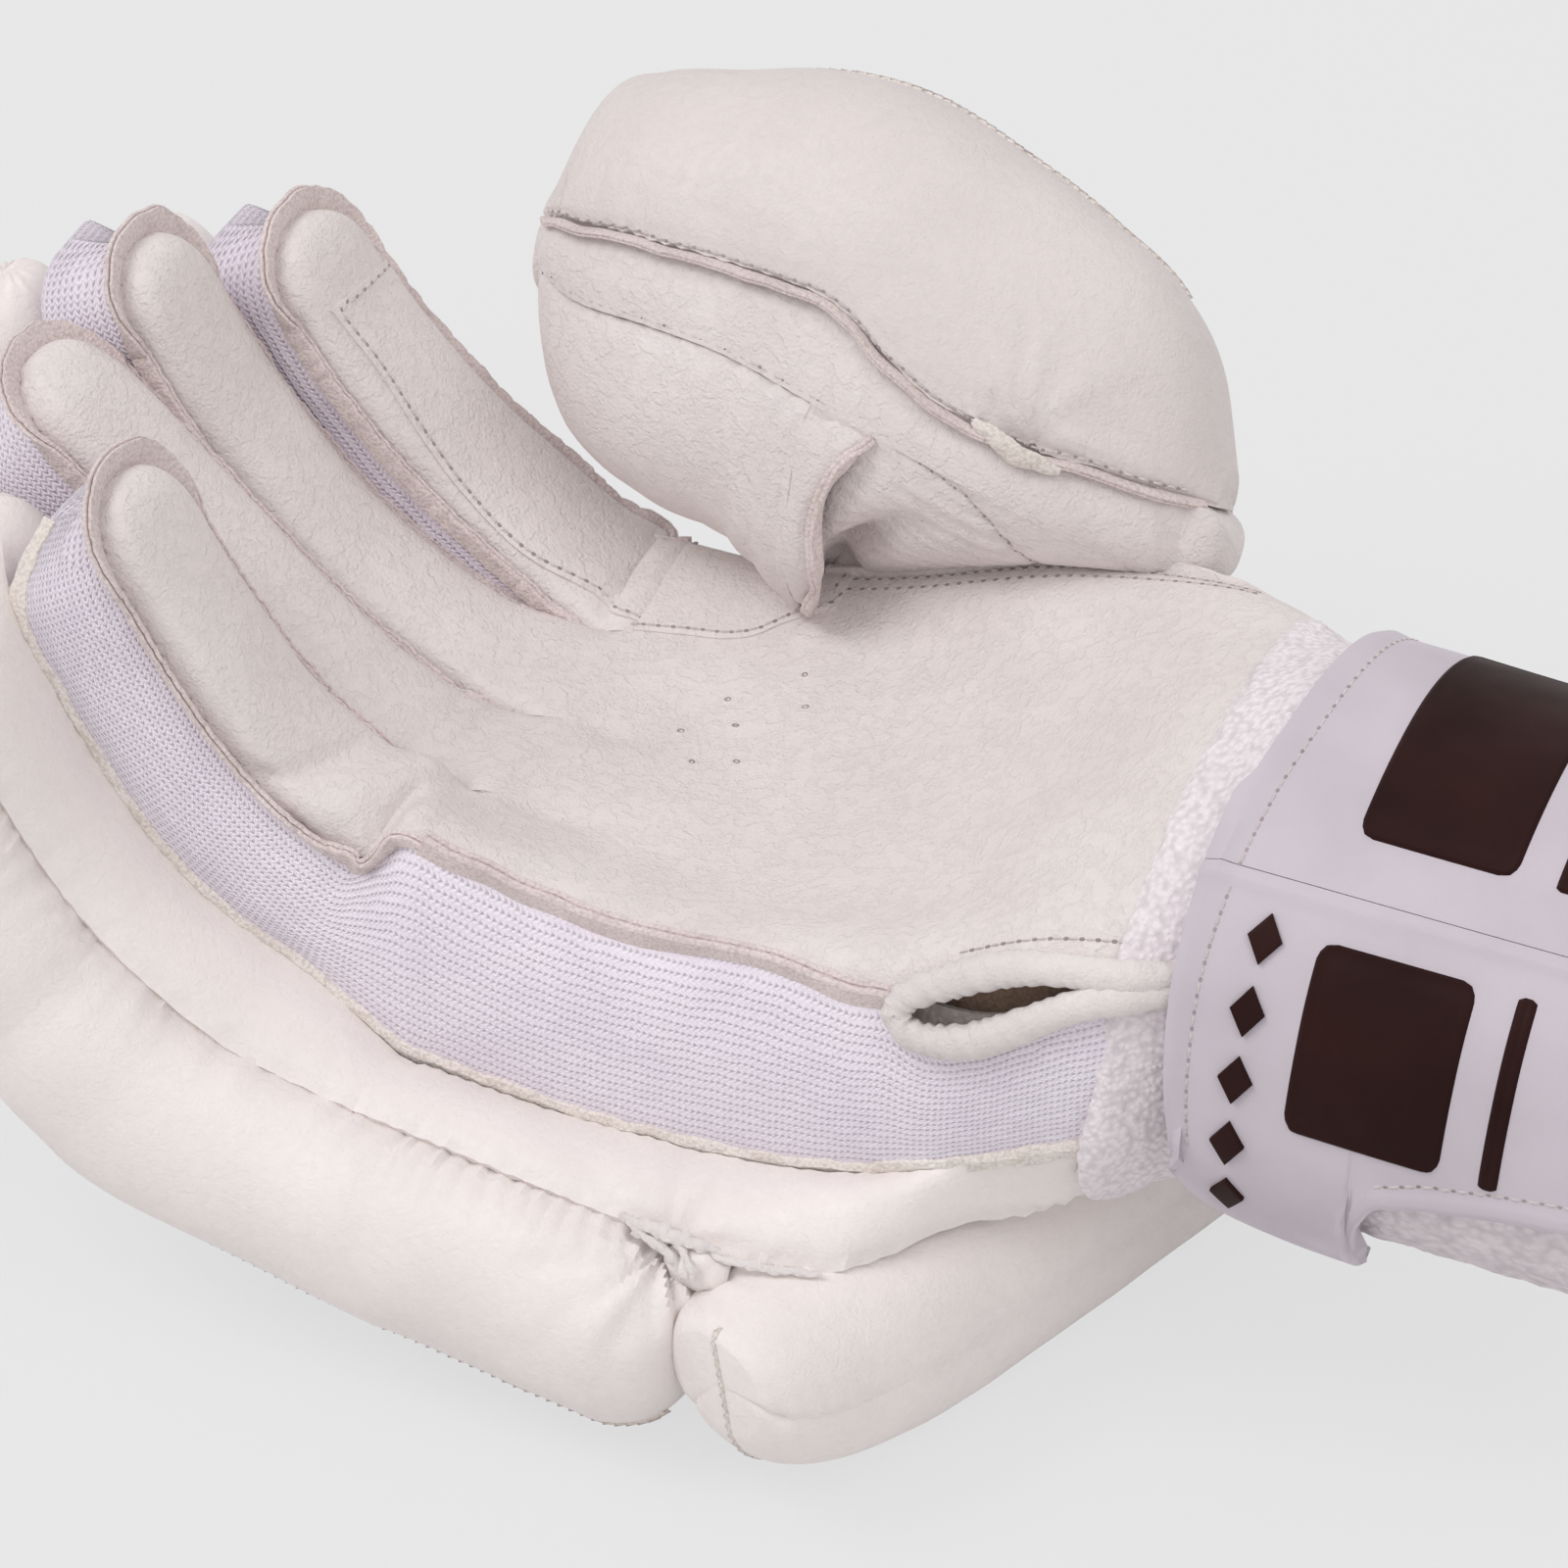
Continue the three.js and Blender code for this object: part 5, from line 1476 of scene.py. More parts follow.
def dressRoll(rings, a, angles, u, seams=(0.0, np.pi), pleat=0.25, gather=0.35):
    # sewn seams along the roll, pleats beside them, gathers at the ends, and dents
    normals = ringNormals(rings)
    offset = noise(rings, 16, 1) * 0.35 + noise(rings, 6, 2) * 0.12
    for seam in seams:
        away = np.abs(np.angle(np.exp(1j * (angles - seam))))[None]
        wave = np.sin(u * 2.3 + 3 * noise(rings, 7, 1))
        offset = offset - 0.75 * bell(away, 0.07) + wave * pleat * bell(away, 0.3)
    end = bell(np.minimum(a, 1 - a), 0.07)[:, None]
    offset = offset + np.sin(angles * 17 + 2 * noise(rings, 9, 0))[None][0] * gather * end
    return rings + normals * offset[..., None], normals


floorHeight = -hand["origin"][2]


def onFloor(points):
    # the glove's weight presses the rolls flat on what they lie on
    points = points.copy()
    points[..., 2] = np.maximum(points[..., 2], floorHeight + 0.001)
    return points


# the outer roll runs over the hand and the little finger, and is sewn through at that finger's middle
outerStops = np.concatenate(
    [np.linspace(outer["endX"], -32, 8), little["x"] - np.linspace(8, little["length"], 9)]
)
outerAngles = roundAngles(64)
ringC, ringS = squareRing(outerAngles, 2.3)


def outerRing(where):
    inner = ease(ringC / 0.5) * ease(ringS / 0.6)
    if where > -35:
        top = float(outerTop(where))
        depth = mix(outer["depth"], outer["rootDepth"], (outer["endX"] - where) / (outer["endX"] + 35))
        h = top - depth / 2 + depth / 2 * ringS - 2.0 * inner
        return np.stack([np.full_like(h, where), outer["y"] + outer["half"] * ringC, h], -1)
    s = little["x"] - where
    top = outerTopFinger(s)
    depth = mix(outer["rootDepth"], outer["tipDepth"], s / little["length"])
    h = top - depth / 2 + depth / 2 * ringS - 2.0 * inner
    return fingerPlace(little, s, outer["y"] + outer["half"] * ringC, h)


controls = np.array([outerRing(where) for where in outerStops])
count = 170
even = np.linspace(0, 1, count)
spread = (1 - np.cos(np.pi * even)) / 2
wheres = mix(outerStops[0], outerStops[-1], mix(even, spread, 0.75))
index = np.interp(-wheres, -outerStops, np.arange(len(outerStops)))
outerRings = smoothAt(np.arange(len(controls)), controls, index)
fromWrist, fromTip = outerStops[0] - wheres, wheres - outerStops[-1]
rounding = {"wrist": 15, "tip": 15}
sizeAt = np.ones(count)
for distance, length in ((fromWrist, rounding["wrist"]), (fromTip, rounding["tip"])):
    sizeAt *= np.maximum(0, 1 - np.maximum(0, 1 - distance / length) ** 2.3) ** (1 / 2.3)
sizeAt = np.maximum(sizeAt, 0.015)
topPoint, lowPoint = outerRings[:, 16], outerRings[:, 48]
hub = mix(topPoint, lowPoint, 0.3)
outerRings = hub[:, None] + (outerRings - hub[:, None]) * sizeAt[:, None, None]
outerNormals = ringNormals(outerRings)
distance = np.abs(np.angle(np.exp(1j * (outerAngles - np.pi / 2))))[None]
pleatWave = np.sin(wheres[:, None] * 2.0 + 4 * noise(outerRings, 8, 1))
offset = noise(outerRings, 20, 1) * 0.6 + noise(outerRings, 7, 2) * 0.14
offset = offset - 0.9 * bell(distance, 0.09) + pleatWave * 0.38 * bell(distance, 0.42)
offset = offset + knotPuckers(outerRings, knot["at"], knot["reach"] + 3, 13, 0.85, 1)
endWave = np.sin(outerAngles * 15)[None] * 0.3 * bell(np.minimum(fromTip, 99), 6)[:, None]
waist = bell(wheres - kneeStop, 3.0)[:, None]
offset = offset + endWave - 0.8 * waist
outerRings = onFloor(outerRings + outerNormals * offset[..., None])
cut = int(np.argmin(np.abs(wheres - kneeStop)))
piece = loftPiece("outerRollHand", outerRings[: cut + 1], materials["roll"])
placeRun(piece, "lower", ["outer_roll_hand", "outer_roll_lower"])
piece = loftPiece("outerRollTip", outerRings[cut:], materials["roll"])
placeRun(piece, "upper", ["outer_roll_upper"])


def surfaceSeam(name, path, normals, width=0.9, height=0.45, thread=0.16):
    # raw seam with zigzag thread on the surface of a roll
    uneven = 1 + 0.3 * noise(path, 1.6, 1)
    profile = [(-1, -0.8), (-0.8, 0.7), (-0.2, 1), (0.3, 0.8), (0.9, 0.7), (1, -0.8)]
    section = np.array([[(a * width * u, b * height * u) for a, b in profile] for u in uneven])
    band = bandPiece(name, path, normals, section, materials["creamEdge"])
    tangent = tangentsOf(path)
    across = np.cross(tangent, normals)
    spots = evenly(path, 0.85)
    places = np.linspace(0, 1, len(spots))
    base = np.linspace(0, 1, len(path))
    side = readRows(places, base, across)
    normal = readRows(places, base, normals)
    zig = np.where(np.arange(len(spots)) % 2, 1.0, -1.0)[:, None]
    course = spots + side * zig * width * 1.15 + normal * (height * 0.9)
    angles = roundAngles(5)
    section = np.stack([thread * np.cos(angles), thread * np.sin(angles)], -1)
    zigzag = bandPiece(name + "Thread", course, normal, section, materials["thread"])
    return joinPieces(name, [band, zigzag])


normals = ringNormals(outerRings)
path, normal = outerRings[14 : cut - 20, 42], normals[14 : cut - 20, 42]
placeRun(surfaceSeam("outerRollSeam", path, normal), "lower", ())

# rolls behind the fingers
fingerRoll = {
    "depth": 30,
    "tipDepth": 25,
    "gap": 0.3,
    "tilt": 7,
    "short": {"middle": 5},
    "rings": 44,
    "around": 48,
}
for name, finger in fingers.items():
    length, half = finger["length"], finger["length"] / 2
    spans = {"lower": (1.0, half - 1.2), "upper": (half + 1.2, length)}
    for part, (start, end) in spans.items():
        first = 0 if part == "lower" else half
        last = half if part == "lower" else length
        tilt = math.tan(math.radians(fingerRoll["tilt"]))
        lean = tilt if part == "upper" else math.tan(math.radians((finger["bends"][0] - 14) / 2))
        stop = end - fingerRoll["short"].get(name, 0)

        def shareAt(a):
            return mix(first, last, a) / length

        def top(a):
            return -stall["back"] * mix(1, stall["tipBack"], shareAt(a)) - fingerRoll["gap"]

        rings, a, angles, u = paddedRings({
            "place": lambda u, y, h: fingerPlace(finger, u, y, h),
            "start": lambda h: start + lean * (-h if part == "upper" else h),
            "end": lambda h: stop + (0 if part == "upper" else tilt) * h,
            "y": finger["y"] - finger["spread"] / 2,
            "half": finger["half"] + finger["spread"] / 2 - 0.2,
            "top": top,
            "bottom": lambda a: top(a) - mix(fingerRoll["depth"], fingerRoll["tipDepth"], shareAt(a)),
            "rings": fingerRoll["rings"],
            "around": fingerRoll["around"],
        })
        rings, _ = dressRoll(rings, a, angles, u, (0.15, np.pi - 0.15))
        piece = loftPiece(f"{name}{part.title()}Roll", onFloor(rings), materials["roll"])
        ridePiece(piece, f"{name}_{part}", [f"{name}_{part}_roll"])


def underHand(points, clearance=0.9):
    flat = points.reshape(-1, 3).copy()
    t = handAtY(flat[:, 0], flat[:, 1], 5.6, 9.1)
    limit = handPoint(flat[:, 0], t)[:, 2] - clearance
    flat[:, 2] = np.minimum(flat[:, 2], limit)
    return flat.reshape(points.shape)


# rolls over the knuckles
knuckle = {"top": -15, "bottom": -50.4, "endX": 21, "skew": 69, "rings": 60, "around": 52}
for name, finger in fingers.items():
    endX = knuckle["endX"] + (33 + finger["y"]) / math.tan(math.radians(knuckle["skew"]))
    wedge = math.tan(math.radians((finger["bends"][0] - 14) / 2))
    rings, a, angles, u = paddedRings({
        "place": lambda x, y, z: np.stack(np.broadcast_arrays(x, y, z), -1),
        "start": lambda z: finger["x"] + 0.3 + (z - finger["z"]) * wedge,
        "end": lambda z: endX + 0 * z,
        "y": finger["y"] - finger["spread"] / 2,
        "half": finger["half"] + finger["spread"] / 2 - 0.2,
        "top": lambda a: knuckle["top"] + 0 * a,
        "bottom": lambda a: knuckle["bottom"] + 0 * a,
        "rings": knuckle["rings"],
        "around": knuckle["around"],
        "crown": 3.4,
    })
    rings, _ = dressRoll(rings, a, angles, u, (0.15, np.pi - 0.15))
    piece = loftPiece(f"{name}KnuckleRoll", onFloor(underHand(rings)), materials["roll"])
    ridePiece(piece, "palm", [f"knuckle_roll_{name}"])

# gathered knot where the flank, the outer roll and the wrist roll meet, and the raw edge that runs on from it
gather = {
    "pad": ((17.2, -67.6, -17.4), (4.2, 3.2, 3.4)),
    "tapes": [
        (
            [
                (5.5, -66.0, -13.2),
                (8.5, -67.6, -12.6),
                (13, -68.6, -12.2),
                (17, -68.3, -12.8),
                (20.5, -67, -13.6),
            ],
            1.15,
            0.8,
        ),
        ([(8, -68.4, -13.8), (12, -69.6, -13.6), (15, -69.9, -15.2), (16.3, -70.3, -17.2)], 0.8, 0.7),
        ([(14.5, -68.9, -12.6), (17.5, -70.4, -15), (18.4, -71.2, -16.8)], 0.65, 0.6),
        ([(18, -67.6, -13.4), (24, -67.4, -14.6), (29.3, -66.4, -14.9), (34.4, -64.9, -14.8)], 0.7, 0.45),
    ],
}
made = []
angles = roundAngles(9)
for k, (points, wide, tall) in enumerate(gather["tapes"]):
    tape = evenly(refine(np.array(points, float), 30), 0.45)
    tape = tape + noise(tape, 1.7, k)[:, None] * np.array([0.15, 0.35, 0.4])
    size = np.sin(np.linspace(0.2, np.pi - 0.15, len(tape))) ** 0.5 * (1 + 0.3 * noise(tape, 1.1, k + 1))
    section = [
        np.stack(
            [
                wide * size[i] * np.cos(angles) * (1 + 0.25 * np.sin(4 * angles + 0.9 * i)),
                tall * size[i] * np.sin(angles),
            ],
            -1,
        )
        for i in range(len(tape))
    ]
    up = np.tile(np.array([0.1, -0.5, 0.85]), (len(tape), 1))
    made.append(bandPiece(f"gather{k}", tape, up, np.array(section), materials["binding"]))
centre, size = (np.array(v) for v in gather["pad"])
lean = np.linspace(0.06, np.pi - 0.06, 16)[:, None]
turn = roundAngles(24)[None]
ball = centre + size * asPoints(np.sin(lean) * np.cos(turn), np.sin(lean) * np.sin(turn), np.cos(lean))
ball = ball + noise(ball, 2.2, 1)[..., None] * (ball - centre) * 0.3
made.append(loftPiece("gatherPad", ball, materials["roll"]))
ridePiece(joinPieces("rollGather", made), "palm", ())

# roll across the wrist, askew
wrist = {
    "start": (25.3, -79.5),
    "length": 125.5,
    "raise": 4.5,
    "half": 16.5,
    "top": -15,
    "bottom": -50.4,
    "skew": 69,
    "rings": 110,
    "around": 64,
}
skew = math.radians(wrist["skew"])


def wristPlace(u, across, z):
    x = wrist["start"][0] + u * math.cos(skew) + across * math.sin(skew)
    y = wrist["start"][1] + u * math.sin(skew) - across * math.cos(skew)
    return asPoints(x, y, z)


rings, a, angles, u = paddedRings({
    "place": wristPlace,
    "start": lambda z: 0 * z,
    "end": lambda z: wrist["length"] + 0 * z,
    "y": 0,
    "half": wrist["half"],
    "top": lambda a: wrist["top"] + 0 * a,
    "bottom": lambda a: wrist["bottom"] + wrist["raise"] * (1 - ease(a * 3.2)),
    "rings": wrist["rings"],
    "around": wrist["around"],
    "crown": 4.6,
    "square": 2.25,
    "pole": 0.42,
})
rings, normals = dressRoll(rings, a, angles, u, (0.1, 4.1), 0.2, 0.0)
rings = rings + normals * knotPuckers(rings, knot["at"] + np.array([4, -1, -2]), 13, 9, 0.35, 2)[..., None]
rings = onFloor(underHand(rings))
piece = loftPiece("wristRoll", rings, materials["roll"])
ridePiece(piece, "palm", ["wrist_roll"])
path = np.concatenate([rings[8:0:-1, 17], rings[1:20, 51]])
path = evenly(path, 1.4)
normal = toUnit(path - wristPlace(15, 0, -33))
path = path + normal * 0.1
ridePiece(
    surfaceSeam("wristRollSeam", path, normal, width=0.38, height=0.16, thread=0.1),
    "palm",
    (),
)
print("rolls ready")

# thumb, in its own frame: x along the hand, y across it, z to its back
thumb = {
    "origin": np.array([0, 50, 38.0]),
    "across": np.array([0, 0.8, -0.6]),
    "back": np.array([0, 0.6, 0.8]),
    "tipX": -65,
    "length": 111,
    "shares": [0, 0.045, 0.135, 0.252, 0.36, 0.495, 0.63, 0.766, 0.865, 0.946, 1],
    "seam": np.array([1, 1, 1, 1, 0.975, 0.86, 0.34, 0.08, 0.05, 0, 0]) * 16,
    "shell": np.array([0.14, 0.53, 0.7, 0.79, 0.875, 0.92, 1.01, 0.94, 0.78, 0.53, 0.16]) * 36,
    "width": np.array([0.32, 0.62, 0.85, 0.98, 1.02, 1.04, 1.02, 0.92, 0.74, 0.48, 0.18]) * 25,
    "depth": np.array([0.19, 0.4, 0.64, 0.76, 0.79, 0.9, 0.64, 0.43, 0.33, 0.29, 0.26]) * 42,
    "strip": np.array([0.64, 0.56, 0.38, 0.33, 0.26, 0.04, -0.2]) * 16,
    "stallWidth": 0.92,
    "square": 2.4,
    "hole": (-10, 45),
    "hinge": (46, -13),
    "tipIn": (2.6, -50, 15),
    "full": 0.15,
    "thickness": 1.3,
    "palmEnd": (
        [0, 0.05, 0.1, 0.15, 0.2, 0.25, 0.3, 0.35, 0.45, 0.55, 0.7, 1],
        [10.8, 7.6, 5.2, 4, 4, 4.6, 4.6, 3.2, 1, 0, 0, 0],
    ),
}
holeSlope = math.atan2(thumb["strip"][5] - thumb["hinge"][1], thumb["hinge"][0] - thumb["hole"][0])


def thumbPlace(x, y, z):
    x, y, z = matched(x, y, z)
    point = thumb["origin"] + y[..., None] * thumb["across"] + z[..., None] * thumb["back"]
    near, first, run = thumb["tipIn"]
    point[..., 0] += x + near * ease((first - x) / run)
    return point


def thumbRead(key, x):
    table = thumb[key]
    return smoothAt(
        thumb["shares"][: len(table)], table, (np.asarray(x, float) - thumb["tipX"]) / thumb["length"]
    )


def thumbLocal(x, t):
    x, t = matched(x, t)
    c, s = squareRing(np.pi * t, thumb["square"])
    y = -thumbRead("width", x) * thumb["stallWidth"] * c
    z = thumbRead("seam", x) - thumbRead("depth", x) * s
    return x, y, z


def thumbStall(x, t):
    return thumbPlace(*thumbLocal(x, t))


def thumbFull(x, share, edge):
    # the leather under the thumb is a little fuller than the stall inside it
    x, share = matched(x, share)
    point = thumbStall(x, mix(edge, 1 - edge, share))
    core = thumbPlace(x, 0, thumbRead("seam", x) - 6)
    full = thumb["full"] * np.sin(np.pi * share) * ease((x - thumb["tipX"]) / 14)
    return point + (point - core) * full[..., None]


def rootPlane(x):
    return thumb["hinge"][1] + (thumb["hinge"][0] - x) * math.tan(holeSlope)


def thumbReach(x, height):
    x, height = matched(x, height)
    low, high = np.zeros(x.shape), np.full(x.shape, 0.5)
    for _ in range(22):
        middle = (low + high) / 2
        above = thumbLocal(x, middle)[2] > height
        low, high = np.where(above, middle, low), np.where(above, high, middle)
    return low


def stripHeight(x):
    x = np.asarray(x, float)
    return np.where(x < thumb["hole"][0], thumbRead("strip", x), rootPlane(x))


thumbDirection = np.array([-0.3, 0.57, 0.76])
thumbDirection /= np.linalg.norm(thumbDirection)


def blendThumb(piece, nodes=()):
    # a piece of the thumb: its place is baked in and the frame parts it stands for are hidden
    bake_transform(piece)
    finishPiece(nodes)


# strips beside the shell, and the leather under the thumb
xs = np.linspace(thumb["tipX"] + 1.2, 43.4, 96)
edgeT = thumbReach(xs, stripHeight(xs))
shares = np.linspace(0, 1, 16)
for name, side in (("inner", 1), ("outer", -1)):
    t = edgeT[:, None] * shares[None]
    t = t if side > 0 else 1 - t[:, ::-1]
    grid = thumbStall(xs[:, None], t)
    normals = -normalsOf(grid)
    toSeam = fromEnds(16)[None]
    pleat = np.sin(xs[:, None] * 2.2 + 3 * noise(grid, 6, 1)) * 0.13 * bell(toSeam, 3.0)
    rise = pleat + 0.5 * np.sin(np.pi * shares)[None] - 1.1 * ease((xs[:, None] - 39.5) / 3.5)
    grid = leatherDents(grid, normals, 0.6) + normals * rise[..., None]
    piece = sheetPiece(f"thumb{name.title()}Strip", grid, thumb["thickness"], materials["thumb"], side=-1)
    blendThumb(piece, [f"thumb_strip_{name}"])
    seam = grid[:, -1] if side > 0 else grid[:, 0]
    seamNormal = normals[:, -1] if side > 0 else normals[:, 0]
    run = xs < -6
    piece = stitchRun(
        f"thumb{name.title()}Stitches",
        (seam + seamNormal * 0.1)[run] + thumb["back"] * 0.9,
        seamNormal[run],
        pitch=2.0,
        radius=0.2,
        hole=0.26,
    )
    blendThumb(piece, ())

# the strips' leather runs on in a dome over the thumb's root, and in a small one at its tip
turns = np.linspace(0, np.pi / 2 - 0.06, 14)[:, None, None]
tip = thumb["tipX"]
for name, xs, reach, wider in (
    ("thumbHeel", (40.0, 41.0, 42.0, 42.6), 6.8, 0.02),
    ("thumbTip", (tip + 4.5, tip + 3.5, tip + 2.5, tip + 1.6), -2.8, -0.05),
):
    made = []
    for x in xs:
        ring, centre = thumbStall(x, np.linspace(0, 1, 41)), thumbPlace(x, 0, float(thumbRead("seam", x)) - 6)
        lid = mix(ring[-1], ring[0], np.linspace(0, 1, 14)[1:-1][:, None]) + thumb["back"] * 0.3
        ring = np.concatenate([ring, lid])
        made.append(ring + (ring - centre) * wider)
    ring = made[-1]
    dome = centre + (ring - centre) * np.cos(turns) + np.array([reach, 0, 0]) * np.sin(turns)
    grid = np.concatenate([made[:-1], dome])
    piece = loftPiece(
        name, leatherDents(grid, ringNormals(grid), 0.5 if reach > 0 else 0.15), materials["thumb"]
    )
    blendThumb(piece, ())

shares = np.linspace(0, 1, 56)
ends = -10.6 + smoothAt(*thumb["palmEnd"], shares)
xs = mix(thumb["tipX"] + 1.2, ends[None], np.linspace(0, 1, 58)[:, None])
reachX = np.linspace(thumb["tipX"] + 1.2, 2, 90)
edgeT = np.interp(xs, reachX, thumbReach(reachX, stripHeight(reachX) - 0.15))
grid = thumbFull(xs, shares[None], edgeT)
normals = -normalsOf(grid)
nearSeam = fromEnds(56)[None]
pleat = np.sin(xs * 2.0 + 3 * noise(grid, 6, 2)) * 0.16 * bell(nearSeam, 4.0)
wrinkles = np.sin(xs * 1.15 + 2.2 * noise(grid, 10, 0)) * 0.3 * ease((xs + 34) / 16)
grid = leatherDents(grid, normals, 0.9) + normals * (pleat + wrinkles + noise(grid, 24, 1) * 0.5)[..., None]
thumbPalm = sheetPiece("thumbPalm", grid, thumb["thickness"], materials["thumb"], roundEdge=0.55, side=-1)
blendThumb(thumbPalm, ["thumb_palm_leather"])
seamPath, seamNormals = evenly(grid[-1, :34], 0.6), -normalsOf(grid)[-1, :34]
seamNormals = readRows(np.linspace(0, 33, len(seamPath)), np.arange(34), seamNormals)
section = rimSection(np.full(len(seamPath), 0.9), 1.4, 4, seamPath, 1.4)
piece = bandPiece("webSeam", seamPath, seamNormals, section, materials["rawEdge"])
blendThumb(piece, ())

# web: one ring of leather from the hand up to the thumb
web = {
    "side": 46,
    "front": 26,
    "rows": 30,
    "bulge": 4.6,
    "thickness": 1.3,
    "startX": 44.6,
    "fold": [(1, 43.6), (3, 43), (7, 41.3), (10, 39), (16, 34.5), (18.5, 28.7), (17, 25.5)],
    "seam": [(29, 33), (28, 28), (26, 24), (20, 20.5), (11, 18.5), (2, 17.3)],
}
sideX = np.linspace(web["startX"], thumb["hole"][0], web["side"])
turn = np.linspace(0, 1, web["front"] + 2)[1:-1]
reach = thumbReach(sideX, rootPlane(sideX))
frontReach = thumbReach(np.array(-10.6), np.array(float(stripHeight(-10.6)) - 0.15))
innerLow, outerLow = handPoint(sideX, 4.0), handPoint(sideX[::-1], 6.0)
frontLow = handPoint(thumb["hole"][0], 4 + 2 * turn)
innerHigh, outerHigh = thumbStall(sideX, reach), thumbStall(sideX[::-1], 1 - reach[::-1])
frontHigh = thumbFull(-10.9, turn, frontReach)
low = np.concatenate([innerLow, frontLow, outerLow])
high = np.concatenate([innerHigh, frontHigh, outerHigh])
shares = np.linspace(0, 1, web["rows"])
grid = mix(low[None], high[None], shares[:, None, None])
normals = normalsFacing(grid, (10, 12), (0, -1, 0))
height = np.linalg.norm(high - low, axis=1)[None]
swell = np.sin(np.pi * shares)[:, None] * web["bulge"] * np.clip(height / 30, 0.15, 1)
grid = grid + normals * swell[..., None]
front = bell(np.arange(grid.shape[1]) - web["side"] - 6, 11)
grid[..., 0] -= 5.5 * front[None] * np.sin(np.pi * shares**0.8)[:, None]
for k in range(9):
    calm = grid.copy()
    calm[:, 1:-1] = (grid[:, :-2] + 2 * grid[:, 1:-1] + grid[:, 2:]) / 4
    grid = mix(grid, calm, (np.sin(np.pi * shares) ** 0.5)[:, None, None])
normals = normalsFacing(grid, (10, 12), (0, -1, 0))
foldAt = evenly(refine(np.array([(*pair, 0) for pair in web["fold"]], float), 40), 0.5)
foldPath = readGrid(grid, foldAt[:, 0], foldAt[:, 1])
lipPath = readGrid(grid, foldAt[:, 0] + 5.5, foldAt[:, 1] + 1.0)
distance, along = nearPath(grid, foldPath)
crease = -4.6 * bell(distance, 2.7) * ease((1 - along) * 1.4)
distance, along = nearPath(grid, lipPath)
lip = 2.4 * bell(distance, 4.2) * ease((1 - along) * 1.4)
seamAt = evenly(refine(np.array([(*pair, 0) for pair in web["seam"]], float), 40), 0.4)
distance, along = nearPath(grid, readGrid(grid, seamAt[:, 0], seamAt[:, 1]))
crease = crease - 0.7 * bell(distance, 0.8)
fine = (
    np.sin(grid[..., 2] * 1.9 + grid[..., 0] * 0.8 + 3 * noise(grid, 6, 1))
    * 0.28
    * ease((grid[..., 2] - 18) / 10)
)
fine = fine * ease((26 - grid[..., 0]) / 12)
columnShare = np.arange(grid.shape[1])
inside = ease((grid.shape[1] - columnShare) / 20)[None] * np.sin(np.pi * shares)[:, None] ** 0.4
grid = grid + normals * ((crease + lip) * np.where(shares[:, None] > 0.001, 1, 0) + fine * inside)[..., None]
grid = leatherDents(grid, normals, 0.5)
webSide = sideOf(grid, normals, (14, 20))
thumbWeb = sheetPiece("thumbWeb", grid, web["thickness"], materials["thumb"], side=webSide)
blendThumb(thumbWeb, ["thumb_web", "thumb_back_web"])

seamPath, seamNormals = (readGrid(values, seamAt[:, 0], seamAt[:, 1]) for values in (grid, normals))
piece = stitchRun(
    "webStitches", seamPath, seamNormals, pitch=2.0, length=1.2, radius=0.18, lift=0.05, hole=0.22
)
blendThumb(piece, ())

# padded shell over the thumb
shell = {"rings": 120, "arc": 64, "floor": 16}
even = np.linspace(0, 1, shell["rings"])
xs = thumb["tipX"] + thumb["length"] * (1 - np.cos(np.pi * even)) / 2
arc = np.linspace(0, np.pi, shell["arc"] + 1)
c, s = squareRing(arc, thumb["square"])
half, tall = thumbRead("width", xs)[:, None], thumbRead("shell", xs)[:, None]
base = thumbRead("seam", xs)[:, None] + 0.3
top = thumbPlace(xs[:, None], half * c, base + tall * s)
floorShares = np.linspace(-1, 1, shell["floor"] + 2)[1:-1]
under = thumbPlace(xs[:, None], half * floorShares, base + 0.0)
rings = np.concatenate([top, under], 1)
normals = ringNormals(rings)
edgeAway = fromEnds(shell["arc"] + 1)[None]
leftShare = 1 - ease((xs + 42) / 40)[:, None]
wave = np.sin(xs[:, None] * 2.7 + 2.2 * noise(rings[:, : shell["arc"] + 1], 9, 1))
wave = wave * 0.7 + 0.5 * np.sin(xs[:, None] * 4.3 + 1.1 + 2 * noise(rings[:, : shell["arc"] + 1], 5, 2))
pleats = wave * (0.1 + 0.26 * leftShare) * bell(edgeAway, 4.0 + 6.0 * leftShare)
tuck = -1.1 * bell(edgeAway, 1.3)
swell = noise(rings, 26, 1) * 0.7 + noise(rings, 9, 2) * 0.13
swell[:, : shell["arc"] + 1] += pleats + tuck
shellKnot = thumbPlace(20.0, -float(thumbRead("width", 20.0)) * 0.985, float(thumbRead("seam", 20.0)) + 1.5)
swell = swell + knotPuckers(rings, shellKnot, 13, 12, 0.8, 1)
swell[:, shell["arc"] + 1 :] *= 0.3
rings = rings + normals * swell[..., None]
thumbShell = loftPiece("thumbShell", rings, materials["shell"], sharp=65)
ridePiece(thumbShell, "thumb", ["thumb_shell"])

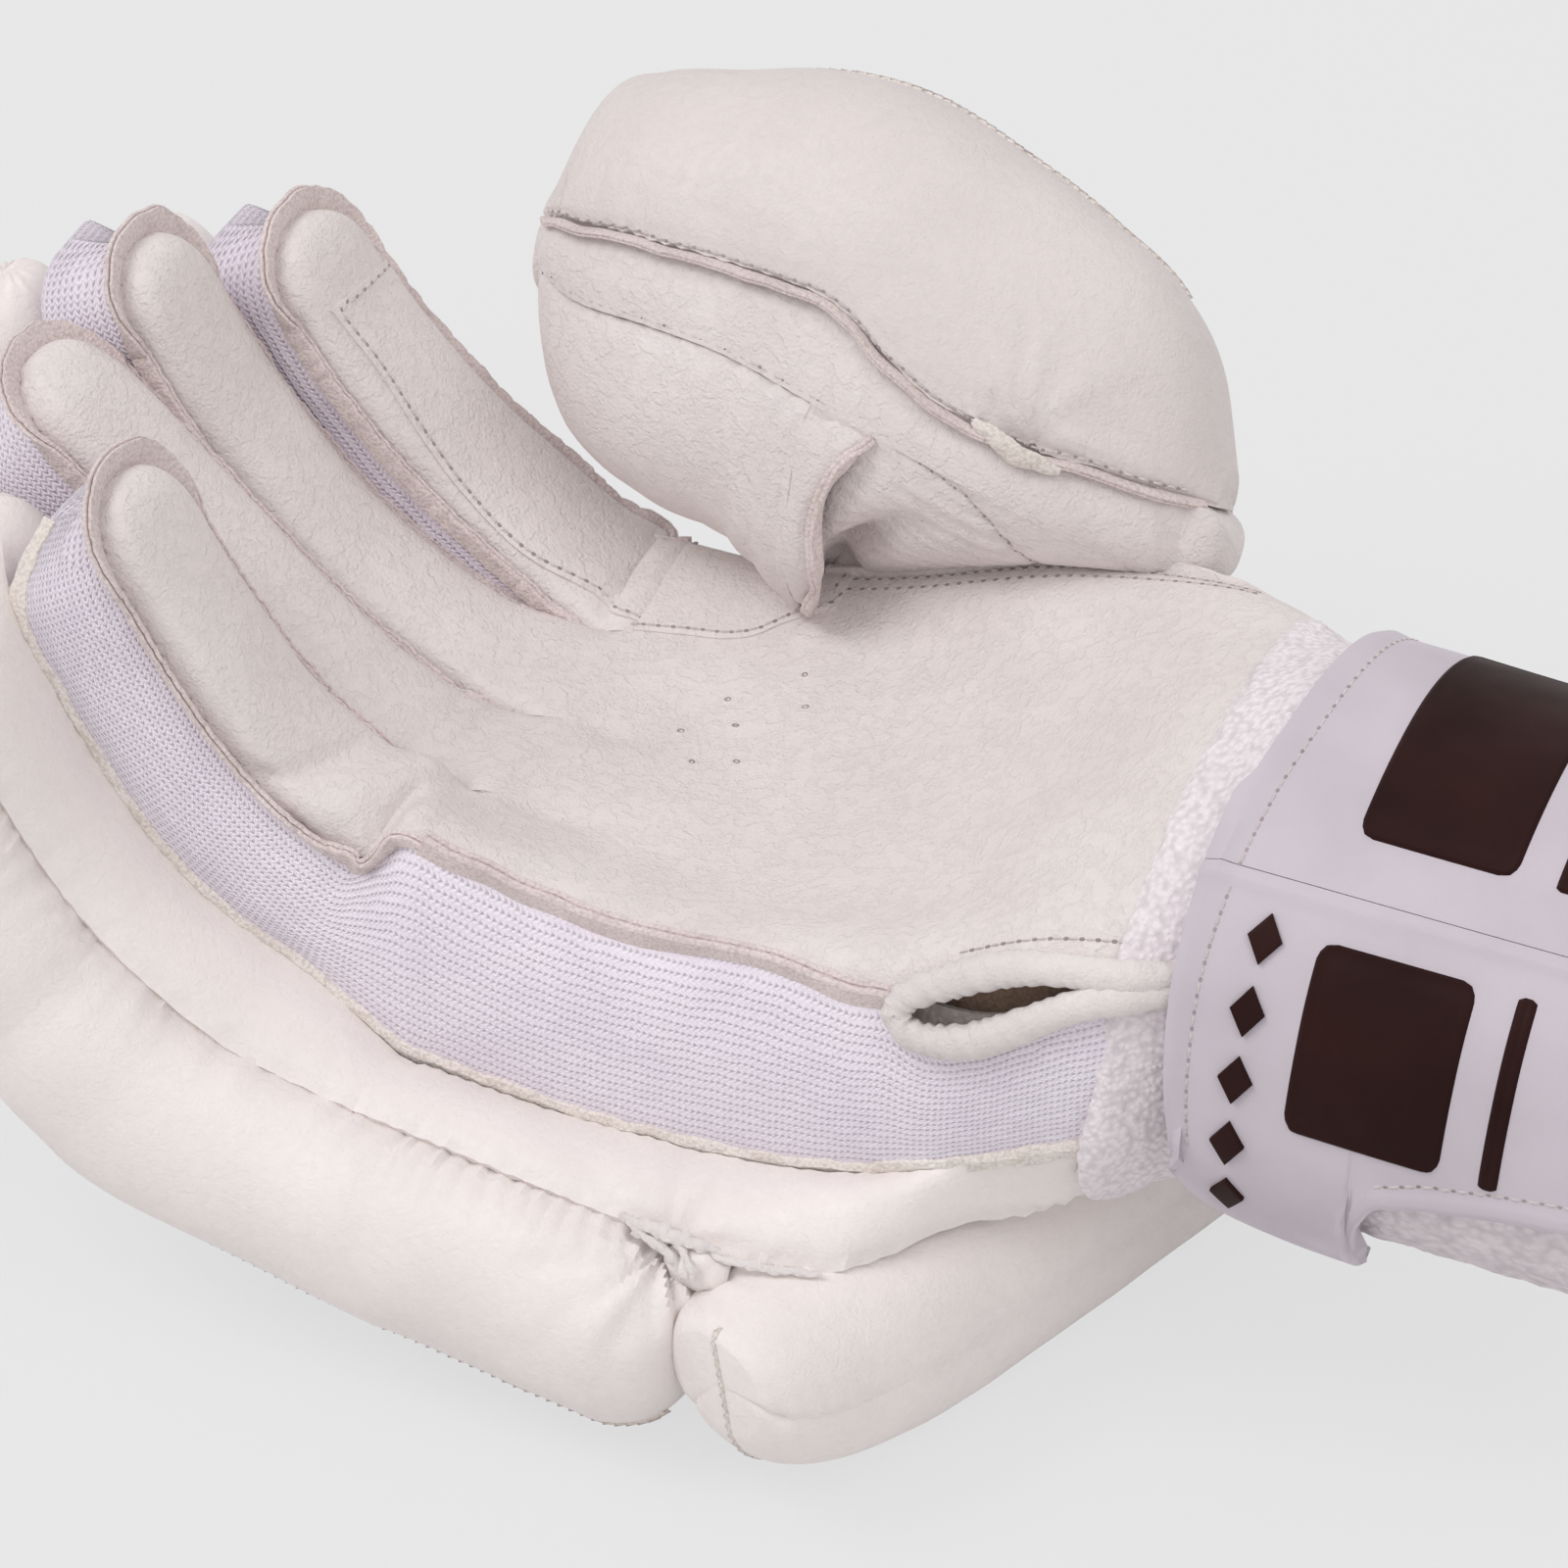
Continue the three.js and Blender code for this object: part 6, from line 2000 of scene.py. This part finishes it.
# raw edge of the shell's seam all round, with its stitches
seamX = np.concatenate([np.linspace(44.5, thumb["tipX"] + 2, 110), np.linspace(thumb["tipX"] + 2, 44.5, 110)])
sideSign = np.concatenate([-np.ones(110), np.ones(110)])
offsetY = np.sqrt(np.clip((seamX - thumb["tipX"]) / 5.0, 0, 1))
path = thumbPlace(
    seamX,
    sideSign * thumbRead("width", seamX) * 0.985 * mix(0.9, 1, offsetY),
    thumbRead("seam", seamX) + 0.25,
)
tip = thumbPlace(thumb["tipX"] - 0.3, np.linspace(-0.28, 0.28, 7)[1:-1] * 25, 16.25)
path = evenly(np.concatenate([path[:110], tip, path[110:]]), 1.0)
tangent = tangentsOf(path)
outward = toUnit(np.cross(thumb["back"], tangent))
if np.dot(outward[30], thumb["across"]) > 0:
    outward = -outward
up = outward * 0.8 - thumb["back"] * 0.55
path = path + noise(path, 5, 1)[:, None] * thumb["back"] * 0.35
section = rimSection(np.full(len(path), 0.95) * (1 + 0.3 * noise(path, 3, 2)), 0.8, 3, path, 0.7)
band = bandPiece("shellSeam", path, up, section, materials["rawEdge"])
ridePiece(band, "thumb", ())
above = path + thumb["back"] * 1.5 + outward * 0.1
piece = stitchRun(
    "shellStitches",
    above[4:-4],
    outward[4:-4] + thumb["back"] * 0.2,
    pitch=2.3,
    length=1.3,
    radius=0.2,
    hole=0.24,
)
ridePiece(piece, "thumb", ())

# small gathered flap at the seam, and the raw seam over the shell's back
angles = roundAngles(9)
fold = thumbPlace(
    np.array([14, 17, 20, 23, 27]),
    -thumbRead("width", np.array([14, 17, 20, 23, 27])) - np.array([0.0, 0.7, 1.2, 0.8, 0.1]),
    thumbRead("seam", np.array([14, 17, 20, 23, 27])) + np.array([1.2, 0.6, 0.2, -0.4, -0.9]),
)
fold = refine(fold, 24)
fold = fold + noise(fold, 2.5, 1)[:, None] * np.array([0.2, 0.3, 0.4])
size = np.sin(np.linspace(0.15, np.pi - 0.1, 24)) ** 0.5
section = np.array(
    [
        [
            (0.75 * k * math.cos(v) * (1 + 0.2 * math.sin(5 * v + 9 * i)), 1.7 * k * math.sin(v))
            for v in angles
        ]
        for i, k in enumerate(size)
    ]
)
piece = bandPiece(
    "shellGather",
    fold,
    np.tile(-thumb["across"] * 0.5 + thumb["back"], (24, 1)),
    section,
    materials["creamEdge"],
)
ridePiece(piece, "thumb", ())
normals = ringNormals(rings)
row = np.arange(30, 92)
columnAt = np.clip((26 + 6 * np.sin((row - 30) / 62 * np.pi)).astype(int), 0, shell["arc"])
path, normal = rings[row, columnAt], normals[row, columnAt]
ridePiece(surfaceSeam("shellBackSeam", path, normal, width=0.8, height=0.35), "thumb", ())
print("thumb ready")

# leather between the palm's seam and the back, and raised seam along it
for name, startX, endX in (
    ("Front", -40, thumb["hole"][0] - 0.3), ("Rear", thumb["hole"][1] - 1.5, hand["endX"] - 0.3)
):
    xs = np.linspace(startX, endX, int((endX - startX) / 1.2) + 2)
    grid = handPoint(xs[:, None], np.linspace(4.02, 6.0, 40)[None])
    normals = normalsOf(grid)
    grid = leatherDents(grid, normals, 0.8)
    piece = sheetPiece(f"radial{name}", grid, 1.3, materials["palm"])
    ridePiece(piece, "palm", [f"radial_{name.lower()}_leather"])

thumbSeam = {"height": 1.5, "thick": 1.6}
xs = np.linspace(-11, 61, 74)
path = handPoint(xs, 3.99)
normal = handNormal(xs, 3.99)
path = path + noise(path, 9, 1)[:, None] * np.array([0, 0.5, 0])
heights = thumbSeam["height"] * (1 - 0.8 * ease((xs - 52) / 8))
section = rimSection(heights, thumbSeam["thick"], 5, path)
piece = bandPiece("palmThumbSeam", path, normal, section, materials["finger"])
ridePiece(piece, "palm", ())

for k, away in enumerate((1.6, 3.4)):
    line = np.linspace(-9, 55, 84)
    points, normal = onLeather(line, outlineStep(line, np.full_like(line, 4.0), -away), 0.02)
    piece = stitchRun(f"palmThumbStitches{k}", points, normal, pitch=2.05, length=1.2, radius=0.2, hole=0.3)
    ridePiece(piece, "palm", ())

# rolled leather binding round the slit
binding = {"radius": (2.5, 2.1), "endX": 74.5, "lift": 1.5, "around": 14, "tuck": 1.5}
into = np.linspace(-1, 1, 190)
xs = slit["start"] - 0.5 + (binding["endX"] - slit["start"] + 0.5) * np.abs(into) ** 1.8
ts = outlineStep(xs, np.zeros_like(xs), np.sign(into) * np.maximum(slitHalf(xs) * 0.98, 0) - slitDrop(xs))
path = handPoint(xs, ts)
normal = handNormal(xs, ts, 0.3)
path = path + normal * (binding["lift"] - binding["tuck"] * ease((xs - 66) / 7))[:, None]
path[1:-1] = (path[:-2] + path[1:-1] + path[2:]) / 3
length = lengthsOf(path)
path = evenly(path, 0.7)
places = np.linspace(0, length[-1], len(path))
normal = readRows(places, length, normal)
middle = length[-1] / 2
angles = roundAngles(binding["around"])
tipNear = bell(places - middle, 13)
section = []
for k in range(len(path)):
    wave = np.sin(places[k] * 2.6 + angles * 2 + 1.5 * math.sin(places[k] * 0.7))
    wrinkle = 1 + (0.05 + 0.07 * tipNear[k]) * wave
    slow = 1 + 0.08 * math.sin(places[k] * 0.23 + 1)
    slow = slow * (1 - 0.3 * ease((path[k, 0] - 67) / 6) - 0.12 * tipNear[k])
    wide, tall = (radius * slow * wrinkle for radius in binding["radius"])
    section.append(np.stack([wide * np.cos(angles), tall * np.sin(angles)], -1))
piece = bandPiece("slitBinding", path, normal, np.array(section), materials["binding"])
ridePiece(piece, "palm", ["slit_binding"])
line = np.linspace(44, 65, 30)
points, normal = onLeather(
    line, outlineStep(line, np.zeros_like(line), slitHalf(line) - slitDrop(line) + 4.6), 0.02
)
ridePiece(
    stitchRun("slitStitches", points, normal, pitch=2.3, length=1.4, radius=0.2), "palm", ()
)

xs = np.linspace(33, 66, 28)
grid = handPoint(xs[:, None], outlineStep(xs[:, None], np.zeros((28, 1)), np.linspace(-14, 16, 24)[None]))
normals = normalsOf(grid)
grid = grid - normals * (5.5 + 0.4 * noise(grid, 8, 1)[..., None])
ridePiece(sheetPiece("slitInside", grid, 0.9, materials["suede"]), "palm", ())

# terry cuff, its loops raised one by one in the mesh
cuff = {
    "start": 65.2,
    "thickness": 2.5,
    "stepX": 1.0,
    "columns": 236,
    "loops": 0.36,
    "bulge": 3.0,
    "reach": 2.4,
}
xs = np.linspace(cuff["start"], hand["cuffEndX"], int((hand["cuffEndX"] - cuff["start"]) / cuff["stepX"]) + 1)
first = outlineStep(xs, np.zeros_like(xs), slitHalf(xs))[:, None]
last = outlineStep(xs, np.full_like(xs, 10.0), -slitHalf(xs))[:, None]
ts = mix(first, last, np.linspace(0, 1, cuff["columns"])[None])
nearHeel = bell(ts - 8.8, 0.55) * bell(xs[:, None] - cuff["start"], 6)
grid = handPoint(xs[:, None] - cuff["reach"] * nearHeel, ts)
normals = normalsOf(grid)
bulge = cuff["bulge"] * nearHeel + 0.9 * bell(xs[:, None] - cuff["start"], 3)
grid = grid + normals * bulge[..., None]
loops = noise(grid, 1.25, 0) * 0.7 + noise(grid, 2.1, 1) * 0.5 + noise(grid, 14, 2) * 0.6
grid = grid + normals * (loops * cuff["loops"] + 0.15)[..., None]
piece = sheetPiece("terryCuff", grid, cuff["thickness"], materials["terry"], roundEdge=0.7)
ridePiece(piece, "palm", ["terry_cuff"])

# lining inside the hand
for name, low, high, node in (
    ("palmLining", 0.04, 4.0, "palm_lining"), ("backLining", 6.0, 9.96, "back_lining")
):
    xs = np.linspace(-34, hand["endX"], 60)
    first = np.full_like(xs, low) if low > 1 else outlineStep(xs, np.full_like(xs, low), slitHalf(xs))
    last = np.full_like(xs, high) if high < 9 else outlineStep(xs, np.full_like(xs, high), -slitHalf(xs))
    grid = handPoint(xs[:, None], mix(first[:, None], last[:, None], np.linspace(0, 1, 70)[None]))
    normals = normalsOf(grid)
    grid = grid - normals * (2.2 + 0.25 * noise(grid, 7, 1)[..., None])
    piece = sheetPiece(name, grid, 0.9, materials["lining"])
    ridePiece(piece, "palm", [node])

# leather over the back, under the rolls
xs = np.linspace(-43, hand["endX"], 88)
grid = handPoint(xs[:, None], np.linspace(6.01, 8.99, 84)[None])
grid = leatherDents(grid, normalsOf(grid), 0.9)
ridePiece(sheetPiece("backLeather", grid, 1.3, materials["roll"]), "palm", ["back_leather"])

# moulded strap
strap = {
    "startX": 75,
    "width": 62,
    "thickness": 2.1,
    "root": 5.45,
    "hinge": 0.76,
    "gap": 0.0025,
    "stitchIn": 4.1,
    "edge": (
        [-3.3, -1.2, -0.5, 0, 0.6, 1.2, 1.9, 3.5, 5.6], [75.2, 75.2, 73.4, 72.8, 73.4, 74.8, 76.8, 78.2, 78]
    ),
    "freeEnd": (
        [75, 77.5, 82, 90, 98, 100.6, 101.6, 103.5, 108, 116, 126, 137],
        [-1.0, -1.3, -1.5, -1.72, -1.92, -1.96, -1.35, -1.02, -0.88, -0.8, -0.74, -0.7],
    ),
    "lift": 2.7,
    "rise": 2.4,
    "riseShare": 1.1,
    "rimWidth": 2.2,
    "rimHeight": 0.55,
    "rowsX": 84,
    "step": 1.1,
}
strapMiddle = strap["startX"] + strap["width"] / 2


def flapLift(t):
    return strap["lift"] + strap["rise"] * ease(-np.asarray(t, float) / strap["riseShare"])


ringT = np.linspace(-3.2, 5.6, 900)
ringLine = handPoint(np.full_like(ringT, strapMiddle), ringT)
ringLength = lengthsOf(ringLine)


def alongRing(t):
    return np.interp(t, ringT, ringLength)


def ringPlace(length):
    return np.interp(length, ringLength, ringT)


def strapSurface(x, t, lift):
    x, t, lift = matched(x, t, lift)
    normal = handNormal(x, t)
    return handPoint(x, t) + normal * lift[..., None], normal


def strapEdge(t):
    # the strap's edge towards the palm, which is a little curved
    return smoothAt(*strap["edge"], t)


def strapSheet(name, low, high, lift, freeAtLow):
    # rows crowd at the rims, so that the raised edge is sharp; low and high give the ends for each x
    share = np.linspace(0, 1, strap["rowsX"])
    share = 0.5 + (share - 0.5) * (1 + 0.55 * (np.abs(2 * share - 1) ** 2 - 1))
    share = ((share - share[0]) / (share[-1] - share[0]))[:, None]
    even = strap["startX"] + strap["width"] * share
    start, end = alongRing(low(even)), alongRing(high(even))
    count = int((end - start).max() / strap["step"]) + 2
    lengths = mix(start, end, np.linspace(0, 1, count)[None])
    t = ringPlace(lengths)
    x = even + (strapEdge(t) - strap["startX"]) * (1 - share) ** 3
    flat = np.stack([x, lengths, 0 * x], -1)
    border = [flat[0, ::-1], flat[:, 0], flat[-1]] if freeAtLow else [flat[0], flat[:, -1], flat[-1, ::-1]]
    fromEdge, _ = nearPath(flat, np.concatenate(border))
    raised = strap["rimHeight"] * (1 - ease((fromEdge - strap["rimWidth"]) / 0.8))
    raised = raised - 0.5 * (1 - ease(fromEdge / 0.7))
    if freeAtLow:
        raised = raised + strap["rimHeight"] * bell(lengths - end + 1.4, 1.0)
    grid, normal = strapSurface(x, t, lift(t) + raised)
    grid = grid + normal * (noise(grid, 30, 1) * 0.5)[..., None]
    return sheetPiece(name, grid, strap["thickness"], materials["rubber"])


base = strapSheet(
    "strapBase",
    lambda x: strap["hinge"] + strap["gap"] + 0 * x,
    lambda x: strap["root"] + 0 * x,
    lambda t: strap["lift"] + 0 * t,
    False,
)
ridePiece(base, "palm", ["strap_base"])
flap = strapSheet(
    "strapFlap",
    lambda x: smoothAt(*strap["freeEnd"], x),
    lambda x: strap["hinge"] - strap["gap"] + 0 * x,
    flapLift,
    True,
)
ridePiece(flap, "flap", ["strap_flap"])


def strapStitches(name, t, x, lift, body):
    points, normal = strapSurface(x, t, lift)
    points = points + normal * (noise(points, 30, 1) * 0.5)[..., None]
    piece = stitchRun(name, points, normal, pitch=2.3, length=1.5, radius=0.22, lift=0.02, hole=0.26)
    ridePiece(piece, body, ())


farEdge = strap["startX"] + strap["width"] - strap["stitchIn"]
t = ringPlace(np.linspace(alongRing(-0.85), alongRing(strap["hinge"]) - 1, 70))
strapStitches("flapStitches0", t, strapEdge(t) + strap["stitchIn"], flapLift(t), "flap")
t = ringPlace(np.linspace(alongRing(-0.45), alongRing(strap["hinge"]) - 1, 50))
strapStitches("flapStitches1", t, np.full_like(t, farEdge), flapLift(t), "flap")
x = np.linspace(105, farEdge, 60)
t = ringPlace(alongRing(smoothAt(*strap["freeEnd"], x)) + 3.6)
strapStitches("flapStitches2", t, x, flapLift(t), "flap")
t = ringPlace(np.linspace(alongRing(strap["hinge"]) + 1, alongRing(strap["root"]) - 3, 130))
for k, edge in enumerate((strapEdge(t) + strap["stitchIn"], np.full_like(t, farEdge))):
    strapStitches(f"baseStitches{k}", t, edge, np.full_like(t, strap["lift"]), "palm")


# raised brown artwork: plain bands and small diamonds
def raisedShape(name, cells, body, lift, height=0.9):
    # outline in (x, length round the wrist), filled from its middle out
    cells = np.array(cells, float)
    centre = cells.mean(0)
    ringsAt = [(1.0, -0.5), (1.0, 0.55), (0.985, 0.82), (0.96, 0.97), (0.93, 1.0), (0.6, 1.0), (0.25, 1.0)]
    points = []
    for share, rise in ringsAt:
        flat = centre + (cells - centre) * share
        t = ringPlace(flat[:, 1])
        made, normal = strapSurface(flat[:, 0], t, lift(t) + rise * height)
        points.append(made + normal * (noise(made, 30, 1) * 0.5)[..., None])
    piece = loftPiece(name, np.array(points), materials["brown"], sharp=50)
    ridePiece(piece, body, ())


def raisedBand(name, xRange, low, high, corner, body, lift, nodes=(), height=0.9):
    start, end = alongRing(low), alongRing(high)
    lengths = np.linspace(start, end, int((end - start) / 0.9) + 1)
    t = ringPlace(lengths)
    fromEnd = np.minimum(lengths - start, end - lengths)
    past = np.maximum(0, corner - fromEnd)
    cut = corner - np.sqrt(np.maximum(corner**2 - past**2, 0))
    share = (1 - np.cos(np.linspace(0, np.pi, 26))) / 2
    x = mix(xRange[0] + cut[None], xRange[1] - cut[None], share[:, None])
    fromEdge = np.minimum(np.minimum(x - xRange[0] - cut[None], xRange[1] - cut[None] - x), fromEnd[None])
    rise = height * (np.clip(fromEdge / 0.7, 0, 1) ** 0.5) - 0.45
    border = -0.22 * bell(fromEdge - 1.7, 0.35)
    grid, normal = strapSurface(x, t[None], lift(t)[None] + rise + border)
    grid = grid + normal * (noise(grid, 30, 1) * 0.5)[..., None]
    piece = sheetPiece(name, grid, 0.5, materials["brown"])
    ridePiece(piece, body, nodes)


motif = {
    "x": (91, 113),
    "base": (1.1, 3.4),
    "flap": (-0.62, 0.5),
    "corner": 3,
    "line": (118, 121),
    "diamonds": (-1.2, 0.4, 5),
    "size": (2.4, 3.2),
}


def flatLift(t):
    return strap["lift"] + 0 * np.asarray(t, float)


raisedBand("baseBand", motif["x"], *motif["base"], motif["corner"], "palm", flatLift, ["strap_base_band"])
raisedBand("flapBand", motif["x"], *motif["flap"], motif["corner"], "flap", flapLift, ["strap_flap_band"])
raisedBand("baseLine", motif["line"], *motif["base"], 1.2, "palm", flatLift)
raisedBand("flapLine", motif["line"], *motif["flap"], 1.2, "flap", flapLift)
low, high, count = motif["diamonds"]
for k, length in enumerate(np.linspace(alongRing(low), alongRing(high), count)):
    outline = [
        (84 + motif["size"][0] * math.cos(v), length + motif["size"][1] * math.sin(v))
        for v in np.radians([0, 90, 180, 270])
    ]
    corners = np.array(outline + outline[:1])
    dense = evenly(np.concatenate([corners, np.zeros((5, 1))], 1), 0.5)[:-1, :2]
    raisedShape(f"diamond{k}", dense, "flap", flapLift, height=0.7)

# loop patch on the cuff, and the hook patch under the flap
def patchSheet(name, low, high, x0, x1, lift, thickness, material, depth):
    start, end = alongRing(low), alongRing(high)
    lengths = np.linspace(start, end, int((end - start) / 0.9) + 1)
    t = ringPlace(lengths)
    x = np.linspace(x0, x1, int((x1 - x0) / 0.9))[:, None]
    grid, normal = strapSurface(x, t[None], lift(t)[None])
    pile = noise(grid, 1.3, 0) * 0.6 + noise(grid, 2.2, 1) * 0.4
    grid = grid + normal * (pile * depth)[..., None]
    return sheetPiece(name, grid, thickness, materials[material], roundEdge=0.4)


piece = patchSheet("loopPatch", -3.0, -0.62, 79, 135, lambda t: 1.2 + 0 * t, 0.9, "loop", 0.35)
ridePiece(piece, "palm", ["loop_patch"])
piece = patchSheet("hookPatch", -1.6, -1.0, 84, 98, lambda t: flapLift(t) - 2.4, 0.9, "hook", 0.12)
ridePiece(piece, "flap", ["hook_patch"])


def dressNode(node, material):
    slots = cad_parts[node].data.materials
    slots.clear()
    slots.append(material)


dressNode("thumb_guard_plate", materials["plate"])
print("cuff and strap ready")
